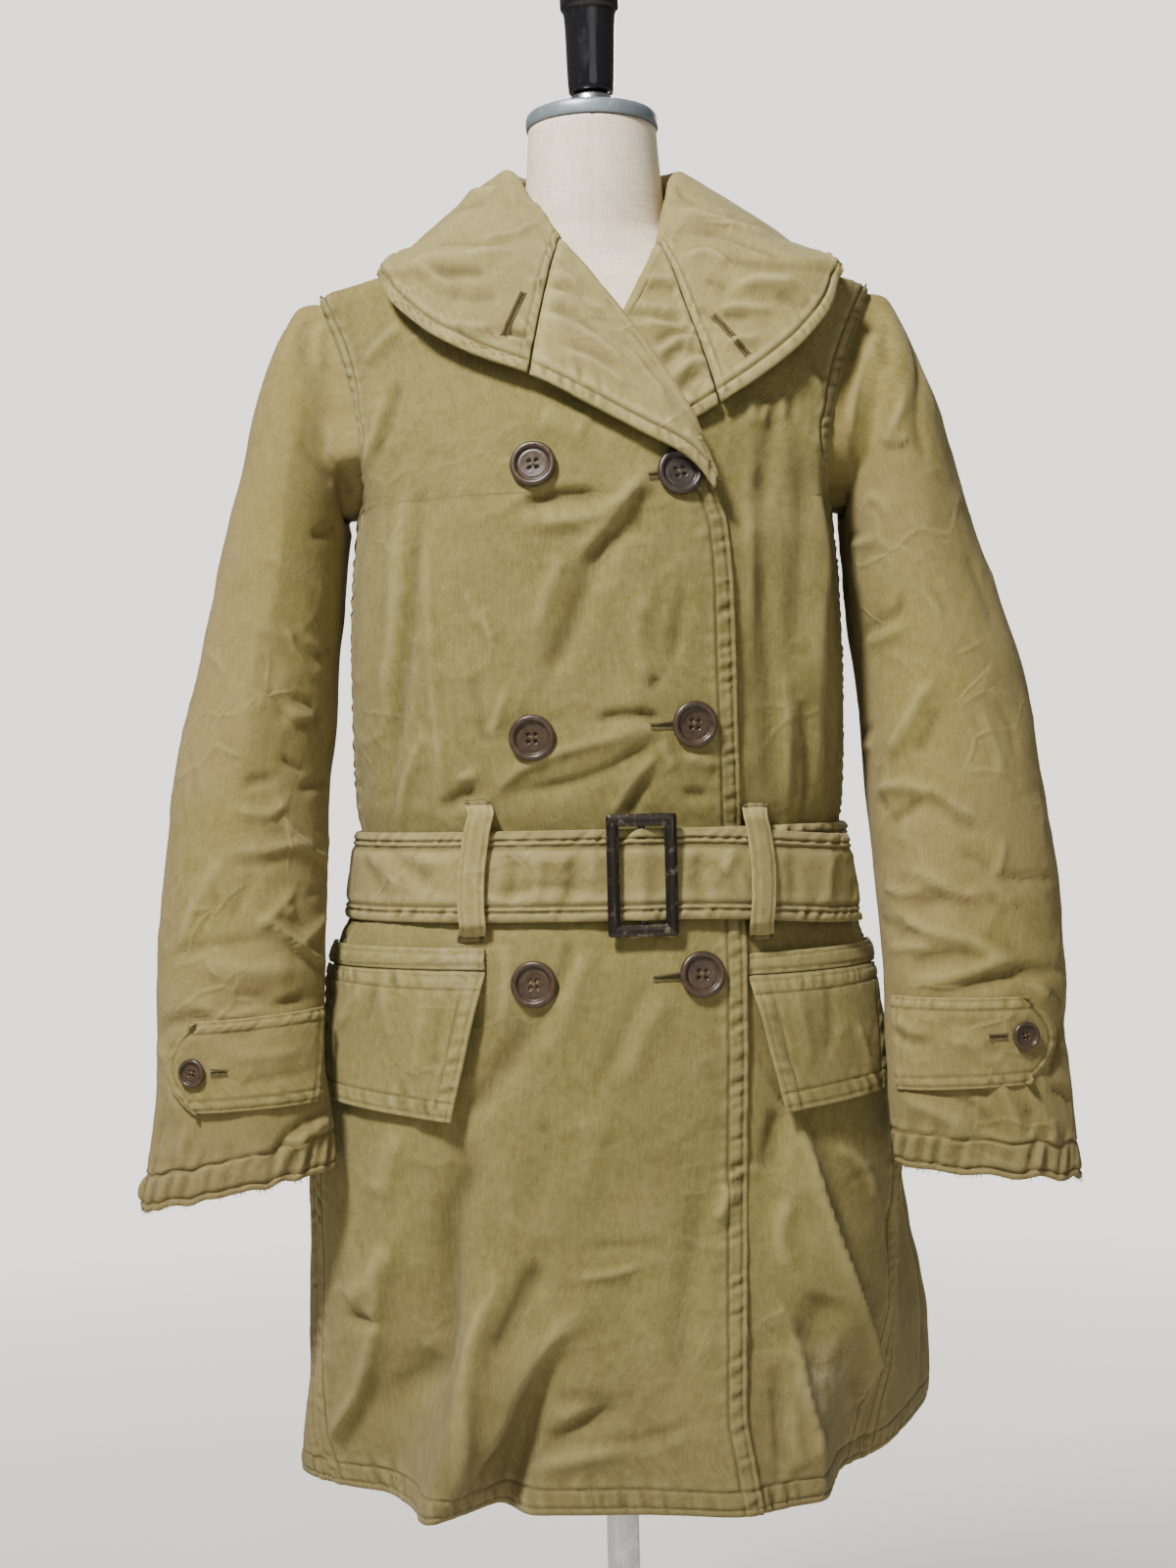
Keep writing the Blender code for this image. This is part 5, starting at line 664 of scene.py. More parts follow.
def fold_shift(bearing, z):
    """How far the folds move the cloth outwards and sideways."""
    out = np.zeros(np.broadcast(bearing, z).shape)
    lean = out.copy()
    for top, low, top_z, width, rise, side in SKIRT_FOLDS:
        down = np.clip((top_z - z) / (top_z - HEM_Z), 0.0, 1.0)
        middle = top + turn_between(top, low) * down
        spread = width * lerp(1.6, 1.0, down)
        share = smooth(down) * np.exp(-(turn_between(middle, bearing) / spread) ** 2)
        out += rise * share
        lean += side * share
    for top, top_z, low, low_z, width, rise in BODY_FOLDS:
        down = np.clip((top_z - z) / (top_z - low_z), 0.0, 1.0)
        middle = top + turn_between(top, low) * down
        share = np.sin(np.pi * down) ** 2
        out += rise * share * np.exp(-(turn_between(middle, bearing) / width) ** 2)
    return out, lean


def half_sizes(bearing, z):
    """Sine and cosine of a bearing, and the coat's half width and half depth there."""
    angle = np.radians(bearing)
    side, ahead = np.sin(angle), np.cos(angle)
    wide = np.where(side > 0, curve(COAT["z"], COAT["left"], z),
                    curve(COAT["z"], COAT["right"], z))
    deep = np.where(ahead > 0, curve(COAT["z"], COAT["front"], z),
                    curve(COAT["z"], COAT["back"], z))
    return side, ahead, wide, deep


def coat_radius(bearing, z):
    """The coat's distance from the pole's axis, before its folds."""
    side, ahead, wide, deep = half_sizes(bearing, z)
    power = curve(COAT["z"], COAT["power"], z)
    return (np.abs(side / wide) ** power + np.abs(ahead / deep) ** power) ** (-1 / power)


def skin(bearing, z):
    """Points of the coat's outer face."""
    bearing, z = np.broadcast_arrays(np.asarray(bearing, float), np.asarray(z, float))
    angle = np.radians(bearing)
    out, lean = fold_shift(bearing, z)
    radius = coat_radius(bearing, z) + out
    return np.stack((radius * np.sin(angle) + lean * np.cos(angle),
                     -radius * np.cos(angle) + lean * np.sin(angle), z), -1)


def skin_normal(bearing, z):
    """The outward direction of the coat's outer face."""
    step, rise = 1.0, 0.003
    across = skin(bearing + step, z) - skin(bearing - step, z)
    up = skin(bearing, np.minimum(z + rise, NECK_Z)) - skin(bearing, z - rise)
    return unit(np.cross(across, up))


def coat(bearing, z, lift=0.0):
    """Points held off the coat's outer face by lift."""
    lift = np.asarray(lift, float)
    return skin(bearing, z) + skin_normal(bearing, z) * lift[..., None]


def even_bearing(share_angle, z):
    """The bearing for an angle that goes round a flat section in even steps."""
    side, ahead, wide, deep = half_sizes(share_angle, z)
    return np.degrees(np.arctan2(wide * side, deep * ahead))


def even_share(bearing, z):
    """The even angle for a bearing, the reverse of even_bearing."""
    side, ahead, wide, deep = half_sizes(bearing, z)
    return np.degrees(np.arctan2(side / wide, ahead / deep))


def bearing_at(x, z, behind=False):
    """Bearing at which the coat's face passes x, on its front half or its back half."""
    x, z = np.broadcast_arrays(np.asarray(x, float), np.asarray(z, float))
    side = np.where(x >= 0, 1.0, -1.0)
    low, high = np.zeros(x.shape), np.full(x.shape, 90.0)
    for _ in range(HALVINGS):
        middle = (low + high) / 2
        bearing = 180.0 - middle if behind else middle
        short = side * skin(side * bearing, z)[..., 0] < np.abs(x)
        low, high = np.where(short, middle, low), np.where(short, high, middle)
    return side * (180.0 - low if behind else low)


def settle(point, lift, firm=0.0):
    """Moves points out until they are lift away from the coat's outer face."""
    for _ in range(SETTLE_ROUNDS):
        bearing = np.degrees(np.arctan2(point[..., 0], -point[..., 1]))
        z = np.minimum(np.maximum(point[..., 2], hem_z(bearing)), NECK_Z)
        normal = skin_normal(bearing, z)
        short = lift - dot(point - skin(bearing, z), normal)
        step = np.where(short > 0, short, short * firm)
        step = np.where(point[..., 2] >= NECK_Z, 0.0, step)
        point = point + normal * step[..., None]
    return point


def under_height(bearing, z):
    """The wearer's left front lies behind the other one, and deeper under its lapel."""
    lapped = between(UNDER_BEARINGS, bearing)
    deep = between(LAPEL_LOW, z) * between(LAPEL_HIGH, z)
    return -lapped * lerp(LAP_GAP, LAPEL_GAP, deep)


def under_point(bearing, z, lift):
    """The under front's face: low down it hangs plain behind the lapped front's folds."""
    point = coat(bearing, z, lift)
    share = between(SINK_HEIGHTS, z) * between(SINK_BEARINGS, bearing)
    radius = coat_radius(bearing, z) - UNDER_SINK * between(DEEP_HEIGHTS, z)
    angle = np.radians(bearing)
    plain = np.stack((radius * np.sin(angle), -radius * np.cos(angle), z), -1)
    return lerp(point, plain, share[..., None])


# ---------------------------------------------------------------- outlines of the panels


def side_seam(side, z):
    """The side seam's bearing at a height."""
    low, high = SIDE_SEAM[side]
    return lerp(low, high, (z - HEM_Z) / (ARMPIT_Z - HEM_Z))


def armhole_edge(side, part, share):
    """Bearing and height of the armhole's edge from the armpit (0) to the shoulder (1)."""
    z = lerp(ARMPIT_Z, SHOULDER_Z, share)
    x = curve(ARMHOLE["z"], ARMHOLE[part], z)
    if side > 0:
        low = np.searchsorted(COAT["z"], ARMPIT_Z)
        high = np.searchsorted(COAT["z"], SHOULDER_Z)
        less = COAT["right"] - COAT["left"]
        x = x - lerp(less[low], less[high], share)
    limit = 0.9985 * curve(COAT["z"], COAT["left" if side > 0 else "right"], z)
    bearing = bearing_at(side * np.minimum(x, limit), z, part == "back")
    bearing = np.where(share <= 0, side_seam(side, ARMPIT_Z), bearing)
    return np.where(z >= SHOULDER_Z - 1e-6, side * 90.0, bearing), z


def roll_edge(side, share):
    """A front's edge under the roll line, up to the shoulder seam's neck end."""
    if side < 0:
        first, last = 0.0, GORGE_RIGHT
    else:
        first, last = LAPEL_LEFT_END + ROLL_BEYOND, GORGE_LEFT
    station = lerp(first, last, np.minimum(share / ROLL_SHARE, 1.0))
    reach = np.minimum(station, LAPEL_LEFT_END)
    x = curve(COLLAR["station"], COLLAR["roll_x"], reach)
    z = curve(COLLAR["station"], COLLAR["roll_z"], reach)
    beyond = np.clip((station - LAPEL_LEFT_END) / ROLL_BEYOND, 0.0, 1.0)
    x, z = lerp(x, UNDER_FRONT_EDGE, beyond), lerp(z, ARMPIT_Z, beyond)
    inward = ROLL_WIDTH * smooth(share / ROLL_START)
    x, z = x + side * inward * ROLL_SIDE, z - inward * ROLL_DOWN
    start = bearing_at(x, z)
    up = np.clip((share - ROLL_SHARE) / (1 - ROLL_SHARE), 0.0, 1.0)
    return lerp(start, side * 90.0, smooth(up)), lerp(z, NECK_Z, up)


def front_outline(side, inner_x):
    """The side seam and armhole of a front, and its inner edge below the roll line."""
    def outer(share):
        low = np.maximum(-share, 0.0)
        z = lerp(ARMPIT_Z, HEM_Z, low)
        high = armhole_edge(side, "front", np.maximum(share, 0.0))
        below = share < 0
        return np.where(below, side_seam(side, z), high[0]), np.where(below, z, high[1])

    def inner(share):
        z = lerp(ARMPIT_Z, HEM_Z, np.maximum(-share, 0.0))
        high = roll_edge(side, np.maximum(share, 0.0))
        below = share < 0
        return np.where(below, bearing_at(inner_x(z), z), high[0]), np.where(below, z, high[1])

    return outer, inner


def front_face(outer, inner, face):
    """A front's surface as a function of the share up (-1 to 1) and the share across."""
    def at(share, t):
        (b0, z0), (b1, z1) = outer(share), inner(share)
        a0, a1 = even_share(b0, z0), even_share(b1, z1)
        z = lerp(z0[:, None], z1[:, None], t)
        bearing = even_bearing(lerp(a0[:, None], a1[:, None], t), z)
        hang = lerp(ARMPIT_Z, hem_z(bearing), np.maximum(-share, 0.0)[:, None])
        z = np.where(share[:, None] < 0, hang, z)
        return face(bearing, z)
    return at


def back_face(share, q):
    """The back's surface; q runs from the left seam (0) over the middle (1) to the right."""
    rows = []
    for side in (1, -1):
        z = lerp(ARMPIT_Z, HEM_Z, np.maximum(-share, 0.0))
        high = armhole_edge(side, "back", np.maximum(share, 0.0))
        below = share < 0
        bearing = np.where(below, side_seam(side, z), high[0])
        z = np.where(below, z, high[1])
        start = even_share(bearing, z) + (360.0 if side < 0 else 0.0)
        t = np.clip(q if side > 0 else 2 - q, 0.0, 1.0)
        up = share[:, None]
        bent = np.clip((t - SHOULDER_SHARE) / (1 - SHOULDER_SHARE), 0.0, 1.0)
        across = np.where(up > 0, lerp(t, bent, between(SHOULDER_ROWS, up)), t)
        flat = lerp(start[:, None], 180.0, across)
        middle_z = lerp(ARMPIT_Z, NECK_Z - 0.002, np.maximum(up, 0.0))
        height = lerp(z[:, None], middle_z, np.where(up > 0, t ** 0.8, t))
        bearing = even_bearing(flat, height)
        hang = lerp(ARMPIT_Z, hem_z(bearing), np.maximum(-up, 0.0))
        rows.append(coat(bearing, np.where(up < 0, hang, height)))
    return np.where((q <= 1)[..., None], rows[0], rows[1])


# ---------------------------------------------------------------- fine grids

SEAM = 0.0001
BULGE = 0.0007      # a rounded edge stands this far past the outer face's last points


def band_steps(lines, spacing, tail=0.010):
    """Distances from an edge: even, and closer together at its stitch lines."""
    steps = list(np.arange(SEAM + BULGE, max(lines, default=0.004) + tail, spacing))
    for line in lines:
        steps = [s for s in steps if abs(s - line) > 0.0019]
        steps += [line + off for off in (-0.0015, -0.0007, 0.0, 0.0007, 0.0015)]
    return np.array(sorted(steps))


def spread(first, last, total, spacing=None, count=None):
    """Distances along a line of this length: fixed near its ends, even between."""
    gap = total - first[-1] - last[-1]
    count = count or max(int(round(gap / spacing)), 2)
    middle = first[-1] + gap * np.arange(1, count) / count
    steps = np.concatenate((first, middle, (total - last)[::-1]))
    if len(steps) % 2 == 0:
        steps = np.concatenate((first, first[-1] + gap * np.arange(1, count + 1) / (count + 1),
                                (total - last)[::-1]))
    return steps


def lengths(points, axis):
    """Arc length along one axis of a grid of points."""
    step = np.linalg.norm(np.diff(points, axis=axis), axis=-1)
    zero = np.zeros_like(np.take(step, [0], axis=axis))
    return np.concatenate((zero, np.cumsum(step, axis=axis)), axis=axis)


def grid_normals(points, closed=False):
    if closed:
        across = np.roll(points, -1, axis=1) - np.roll(points, 1, axis=1)
    else:
        across = np.gradient(points, axis=1)
    return unit(np.cross(across, np.gradient(points, axis=0)))


def panel(at, shares, span, first, last, spacing):
    """A grid over a surface, each row's columns at fixed distances from its two ends."""
    dense = np.linspace(0.0, span, 321)
    points = at(shares, np.broadcast_to(dense, (len(shares), len(dense))))
    along = lengths(points, 1)
    widest = along[:, -1].max()
    count = max(int(round((widest - first[-1] - last[-1]) / spacing)), 2)
    if (len(first) + len(last) + count - 1) % 2 == 0:
        count += 1
    t = np.array([np.interp(spread(first, last, row[-1], count=count), row, dense)
                  for row in along])
    return at(shares, t)


def row_shares(hem_steps, top_steps, spacing):
    """Shares of a panel's rows, from the hem at -1 over the armpit at 0 to 1."""
    below, above = ARMPIT_Z - HEM_Z, SHOULDER_Z - ARMPIT_Z
    steps = spread(hem_steps, top_steps, below + above, spacing=spacing)
    return np.where(steps < below, steps / below - 1, (steps - below) / above)


# ---------------------------------------------------------------- relief


def near_line(points, normals, path):
    """Distance to a path, its share along the path and the side of the path, +1 or -1."""
    best = np.full(points.shape[:-1], np.inf)
    share, side = np.zeros_like(best), np.ones_like(best)
    marks = lengths(path[None], 1)[0]
    for a, b, mark in zip(path, path[1:], marks):
        along = b - a
        size = np.linalg.norm(along)
        t = np.clip(((points - a) @ along) / size ** 2, 0.0, 1.0)
        away = points - (a + t[..., None] * along)
        distance = np.linalg.norm(away, axis=-1)
        closer = distance < best
        best = np.where(closer, distance, best)
        share = np.where(closer, (mark + t * size) / marks[-1], share)
        turn = dot(np.cross(np.broadcast_to(along, away.shape), away), normals)
        side = np.where(closer, np.sign(turn), side)
    return best, share, side


def smooth_path(path, step=0.007):
    """A path's points joined by a smooth line of short steps."""
    run = lengths(path[None], 1)[0]
    at = np.linspace(0.0, run[-1], max(int(run[-1] / step), 1) + 1)
    return np.stack([curve(run, path[:, k], at) for k in range(3)], -1)


FRONT, BACK = 1, -1


def seen_place(points, normals, facing=1):
    """Finds places (x in mm, z in metres) on the side of a surface that faces front or back."""
    seen = normals[..., 1] * facing < -0.05
    flat = points[seen]

    def place(x, z):
        gaps = (flat[:, :1] - x / 1000) ** 2 + (flat[:, 2:] - z) ** 2
        return flat[np.argmin(gaps, axis=0)]
    return place


CREASE_END, CREASE_FADE = 0.25, 0.22    # a crease's height at its ends, and where it is whole


def crease_relief(points, normals, rows, place):
    """Ridges (+) and troughs (-) along given paths.

    A row holds a height, the widths to the left and right of one who walks along the path,
    a sharpness, and the path's places: x or bearing, and z. Lengths are in millimetres."""
    total = np.zeros(points.shape[:-1])
    for height, left, right, sharp, *path in rows:
        across, z = np.array(path, float).reshape(-1, 2).T
        line = smooth_path(place(across, z / 1000))
        reach = 0.0028 * max(left, right)
        near = ((points > line.min(axis=0) - reach) & (points < line.max(axis=0) + reach)).all(-1)
        distance, share, side = near_line(points[near], normals[near], line)
        width = np.where(side > 0, left, right) / 1000
        fade = lerp(CREASE_END, 1.0, smooth(np.minimum(share, 1 - share) / CREASE_FADE))
        total[near] += height / 1000 * fade * np.exp(-(distance / width) ** sharp)
    return total


LIP_DEPTH, LIP_WIDTH = 0.0009, 0.0022


def groove(distance, line, depth, width=0.0012):
    """The trough that a row of stitches pulls into the cloth."""
    return -depth * np.exp(-((distance - line) / width) ** 2)


def edge_relief(distance, along, lines, pucker, period, seed, depth=0.0006, slant=0.25):
    """An edge's rounded lip, its stitch grooves and the puckers between and beside them."""
    total = -LIP_DEPTH * np.exp(-(distance / LIP_WIDTH) ** 2)
    last = max(lines, default=0.003)
    for line in lines:
        total += groove(distance, line, depth)
    first = along + slant * distance + 0.0015 * ripple(along, 0.05, seed + 2)
    band = np.clip(distance / max(last, 1e-6), 0.0, 1.0)
    inside = np.sin(np.pi * np.clip(band, 0.06, 1.0)) ** 0.8
    beyond = np.exp(-np.maximum(distance - last, 0.0) / 0.006) * (distance > last)
    beyond *= smooth((distance - last) / 0.003)
    uneven = np.clip(0.75 + 0.5 * ripple(along, period * 8, seed + 3), 0.1, 1.4) * pucker
    total += uneven * ripple(first, period, seed) * inside
    total += 0.7 * uneven * ripple(first * 0.9, period * 1.3, seed + 1) * beyond
    return total


def crumple(points, length, seed):
    """Seeded fine creases that cross each other, from 0 to 1 on their crests."""
    return np.clip(1.0 - 2.2 * np.abs(waves(points, length, seed)), 0.0, 1.0) ** 1.5


def cloth_unevenness(points, seed, amount):
    """Long swells, and finer creases in patches."""
    patches = smooth(0.5 + 0.8 * waves(points, 0.12, seed + 5))
    return amount * (0.0011 * waves(points, 0.11, seed) + 0.0004 * waves(points, 0.038, seed + 1)
                     + patches * (0.0009 * crumple(points, 0.060, seed + 2)
                                  + 0.0005 * crumple(points, 0.030, seed + 3)))


# ---------------------------------------------------------------- meshes


def perimeter(rows, columns):
    """Indices round an open grid, in the turning sense of its faces."""
    ring = [(0, j) for j in range(columns - 1)]
    ring += [(i, columns - 1) for i in range(rows - 1)]
    ring += [(rows - 1, j) for j in range(columns - 1, 0, -1)]
    ring += [(i, 0) for i in range(rows - 1, 0, -1)]
    return ring


def quads(grid):
    """Faces through a grid of vertex numbers."""
    return np.stack((grid[:-1, :-1], grid[:-1, 1:], grid[1:, 1:], grid[1:, :-1]),
                    -1).reshape(-1, 4).tolist()


def make_object(name, points, faces, material, body="root"):
    """A smooth mesh that rides a body and fills a material slot."""
    mesh = bpy.data.meshes.new(name)
    mesh.from_pydata(points, [], faces)
    mesh.materials.append(material)
    mesh.shade_smooth()
    thing = bpy.data.objects.new(name, mesh)
    bpy.context.scene.collection.objects.link(thing)
    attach(thing, body)
    return thing


def set_field(mesh, name, values):
    """Stores one number for each point, which materials read by its name."""
    field = mesh.attributes.new(name, "FLOAT", "POINT")
    field.data.foreach_set("value", np.asarray(values, np.float32))


def set_uv(mesh, places):
    """Cut-piece coordinates in metres, for the weave."""
    layer = mesh.uv_layers.new(name="cut")
    corners = np.zeros(len(mesh.loops), np.int32)
    mesh.loops.foreach_get("vertex_index", corners)
    layer.data.foreach_set("uv", places[corners].astype(np.float32).ravel())


RIM_ANGLES = (40, 90, 140)      # the rounded edge's rows, in degrees from the outer face


def shell(name, outer, normals, wall, material, wear_and_shade, closed=False, bulge=BULGE):
    """A cloth wall: a fine outer face, a coarser inner one and rounded edges."""
    rows, columns = outer.shape[:2]
    inner = outer - normals * wall
    points = [outer.reshape(-1, 3)]
    grid = np.arange(rows * columns).reshape(rows, columns)
    count = rows * columns
    if closed:
        face_grid = np.concatenate((grid, grid[:, :1]), axis=1)
        rings = [[(0, j) for j in range(columns)],
                 [(rows - 1, j) for j in range(columns - 1, -1, -1)]]
    else:
        face_grid = grid
        rings = [perimeter(rows, columns)]
    faces = quads(face_grid)
    coarse = inner[::2, ::2]
    coarse_grid = count + np.arange(coarse.shape[0] * coarse.shape[1]).reshape(coarse.shape[:2])
    points.append(coarse.reshape(-1, 3))
    count += coarse_grid.size
    source = [grid.ravel(), grid[::2, ::2].ravel()]
    inner_faces = coarse_grid
    if closed:
        inner_faces = np.concatenate((coarse_grid, coarse_grid[:, :1]), axis=1)
    faces += [face[::-1] for face in quads(inner_faces)]
    for ring in rings:
        at = np.array(ring)
        edge, behind = outer[at[:, 0], at[:, 1]], inner[at[:, 0], at[:, 1]]
        inside = at.copy()
        inside[:, 0] = np.clip(at[:, 0], 1, rows - 2)
        if not closed:
            inside[:, 1] = np.clip(at[:, 1], 1, columns - 2)
        outward = unit(edge - outer[inside[:, 0], inside[:, 1]])
        previous = grid[at[:, 0], at[:, 1]]
        for degrees in RIM_ANGLES:
            angle = math.radians(degrees)
            line = (lerp(edge, behind, (1 - math.cos(angle)) / 2)
                    + outward * bulge * math.sin(angle))
            numbers = count + np.arange(len(at))
            points.append(line)
            source.append(grid[at[:, 0], at[:, 1]])
            count += len(at)
            faces += np.stack((np.roll(previous, -1), previous, numbers,
                               np.roll(numbers, -1)), -1).tolist()
            previous = numbers
        low = coarse_grid[at[::2, 0] // 2, at[::2, 1] // 2]
        faces += np.stack((np.roll(previous, -2)[::2], np.roll(previous, -1)[::2],
                           previous[::2], low, np.roll(low, -1)), -1).tolist()
    source = np.concatenate(source)
    thing = make_object(name, np.concatenate(points), faces, material)
    along, up = lengths(outer, 1), lengths(outer, 0)
    set_uv(thing.data, np.stack((along.ravel(), up.ravel()), -1)[source])
    # Stores the wear, painted highlight and painted shade that the cloth's colour reads
    set_field(thing.data, "wear_and_shade", wear_and_shade.ravel()[source])
    return thing


# ---------------------------------------------------------------- materials


class Paint:
    """A material's node tree, with short ways to add nodes to it."""

    def __init__(self, name, **constants):
        self.material = bpy.data.materials.new(name)
        self.material.use_nodes = True
        self.tree = self.material.node_tree
        self.shader = self.tree.nodes["Principled BSDF"]
        for socket, value in constants.items():
            self.shader.inputs[socket.replace("_", " ")].default_value = value
        self.place = self.node("TexCoord", output="Object")

    def node(self, kind, inputs=None, output=0, **settings):
        made = self.tree.nodes.new("ShaderNode" + kind)
        for key, value in settings.items():
            setattr(made, key, value)
        for key, value in (inputs or {}).items():
            if isinstance(value, bpy.types.NodeSocket):
                self.tree.links.new(value, made.inputs[key])
            else:
                made.inputs[key].default_value = value
        return made.outputs[output]

    def noise(self, scale, detail=3.0, rough=0.55, stretch=None, place=None, warp=0.0):
        place = place or self.place
        if stretch:
            place = self.node("Mapping", {"Vector": place, "Scale": stretch})
        return self.node("TexNoise", {"Vector": place, "Scale": scale, "Detail": detail,
                                      "Roughness": rough, "Distortion": warp}, "Fac")

    def span(self, value, low, high, to_low=0.0, to_high=1.0):
        return self.node("MapRange", {"Value": value, "From Min": low, "From Max": high,
                                      "To Min": to_low, "To Max": to_high})

    def math(self, operation, a, b=0.0, c=0.0):
        return self.node("Math", {0: a, 1: b, 2: c}, operation=operation)

    def mix(self, factor, a, b, blend="MIX"):
        a, b = (value if isinstance(value, bpy.types.NodeSocket) else (*value, 1.0)
                for value in (a, b))
        return self.node("Mix", {0: factor, 6: a, 7: b}, 2, data_type="RGBA",
                         blend_type=blend)

    def bump(self, height, distance, strength=1.0, under=None):
        inputs = {"Height": height, "Distance": distance, "Strength": strength}
        if under:
            inputs["Normal"] = under
        return self.node("Bump", inputs, "Normal")

    def finish(self, colour, roughness, normal):
        for socket, value in (("Base Color", colour), ("Roughness", roughness),
                              ("Normal", normal)):
            self.tree.links.new(value, self.shader.inputs[socket])
        return self.material


RIB_PITCH, WEAVE_PITCH = 0.0011, 0.0008     # threads' spacing along and across the cut


def cloth_paint(name, dark, mid, light, worn, stain=0.5, darker_below=None, rubbed=(), net=30.0,
                crush=1.0, tan=0.15):
    """Washed cotton: clouded dye, ridges and edges paler from wear and painted highlight, painted
    shade in grooves and crease troughs, and a fine rib.

    Between two given heights its lower part can turn browner and darker, and rubbed gives
    places and radii of patches that are rubbed pale. Fine creases lie along a net of this
    many meshes a metre, crush is their strength and that of their painted highlight, and tan that
    of its browner clouds."""
    paint = Paint(name, Specular_IOR_Level=0.18, Sheen_Weight=0.07, Sheen_Roughness=0.5)
    cut = paint.node("UVMap", uv_map="cut")
    # Wear with painted light and shade, from the relief: positive is paler, negative darker
    wear_and_shade = paint.node("Attribute", output="Fac", attribute_name="wear_and_shade")
    broad = paint.noise(5.5, 3.0, 0.5, warp=0.6)
    cloud = paint.noise(21.0, 4.0, 0.6, warp=0.4)
    fleck = paint.noise(160.0, 3.0, 0.7)
    thread = paint.noise(900.0, 2.0, 0.6, stretch=(1.0, 1.0, 0.35))
    colour = paint.mix(paint.span(broad, 0.30, 0.70, 0.35, 1.0), dark, mid)
    colour = paint.mix(paint.span(cloud, 0.40, 0.75, 0.0, 0.45), colour, light)
    colour = paint.mix(paint.span(fleck, 0.35, 0.70, 0.0, 0.30), colour, worn)
    colour = paint.mix(paint.span(thread, 0.30, 0.70, 0.0, 0.16), colour, dark)
    # Edges and ridges turn paler: rubbed wear at edges, painted highlight on crests
    faded = paint.math("MULTIPLY", paint.span(wear_and_shade, 0.08, 0.95),
                       paint.span(paint.noise(60.0), 0.25, 0.75, 0.35, 1.0))
    colour = paint.mix(paint.math("MULTIPLY", faded, 0.70), colour, worn)
    # Painted shade: grooves and crease troughs darken towards a third of the mid tone
    groove_shade = paint.span(wear_and_shade, -0.10, -0.95, 0.0, 0.62)
    colour = paint.mix(groove_shade, colour, tuple(0.36 * part for part in mid))
    stained = paint.span(paint.noise(9.0, 5.0, 0.65, warp=1.2), 0.60, 0.74, 0.0, stain)
    colour = paint.mix(stained, colour, tuple(0.80 * part for part in dark))
    # Browner and darker towards the bottom, between the given heights
    if darker_below:
        height = paint.node("SeparateXYZ", {"Vector": paint.place}, "Z")
        height = paint.math("MULTIPLY_ADD", paint.noise(11.0, 4.0, 0.6), 0.16, height)
        colour = paint.mix(paint.span(height, darker_below[0] + 0.08, darker_below[1] + 0.08, 0.0, 0.5), colour,
                           BELOW_TONE)
    for place, radius in rubbed:
        away = paint.node("VectorMath", {0: paint.place, 1: place}, "Value",
                          operation="DISTANCE")
        pale = paint.math("MULTIPLY", paint.span(away, radius * 0.3, radius, 1.0, 0.0),
                          paint.span(paint.noise(90.0, 5.0, 0.65), 0.40, 0.66, 0.0, 0.5))
        colour = paint.mix(pale, colour, RUBBED)
    browned = paint.noise(6.5, 4.0, 0.6, warp=0.8)
    colour = paint.mix(paint.span(browned, 0.44, 0.62, 0.0, tan), colour, TAN)
    drift = paint.node("TexNoise", {"Vector": paint.place, "Scale": 7.0, "Detail": 3.0}, "Color")
    drift = paint.node("VectorMath", {0: drift, 1: (0.09, 0.09, 0.09)}, operation="MULTIPLY")
    drift = paint.node("VectorMath", {0: paint.place, 1: drift}, operation="ADD")
    edge = paint.node("TexVoronoi", {"Vector": drift, "Scale": net}, "Distance",
                      feature="DISTANCE_TO_EDGE")
    patches = paint.span(paint.noise(net * 0.5, 2.0), 0.50, 0.62)
    wrinkled = paint.math("MULTIPLY", paint.span(edge, 0.0, 0.09, 1.0, 0.0), patches)
    # The fine creases' lines are painted paler: part worn thread, part painted highlight
    colour = paint.mix(paint.math("MULTIPLY", wrinkled, 0.16 * crush), colour, worn)
    streak = paint.noise(1.0, 3.0, 0.6, stretch=(620.0, 45.0, 1.0), place=cut)
    colour = paint.mix(paint.span(streak, 0.42, 0.70, 0.0, 0.20), colour, worn)
    ribs = paint.node("TexWave", {"Vector": cut, "Scale": 0.5 / RIB_PITCH,
                                  "Distortion": 0.6, "Detail": 1.0, "Detail Scale": 2.0},
                      "Fac", wave_type="BANDS", bands_direction="Y")
    weave = paint.node("TexWave", {"Vector": cut, "Scale": 0.5 / WEAVE_PITCH,
                                   "Distortion": 0.4, "Detail": 1.0, "Detail Scale": 2.0},
                       "Fac", wave_type="BANDS", bands_direction="X")
    normal = paint.bump(paint.math("ADD", ribs, weave), 0.00012, 0.7)
    normal = paint.bump(thread, 0.0003, 0.5, normal)
    normal = paint.bump(paint.noise(260.0, 3.0, 0.6), 0.0006, 0.5, normal)
    normal = paint.bump(paint.noise(70.0, 3.0, 0.6), 0.0008, 0.5, normal)
    normal = paint.bump(paint.noise(26.0, 4.0, 0.6, warp=0.5), 0.0018, 0.5, normal)
    normal = paint.bump(wrinkled, 0.0013 * crush, 0.55, normal)
    rough = paint.span(paint.noise(40.0), 0.3, 0.7, 0.80, 0.93)
    return paint.finish(colour, rough, normal)


# Colours of the browner, darker lower part, of the rubbed patches and of the browner clouds
BELOW_TONE, RUBBED, TAN = (0.150, 0.112, 0.050), (0.500, 0.460, 0.320), (0.275, 0.200, 0.098)
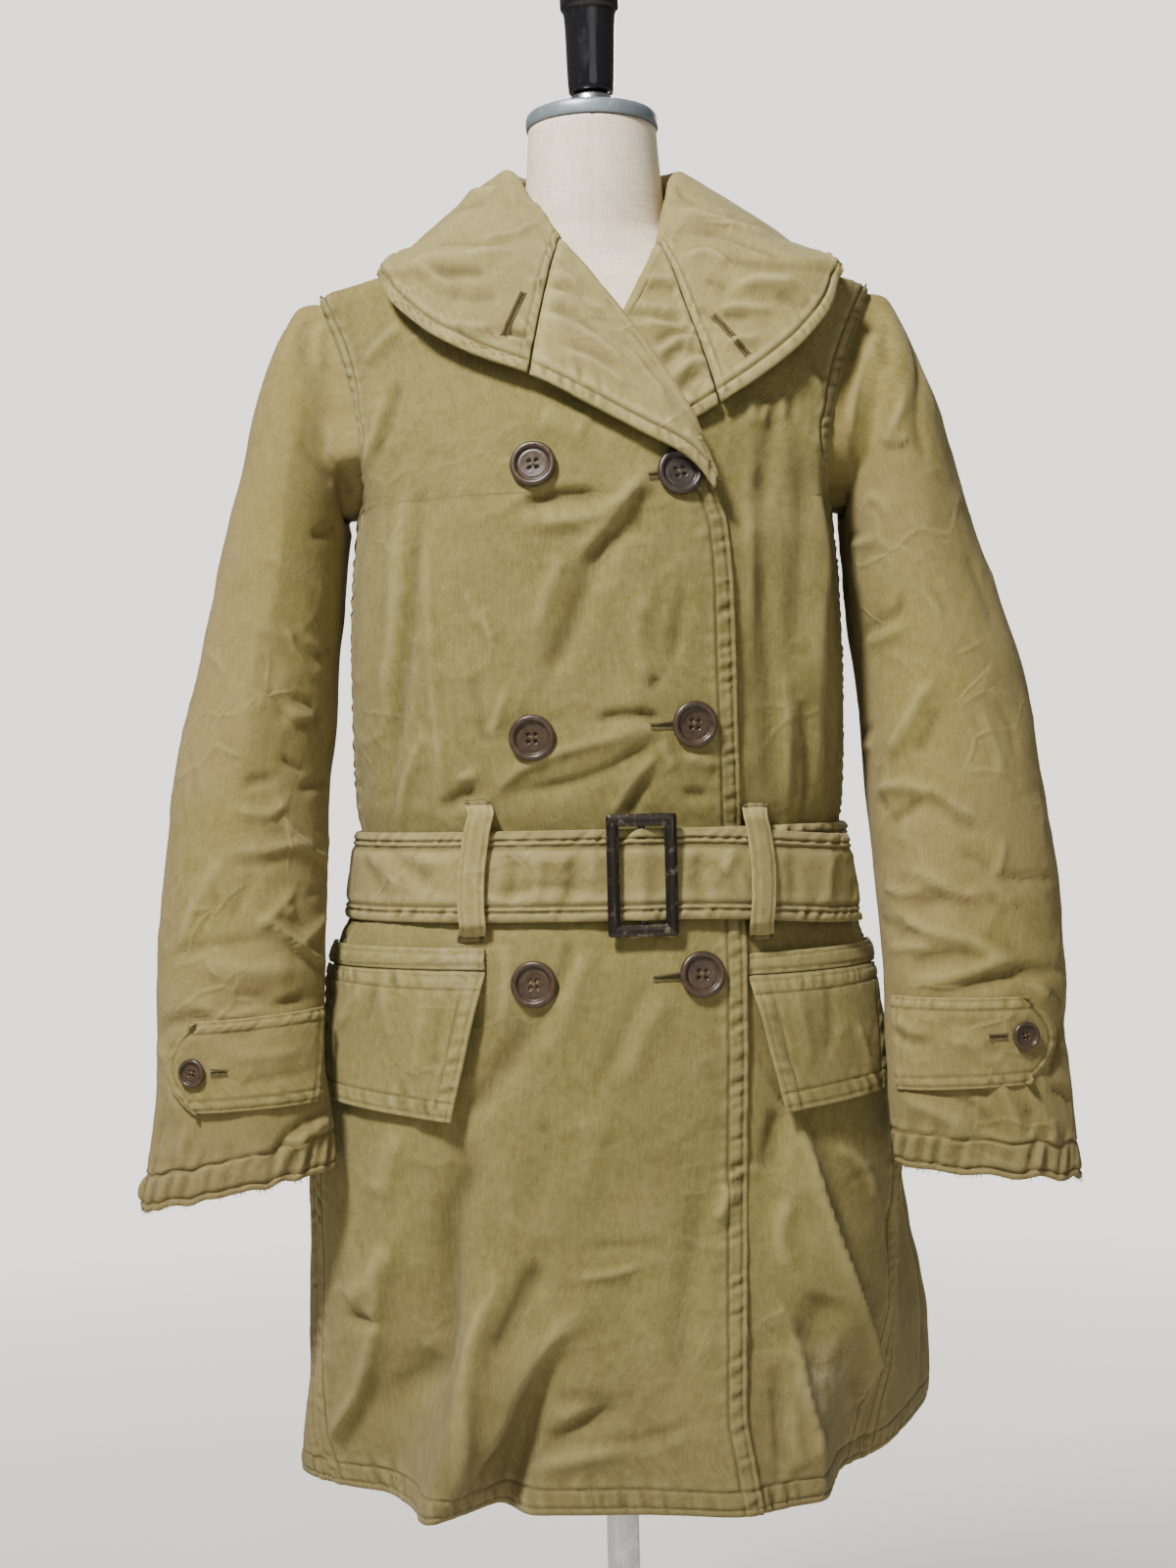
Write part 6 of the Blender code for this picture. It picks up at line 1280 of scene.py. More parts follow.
# Places and radii of the patches that are rubbed pale, under the belt and on the skirt
RUBBED_PLACES = (((-0.112, -0.135, 0.853), 0.030), ((0.150, -0.120, 0.560), 0.035))
CLOTH = cloth_paint("khaki_cloth", (0.138, 0.114, 0.029), (0.187, 0.155, 0.043),
                    (0.238, 0.205, 0.065), (0.371, 0.332, 0.147), darker_below=(0.66, 0.48),
                    rubbed=RUBBED_PLACES, net=23.0, crush=0.55)
SLEEVE_CLOTH = cloth_paint("khaki_sleeve", (0.163, 0.125, 0.031), (0.216, 0.171, 0.048),
                           (0.261, 0.217, 0.068), (0.371, 0.325, 0.142),
                           darker_below=(0.84, 0.69), net=27.0, tan=0.35)
COLLAR_CLOTH = cloth_paint("khaki_collar", (0.214, 0.174, 0.057), (0.287, 0.239, 0.087),
                           (0.347, 0.296, 0.121), (0.454, 0.407, 0.197), 0.35, crush=0.8)
BELT_CLOTH = cloth_paint("khaki_belt", (0.172, 0.139, 0.040), (0.236, 0.194, 0.063),
                         (0.291, 0.246, 0.091), (0.421, 0.370, 0.178))


def thread_paint():
    """Sewing thread, faded in places."""
    paint = Paint("thread", Specular_IOR_Level=0.3)
    tone = paint.noise(75.0, 3.0)
    colour = paint.mix(paint.span(tone, 0.3, 0.7), (0.077, 0.058, 0.022), (0.185, 0.148, 0.071))
    normal = paint.bump(paint.noise(1500.0), 0.0002, 0.6)
    return paint.finish(colour, paint.span(tone, 0.3, 0.7, 0.7, 0.85), normal)


def slit_shade_paint():
    """Painted shade: the dark inside of a buttonhole, as a colour on a thin strip."""
    paint = Paint("slit", Specular_IOR_Level=0.1)
    tone = paint.noise(600.0, 2.0)
    colour = paint.mix(tone, (0.012, 0.009, 0.004), (0.043, 0.033, 0.015))
    return paint.finish(colour, paint.span(tone, 0.3, 0.7, 0.85, 0.95),
                        paint.bump(tone, 0.0003, 0.5))


THREAD, SLIT_SHADE = thread_paint(), slit_shade_paint()


def button_paint(name, dark, light, gloss):
    """Brown plastic with faint swirls and dust in its scratches."""
    paint = Paint(name, Specular_IOR_Level=0.5, Coat_Weight=0.05, Coat_Roughness=0.2)
    swirl = paint.noise(95.0, 4.0, 0.6, warp=2.0)
    dust = paint.noise(700.0, 3.0, 0.7)
    colour = paint.mix(paint.span(swirl, 0.35, 0.68), dark, light)
    colour = paint.mix(paint.span(dust, 0.62, 0.80, 0.0, 0.35), colour, (0.20, 0.155, 0.11))
    rough = paint.span(paint.noise(240.0, 3.0), 0.3, 0.7, gloss, gloss + 0.16)
    return paint.finish(colour, rough, paint.bump(paint.noise(420.0, 3.0), 0.0003, 0.35))


BUTTON = button_paint("button_brown", (0.038, 0.024, 0.014), (0.072, 0.046, 0.026), 0.27)
BUTTON_DARK = button_paint("button_dark", (0.026, 0.019, 0.015), (0.052, 0.038, 0.030), 0.28)


def metal_paint(name, base, worn, rough, wear_from, metallic=1.0, scale=60.0):
    """Metal or enamel with rubbed patches, fine scratches and uneven gloss."""
    paint = Paint(name, Metallic=metallic)
    patches = paint.noise(scale, 4.0, 0.6)
    scratch = paint.noise(420.0, 3.0, 0.6, stretch=(1.0, 1.0, 0.06))
    colour = paint.mix(paint.span(patches, wear_from, wear_from + 0.18), base, worn)
    colour = paint.mix(paint.span(scratch, 0.60, 0.75, 0.0, 0.45), colour, worn)
    gloss = paint.span(paint.noise(scale * 2.2, 3.0), 0.3, 0.7, rough - 0.07, rough + 0.10)
    return paint.finish(colour, gloss, paint.bump(scratch, 0.00008, 0.5))


BUCKLE = metal_paint("buckle_bronze", (0.046, 0.040, 0.033), (0.300, 0.250, 0.190), 0.34,
                     0.56, 0.9, 130.0)
STEEL = metal_paint("steel", (0.52, 0.53, 0.54), (0.70, 0.71, 0.72), 0.24, 0.52)
PLATE = metal_paint("plate_enamel", (0.235, 0.280, 0.320), (0.420, 0.460, 0.490), 0.38, 0.58,
                    0.45)
BASE = metal_paint("base_enamel", (0.060, 0.062, 0.066), (0.16, 0.16, 0.165), 0.42, 0.62, 0.5,
                   28.0)
HANDLE = metal_paint("handle_black", (0.008, 0.008, 0.010), (0.035, 0.036, 0.040), 0.16,
                     0.66, 0.0, 45.0)


def linen_paint():
    """The form's linen: a plain weave with slubs, a little yellowed."""
    paint = Paint("linen", Specular_IOR_Level=0.2)
    warp = paint.noise(520.0, 3.0, 0.6, stretch=(1.0, 1.0, 0.10))
    weft = paint.noise(520.0, 3.0, 0.6, stretch=(0.12, 0.12, 1.0))
    slub = paint.noise(90.0, 4.0, 0.6, stretch=(0.25, 0.25, 1.0))
    aged = paint.noise(14.0, 3.0, 0.6)
    colour = paint.mix(paint.span(aged, 0.35, 0.68), (0.760, 0.650, 0.495),
                       (0.860, 0.765, 0.620))
    colour = paint.mix(paint.span(slub, 0.45, 0.70, 0.0, 0.45), colour, (0.86, 0.79, 0.67))
    colour = paint.mix(paint.span(paint.math("ADD", warp, weft), 0.85, 1.15, 0.0, 0.22),
                       colour, (0.40, 0.31, 0.20))
    normal = paint.bump(paint.math("ADD", warp, weft), 0.0004, 0.6)
    normal = paint.bump(slub, 0.0005, 0.4, normal)
    return paint.finish(colour, paint.span(slub, 0.3, 0.7, 0.82, 0.93), normal)


LINEN = linen_paint()

# ---------------------------------------------------------------- sewing

STITCH_PITCH, STITCH_LENGTH, STITCH_RADIUS = 0.0031, 0.0023, 0.00030
sewing = {"points": [], "faces": [], "count": 0}


def add_stitch(centre, way, up, length=STITCH_LENGTH, radius=STITCH_RADIUS):
    """One stitch: a thread's short arch, thickest in its middle."""
    side = np.cross(way, up)
    ends = (centre - way * length / 2 - up * radius, centre + way * length / 2 - up * radius)
    middle = (centre + up * radius, centre + side * radius, centre - up * radius,
              centre - side * radius)
    sewing["points"] += [*ends, *middle]
    base = sewing["count"]
    for a, b in ((2, 3), (3, 4), (4, 5), (5, 2)):
        sewing["faces"] += [(base, base + b, base + a), (base + 1, base + a, base + b)]
    sewing["count"] += 6


def sew(points, normals, pitch=STITCH_PITCH, length=STITCH_LENGTH, radius=STITCH_RADIUS,
        lift=0.0):
    """Stitches along a line on the cloth."""
    run = lengths(points[None], 1)[0]
    for at in np.arange(pitch / 2, run[-1], pitch):
        ends = [np.array([np.interp(at + half, run, points[:, k]) for k in range(3)])
                for half in (-length / 2, length / 2)]
        up = unit(np.array([np.interp(at, run, normals[:, k]) for k in range(3)]))
        way = unit(ends[1] - ends[0])
        up = unit(up - way * (up @ way))
        add_stitch((ends[0] + ends[1]) / 2 + up * lift, way, up, length, radius)


surfaces = {}       # each sewn piece's outer face: its points and normals
# Strengths of the painted highlight and shade on fine and on broad creases
FINE_FOLD_SHADING, BROAD_FOLD_SHADING = 0.60, 0.28
RIDGE_HEIGHT, FOLD_HEIGHT = 0.00045, 0.007      # heights at which ridges count as wholly paled and grooves wholly shaded
RUBBED_REACH = 0.0035                           # how far in an edge is rubbed
FAR_AWAY = 9.0                                  # metres: past every edge


def wear_and_shade_of(relief, distance):
    """Paler ridges and edges (+), part rubbed wear and part painted highlight, and painted shade
    in grooves (-), from the relief.
    """
    kernel = np.ones(7) / 7
    soft = relief
    for axis in (0, 1):
        padded = np.concatenate((np.repeat(np.take(soft, [0], axis), 3, axis), soft,
                                 np.repeat(np.take(soft, [-1], axis), 3, axis)), axis)
        soft = np.apply_along_axis(np.convolve, axis, padded, kernel, "valid")
    ridges = np.clip((relief - soft) / RIDGE_HEIGHT, -1.0, 1.0)
    rubbed = np.exp(-(distance / RUBBED_REACH) ** 2)
    return np.clip(ridges + 0.8 * rubbed, -1.0, 1.0)


def fold_shading(relief):
    """Painted highlight on the creases' crests and painted shade in their troughs, slighter."""
    fine = wear_and_shade_of(relief / 3.0, np.full(relief.shape, FAR_AWAY))
    return FINE_FOLD_SHADING * fine + BROAD_FOLD_SHADING * np.clip(relief / FOLD_HEIGHT, -1.0, 1.0)


def dress(name, grid, wall, material, edges, creases, seed,
          amount=1.0, closed=False, joined=()):
    """One sewn piece over its base grid: relief, wall, stitches and its cut coordinates.

    edges holds an edge's name, its stitch lines and its puckers. At a joined edge the
    creases fade away over a reach, so that two panels meet."""
    normals = grid_normals(grid, closed)
    along, up = lengths(grid, 1), lengths(grid, 0)
    far, high = along[:, -1:] - along, up[-1:] - up
    runs = {"start": (along, up), "end": (far, up), "low": (up, along), "high": (high, along)}
    relief = np.zeros(along.shape)
    nearest = np.full(relief.shape, FAR_AWAY)
    for number, (edge, lines, pucker, period, *depth) in enumerate(edges):
        distance, run = runs[edge]
        relief += edge_relief(distance, run, lines, pucker, period, seed * 10 + number, *depth)
        nearest = np.minimum(nearest, distance)
    # Wear at edges, with painted highlight on ridges and painted shade in grooves
    wear_and_shading = wear_and_shade_of(relief, nearest)
    folds = cloth_unevenness(grid, seed, amount)
    for rows, place in creases:
        if place in (FRONT, BACK):
            place = seen_place(grid, normals, place)
        folds += crease_relief(grid, normals, rows, place)
    for edge, reach in joined:
        folds *= smooth(runs[edge][0] / reach)
    # The creases add painted highlight on their crests and painted shade in their troughs
    wear_and_shading = np.clip(wear_and_shading + fold_shading(folds), -1.0, 1.0)
    relief += folds
    outer = grid + normals * relief[..., None]
    fine = grid_normals(outer, closed)
    thing = shell(name + "_cloth", outer, normals, wall, material,
                  wear_and_shading, closed)
    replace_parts(thing, name)
    for edge, lines, *_ in edges:
        distance = runs[edge][0]
        for line in lines:
            if edge in ("start", "end"):
                at = np.argmin(np.abs(distance.mean(axis=0) - line))
                sew(outer[:, at], fine[:, at])
            else:
                at = np.argmin(np.abs(distance.mean(axis=1) - line))
                sew(outer[at], fine[at])
    surfaces[name] = (outer, fine)
    return thing


# ---------------------------------------------------------------- panels

# Stitch lines, as distances from their edges
EDGE_LINES, HEM_LINES = (0.0035, 0.0135), (0.0045, 0.0170)
ARMHOLE_LINES, PLAIN = (0.0030, 0.0130), (0.0040,)
# A panel's last rows: near the shoulder seam a little height is a long way over the shoulder
SHOULDER_STEPS, SHOULDER_REACH = (0.000026, 0.00015, 0.0004, 0.0017), 0.012
# An edge's puckers: their height and spacing, and the depth of its stitch grooves
ARMHOLE_PUCKER, EDGE_PUCKER = (0.0007, 0.0085, 0.0013), (0.0008, 0.0080, 0.0011)
HEM_PUCKER, BACK_HEM_PUCKER, SEAM_PUCKER = (0.0010, 0.0095, 0.0010), \
    (0.0008, 0.0095, 0.0008), (0.0003, 0.012)
SIDE_FADE, SHOULDER_FADE = 0.030, 0.015     # creases fade over this much at a joined edge
FRONT_SPACING, BACK_SPACING, ROW_SPACING = 0.0031, 0.0052, 0.0024


def under_place(bearing, z):
    return under_point(bearing, z, under_height(bearing, z))


def meet(grid):
    """Carries a panel's last rows on to the shoulder seam, where y is 0."""
    up = lengths(grid, 0)
    last = grid[-1, :, 1]
    near = smooth(1 - (up[-1:] - up) / SHOULDER_REACH)
    near = near * smooth((SHOULDER_REACH - np.abs(last)) / 0.003)
    grid[..., 1] -= near * (last - np.sign(last) * BULGE / 2)
    return grid


def make_panels():
    """The two fronts and the back, from hem to shoulder."""
    top = np.concatenate((SHOULDER_STEPS, band_steps((), 0.0021)))
    shares = row_shares(band_steps(HEM_LINES, 0.0021), np.sort(top), ROW_SPACING)
    for side, name in ((-1, "front_right"), (1, "front_left")):
        if side < 0:
            outline = front_outline(-1, lambda z: curve(FRONT_EDGE["z"], FRONT_EDGE["x"], z))
            at = front_face(*outline, coat)
        else:
            outline = front_outline(1, lambda z: np.full(z.shape, UNDER_FRONT_EDGE))
            at = front_face(*outline, under_place)
        grid = panel(at, shares, 1.0, band_steps(ARMHOLE_LINES, 0.0021),
                     band_steps(EDGE_LINES, 0.0021), FRONT_SPACING)
        edges = [("start", ARMHOLE_LINES, *ARMHOLE_PUCKER), ("end", EDGE_LINES, *EDGE_PUCKER),
                 ("low", HEM_LINES, *HEM_PUCKER), ("high", PLAIN, *SEAM_PUCKER)]
        creases = [(CREASES[name], coat)]
        if side > 0:
            troughs = [row for row in CREASES["front_right"] if row[0] < 0]
            creases = [(CREASES[name], under_place), (troughs, coat)]
        joined = (("start" if side < 0 else "end", SIDE_FADE), ("high", SHOULDER_FADE))
        grid = meet(grid)
        if side > 0:
            grid = grid[:, ::-1]
            swap = {"start": "end", "end": "start"}
            edges = [(swap.get(edge, edge), *rest) for edge, *rest in edges]
        dress(name, grid, WALL, CLOTH, edges, creases, 3 - side,
              joined=joined)
    grid = panel(back_face, shares, 2.0, band_steps(ARMHOLE_LINES, 0.0021),
                 band_steps(ARMHOLE_LINES, 0.0021), BACK_SPACING)
    grid = meet(grid)
    dress("coat_back", grid, WALL, CLOTH,
          [("start", ARMHOLE_LINES, *ARMHOLE_PUCKER), ("end", ARMHOLE_LINES, *ARMHOLE_PUCKER),
           ("low", HEM_LINES, *BACK_HEM_PUCKER), ("high", PLAIN, *SEAM_PUCKER)],
          [(CREASES["coat_back"], coat)], 7,
          joined=(("start", SIDE_FADE), ("end", SIDE_FADE), ("high", SHOULDER_FADE)))


# ---------------------------------------------------------------- sleeves

SLEEVE_RINGS, SLEEVE_BLEND, ARMHOLE_GAP = 22, 3.0, 0.0008
SLEEVE_TUCK = 0.0055                        # its seam allowance, under the panels
SLEEVE_TURNS, ROUND_SLEEVE = 152, 16        # columns, and places named round the armhole
SLEEVE_FIRST = 10.0                         # the place where the columns start, behind
CUFF_LINES, CUFF_WEAR = (0.0045, 0.0240), 0.0016
CUFF_ROUND, CUFF_FRAYS = 0.30, 0.021        # length round a cuff, and that of its worn bites
SLEEVE_STITCH, CUFF_PUCKER = (0.00035, 0.012), (0.0019, 0.0095, 0.0019)


def sleeve_point(side, rings, k):
    """The sleeve's face at ring places (0 to 22) and places round it (0 to 16)."""
    rows = SLEEVE[side]
    share = np.abs(1 - k / 8)
    parts = [armhole_edge(side, part, share) for part in ("front", "back")]
    front = k <= 8
    bearing = np.where(front, parts[0][0], parts[1][0])
    z = parts[0][1]
    armhole = coat(bearing, z, np.full(k.shape, ARMHOLE_GAP))
    middle = armhole[:-1].mean(axis=0)
    ring = rows["ring"][-1] * (rings / SLEEVE_RINGS) ** 1.12
    value = {key: curve(rows["ring"], rows[key], ring) for key in rows}
    outer = np.stack((value["outer_x"], value["mid_y"], value["outer_z"]), -1)
    inner = np.stack((value["inner_x"], value["mid_y"], value["inner_z"]), -1)
    centre, arm = (outer + inner) / 2, (outer - inner) / 2
    angle = 2 * np.pi * k / ROUND_SLEEVE
    oval = centre[:, None] + arm[:, None] * np.cos(angle)[None, :, None]
    oval[..., 1] -= value["half_y"][:, None] * np.sin(angle)
    blend = smooth(ring / SLEEVE_BLEND)[:, None, None]
    points = lerp(armhole[None] + (centre - middle)[:, None], oval, blend)
    first = armhole + np.array((side * ARMHOLE_GAP, 0.0, 0.0))
    points = lerp(first[None], points, smooth(rings)[:, None, None])
    clear = lerp(0.0012, 0.0100, smooth((1.05 - points[..., 2]) / 0.08))
    clear = np.where(points[..., 2] > 1.16, 0.0012, clear)
    low = (points[..., 2] < ARMPIT_Z + 0.002) & (rings > 0)[:, None]
    return np.where(low[..., None], settle(points, clear), points)


def tucked_rows(side, k, first):
    """The sleeve's seam allowance, under the panels' armhole edges."""
    share = np.abs(1 - k / 8)
    parts = [armhole_edge(side, part, share) for part in ("front", "back")]
    bearing = np.where(k <= 8, parts[0][0], parts[1][0])
    sunk = coat(bearing, parts[0][1], np.full(k.shape, -WALL - 0.0008))
    sunk = sunk - np.array((side * SLEEVE_TUCK, 0.0, 0.0))
    return lerp(sunk[None], first[None], np.array((0.0, 0.25, 0.5, 0.75))[:, None, None])


def make_sleeves():
    """Closed tubes from under the armholes to the worn cuffs."""
    turns = SLEEVE_TURNS
    for side, name in ((-1, "sleeve_right"), (1, "sleeve_left")):
        k = (SLEEVE_FIRST + ROUND_SLEEVE * np.arange(turns + 1) / turns) % ROUND_SLEEVE
        dense = np.linspace(0.0, SLEEVE_RINGS, 260)
        points = sleeve_point(side, dense, k)
        points = np.concatenate((tucked_rows(side, k, points[0]), points))[:, :-1]
        run = lengths(points, 0)
        steps = spread(band_steps((0.0025,), 0.0024), band_steps(CUFF_LINES, 0.0022),
                       run[-1].mean(), spacing=0.0034)
        grid = np.empty((len(steps), turns, 3))
        round_cuff = CUFF_ROUND * np.arange(turns) / turns
        worn = 1 + 0.6 * ripple(round_cuff, CUFF_FRAYS, 13 + side)
        for j in range(turns):
            scaled = steps * (run[-1, j] - CUFF_WEAR * worn[j]) / run[-1].mean()
            for axis in range(3):
                grid[:, j, axis] = np.interp(scaled, run[:, j], points[:, j, axis])
        if side < 0:
            grid = grid[:, ::-1]
        dress(name, grid, WALL, SLEEVE_CLOTH,
              [("low", (0.0025,), *SLEEVE_STITCH), ("high", CUFF_LINES, *CUFF_PUCKER)],
              [(CREASES[name], FRONT), (CREASES[name + "_back"], BACK)], 11 + side,
              amount=0.9, closed=True,
              joined=(("low", 0.012),))


# ---------------------------------------------------------------- collar

LAPEL_RADIUS, COLLAR_RADIUS, LAPEL_HEIGHT = 0.0026, 0.0050, 0.0052
LAPEL_FOOT = (0.0012, 0.0076)
LAPEL_HUMP, COLLAR_HUMP = 0.0015, 0.0040    # the fall's crown between roll and edge
COLLAR_LINES, GORGE_LINES = (0.0085,), (0.0062,)


def collar_face(stations):
    """Sections across the collar: up its stand, over the roll and down the fall."""
    value = {key: curve(COLLAR["station"], COLLAR[key], stations) for key in COLLAR}
    upright = smooth((value["stand"] - 0.005) / 0.02)[:, None]
    left = (stations >= (GORGE_RIGHT + GORGE_LEFT) / 2)[:, None]

    def ground(point):
        bearing = np.degrees(np.arctan2(point[..., 0], -point[..., 1]))
        return np.where(left[:, 0] if point.ndim == 2 else left,
                        under_height(bearing, point[..., 2]), 0.0)

    free = np.stack((value["roll_x"], value["roll_y"], value["roll_z"]), -1)
    edge = np.stack((value["edge_x"], value["edge_y"], value["edge_z"]), -1)
    roll_z = np.minimum(value["roll_z"], NECK_Z - 0.004)
    bearing = bearing_at(value["roll_x"], roll_z)
    facing = skin_normal(bearing, roll_z)
    roll = lerp(coat(bearing, roll_z, ground(free)), free, upright)
    lift_way = unit(lerp(facing, np.array((0.0, 0.0, 1.0)), upright))
    side_way = edge - roll
    side_way = unit(side_way - lift_way * dot(side_way, lift_way)[:, None])
    top = roll + lift_way * lerp(LAPEL_HEIGHT, 0.0, upright)
    radius = lerp(LAPEL_RADIUS, COLLAR_RADIUS, upright)
    foot = (top + side_way * lerp(LAPEL_FOOT[0], 0.0, upright)
            - lift_way * lerp(LAPEL_FOOT[1], value["stand"][:, None], upright))
    arc = []
    for angle in np.radians(np.linspace(180, 90, 13)):
        arc.append(top + side_way * radius * (1 + math.cos(angle))
                   + lift_way * radius * (math.sin(angle) - 1))
    stand = [lerp(foot, arc[0], t) for t in np.linspace(0.0, 1.0, 10)[:-1]]
    t = np.linspace(0.0, 1.0, 61)[1:, None]
    fall = lerp(arc[-1][:, None], edge[:, None], t)
    hump = np.sin(np.pi * t[:, 0]) * lerp(LAPEL_HUMP, COLLAR_HUMP, upright)
    fall = fall + lift_way[:, None] * hump[..., None]
    firm = np.where(fall[..., 1] < 0, smooth((1.355 - fall[..., 2]) / 0.05), 0.0)
    need = WALL + 0.0012 + hump + ground(fall) + value["lift"][:, None] * t[:, 0] ** 1.5
    fall = settle(fall, need, firm)
    return np.concatenate((np.stack(stand + arc, axis=1), fall), axis=1)


def resample(points, spacing, last, first=(0.0, 0.0015, 0.003)):
    """Each row's points at even steps, and at fixed distances from its two ends."""
    run = lengths(points, 1)
    widest = run[:, -1].max()
    first = np.array(first)
    count = max(int(round((widest - first[-1] - last[-1]) / spacing)), 2)
    if (len(first) + len(last) + count - 1) % 2 == 0:
        count += 1
    rows = []
    for line, marks in zip(points, run):
        steps = spread(first, last, marks[-1], count=count)
        rows.append(np.stack([np.interp(steps, marks, line[:, k]) for k in range(3)], -1))
    return np.array(rows)


def make_collar():
    """The right lapel, the collar and the left lapel, along one rolled surface."""
    pieces = (("lapel_right", 0.15, GORGE_RIGHT - 0.012, (0.075, 0.200)),
              ("collar", GORGE_RIGHT + 0.012, GORGE_LEFT - 0.012, (0.72, 0.165)),
              ("lapel_left", GORGE_LEFT + 0.012, LAPEL_LEFT_END - 0.1, (0.075, 0.130)))
    for number, (name, first, last, flat) in enumerate(pieces):
        dense = np.linspace(first, last, int((last - first) * 30))
        points = collar_face(dense)
        run = lengths(points, 0)[:, -1]
        gorge = GORGE_LINES if name == "collar" else ()
        marks = band_steps(gorge, 0.0021)
        steps = spread(marks, marks, run[-1], spacing=0.0026)
        at = np.interp(steps, run, dense)
        grid = resample(collar_face(at), 0.0030, band_steps(COLLAR_LINES, 0.0019))
        grid = (grid - grid_normals(grid) * WALL)[::-1]
        dress(name, grid, WALL, COLLAR_CLOTH,
              [("end", COLLAR_LINES, 0.0012, 0.0075, 0.0020), ("low", gorge, 0.0006, 0.009),
               ("high", gorge, 0.0006, 0.009)],
              [(CREASES[name], FRONT), (CREASES.get(name + "_back", ()), BACK)],
              21 + number, amount=0.8)


# ---------------------------------------------------------------- pockets, belt and tabs

# side, near_top, near_low, far_top, far_low, top_z, near_low_z, far_low_z
FLAPS = {"flap_right": (-1, -0.0850, -0.1075, -0.2010, -0.1990, 0.8450, 0.7440, 0.7540),
         "flap_left": (1, 0.0925, 0.1135, 0.1870, 0.1890, 0.8380, 0.7450, 0.7530)}
FLAP_LIFT_TOP, FLAP_LIFT_LOW, FLAP_CURL = 0.0044, 0.0085, 0.006
FLAP_ROUND, FLAP_ALLOWANCE = 1.22, 0.01     # its curved width, and cloth in its seams
WELT_HEIGHT, WELT_LIFT = 0.0150, 0.0044
FLAP_LINES, WELT_LINES = (0.0030, 0.0125), (0.0028, 0.0120)


def patch(corners, u, v, lift):
    """Points over the coat between (x, z) corners: low near, low far, top near, top far."""
    low_near, low_far, top_near, top_far = np.array(corners)
    near = lerp(low_near, top_near, v[:, None])
    far = lerp(low_far, top_far, v[:, None])
    first = even_share(bearing_at(near[:, 0], near[:, 1]), near[:, 1])
    last = even_share(bearing_at(far[:, 0], far[:, 1]), far[:, 1])
    z = lerp(near[:, 1:], far[:, 1:], u)
    bearing = even_bearing(lerp(first[:, None], last[:, None], u), z)
    return coat(bearing, z, lift(u, v[:, None], bearing, z))


def even_grid(face, width, height, lines, spacing):
    """A grid over face(u, v), close together at the lines along its four edges."""
    marks = band_steps(lines, 0.0017, 0.004)
    u = spread(marks, marks, width, spacing=spacing) / width
    v = spread(marks, marks, height, spacing=spacing) / height
    return face(u, v)


def four_edges(lines, pucker, period, top=True):
    edges = [(edge, lines, pucker, period) for edge in ("start", "end", "low")]
    return edges + [("high", lines if top else (), pucker, period)]


def make_pockets():
    """Each pocket's flap, and the welt over its top edge."""
    for name, row in FLAPS.items():
        side, near_top, near_low, far_top, far_low, top_z, near_low_z, far_low_z = row

        def under(bearing, z):
            return under_height(bearing, z) if side > 0 else 0.0

        def flap_lift(u, v, bearing, z):
            curl = FLAP_CURL * (1 - u) ** 4 * smooth((1 - v) * 3)
            return under(bearing, z) + lerp(FLAP_LIFT_LOW, FLAP_LIFT_TOP, v ** 0.7) + curl

        def welt_lift(u, v, bearing, z):
            return under(bearing, z) + WELT_LIFT

        corners = ((near_low, near_low_z), (far_low, far_low_z),
                   (near_top, top_z), (far_top, top_z))
        width, height = abs(far_top - near_top) * FLAP_ROUND, top_z - near_low_z
        grid = even_grid(lambda u, v: patch(corners, u, v, flap_lift), width, height,
                         FLAP_LINES, 0.0024)
        low = top_z + SEAM * 1.4
        corners_welt = ((near_top, low), (far_top, low), (near_top, low + WELT_HEIGHT),
                        (far_top, low + WELT_HEIGHT))
        welt = even_grid(lambda u, v: patch(corners_welt, u, v, welt_lift), width,
                         WELT_HEIGHT, WELT_LINES[:1], 0.0016)
        if side < 0:
            grid, welt = grid[:, ::-1], welt[:, ::-1]
        dress(name, grid, STRAP_WALL, CLOTH, four_edges(FLAP_LINES, 0.0005, 0.011),
              [(CREASES[name], FRONT)], 31 + side,
              amount=0.8)
        dress(name.replace("flap", "welt"), welt, STRAP_WALL, CLOTH,
              four_edges(WELT_LINES[:1], 0.0003, 0.012), (), 35 + side,
              amount=0.5)


BELT_UNDER_LIFT, BELT_OVER_LIFT = 0.0046, 0.0086
BELT_START, BELT_TAIL = 14.0, 73.0
BELT_TAIL_TURN = 60.0               # degrees over which the tail comes away
BELT_RISING = (265.0, 340.0)        # turn over which it climbs onto its own start
BELT_BUCKLE_TURN = 300.0            # past this turn the belt may lie in the buckle
BELT_TAIL_LIFT, BELT_TAIL_DROP = 0.006, 0.0095
BELT_LINES, TAB_LINES = (0.0060, 0.0100), (0.0016, 0.0080)
BELT_PUCKER, BELT_END = (0.0009, 0.011, 0.0016), (0.003,)
BUCKLE_X, BUCKLE_Z, BUCKLE_RISE, BUCKLE_RISE_WIDTH = 0.0202, 0.9075, 0.0060, 0.0085


def belt_plane(bearing, z, lift):
    """Points lift away from the flat band round the waist, and its outward normals."""
    low, high = skin(bearing, BELT_LOW), skin(bearing, BELT_HIGH)
    up = ((z - BELT_LOW) / (BELT_HIGH - BELT_LOW))[..., None]
    across = skin(bearing + 1.0, BELT_HIGH) - skin(bearing - 1.0, BELT_HIGH)
    normal = unit(np.cross(across, high - low))
    return lerp(low, high, up) + normal * np.asarray(lift, float)[..., None], normal


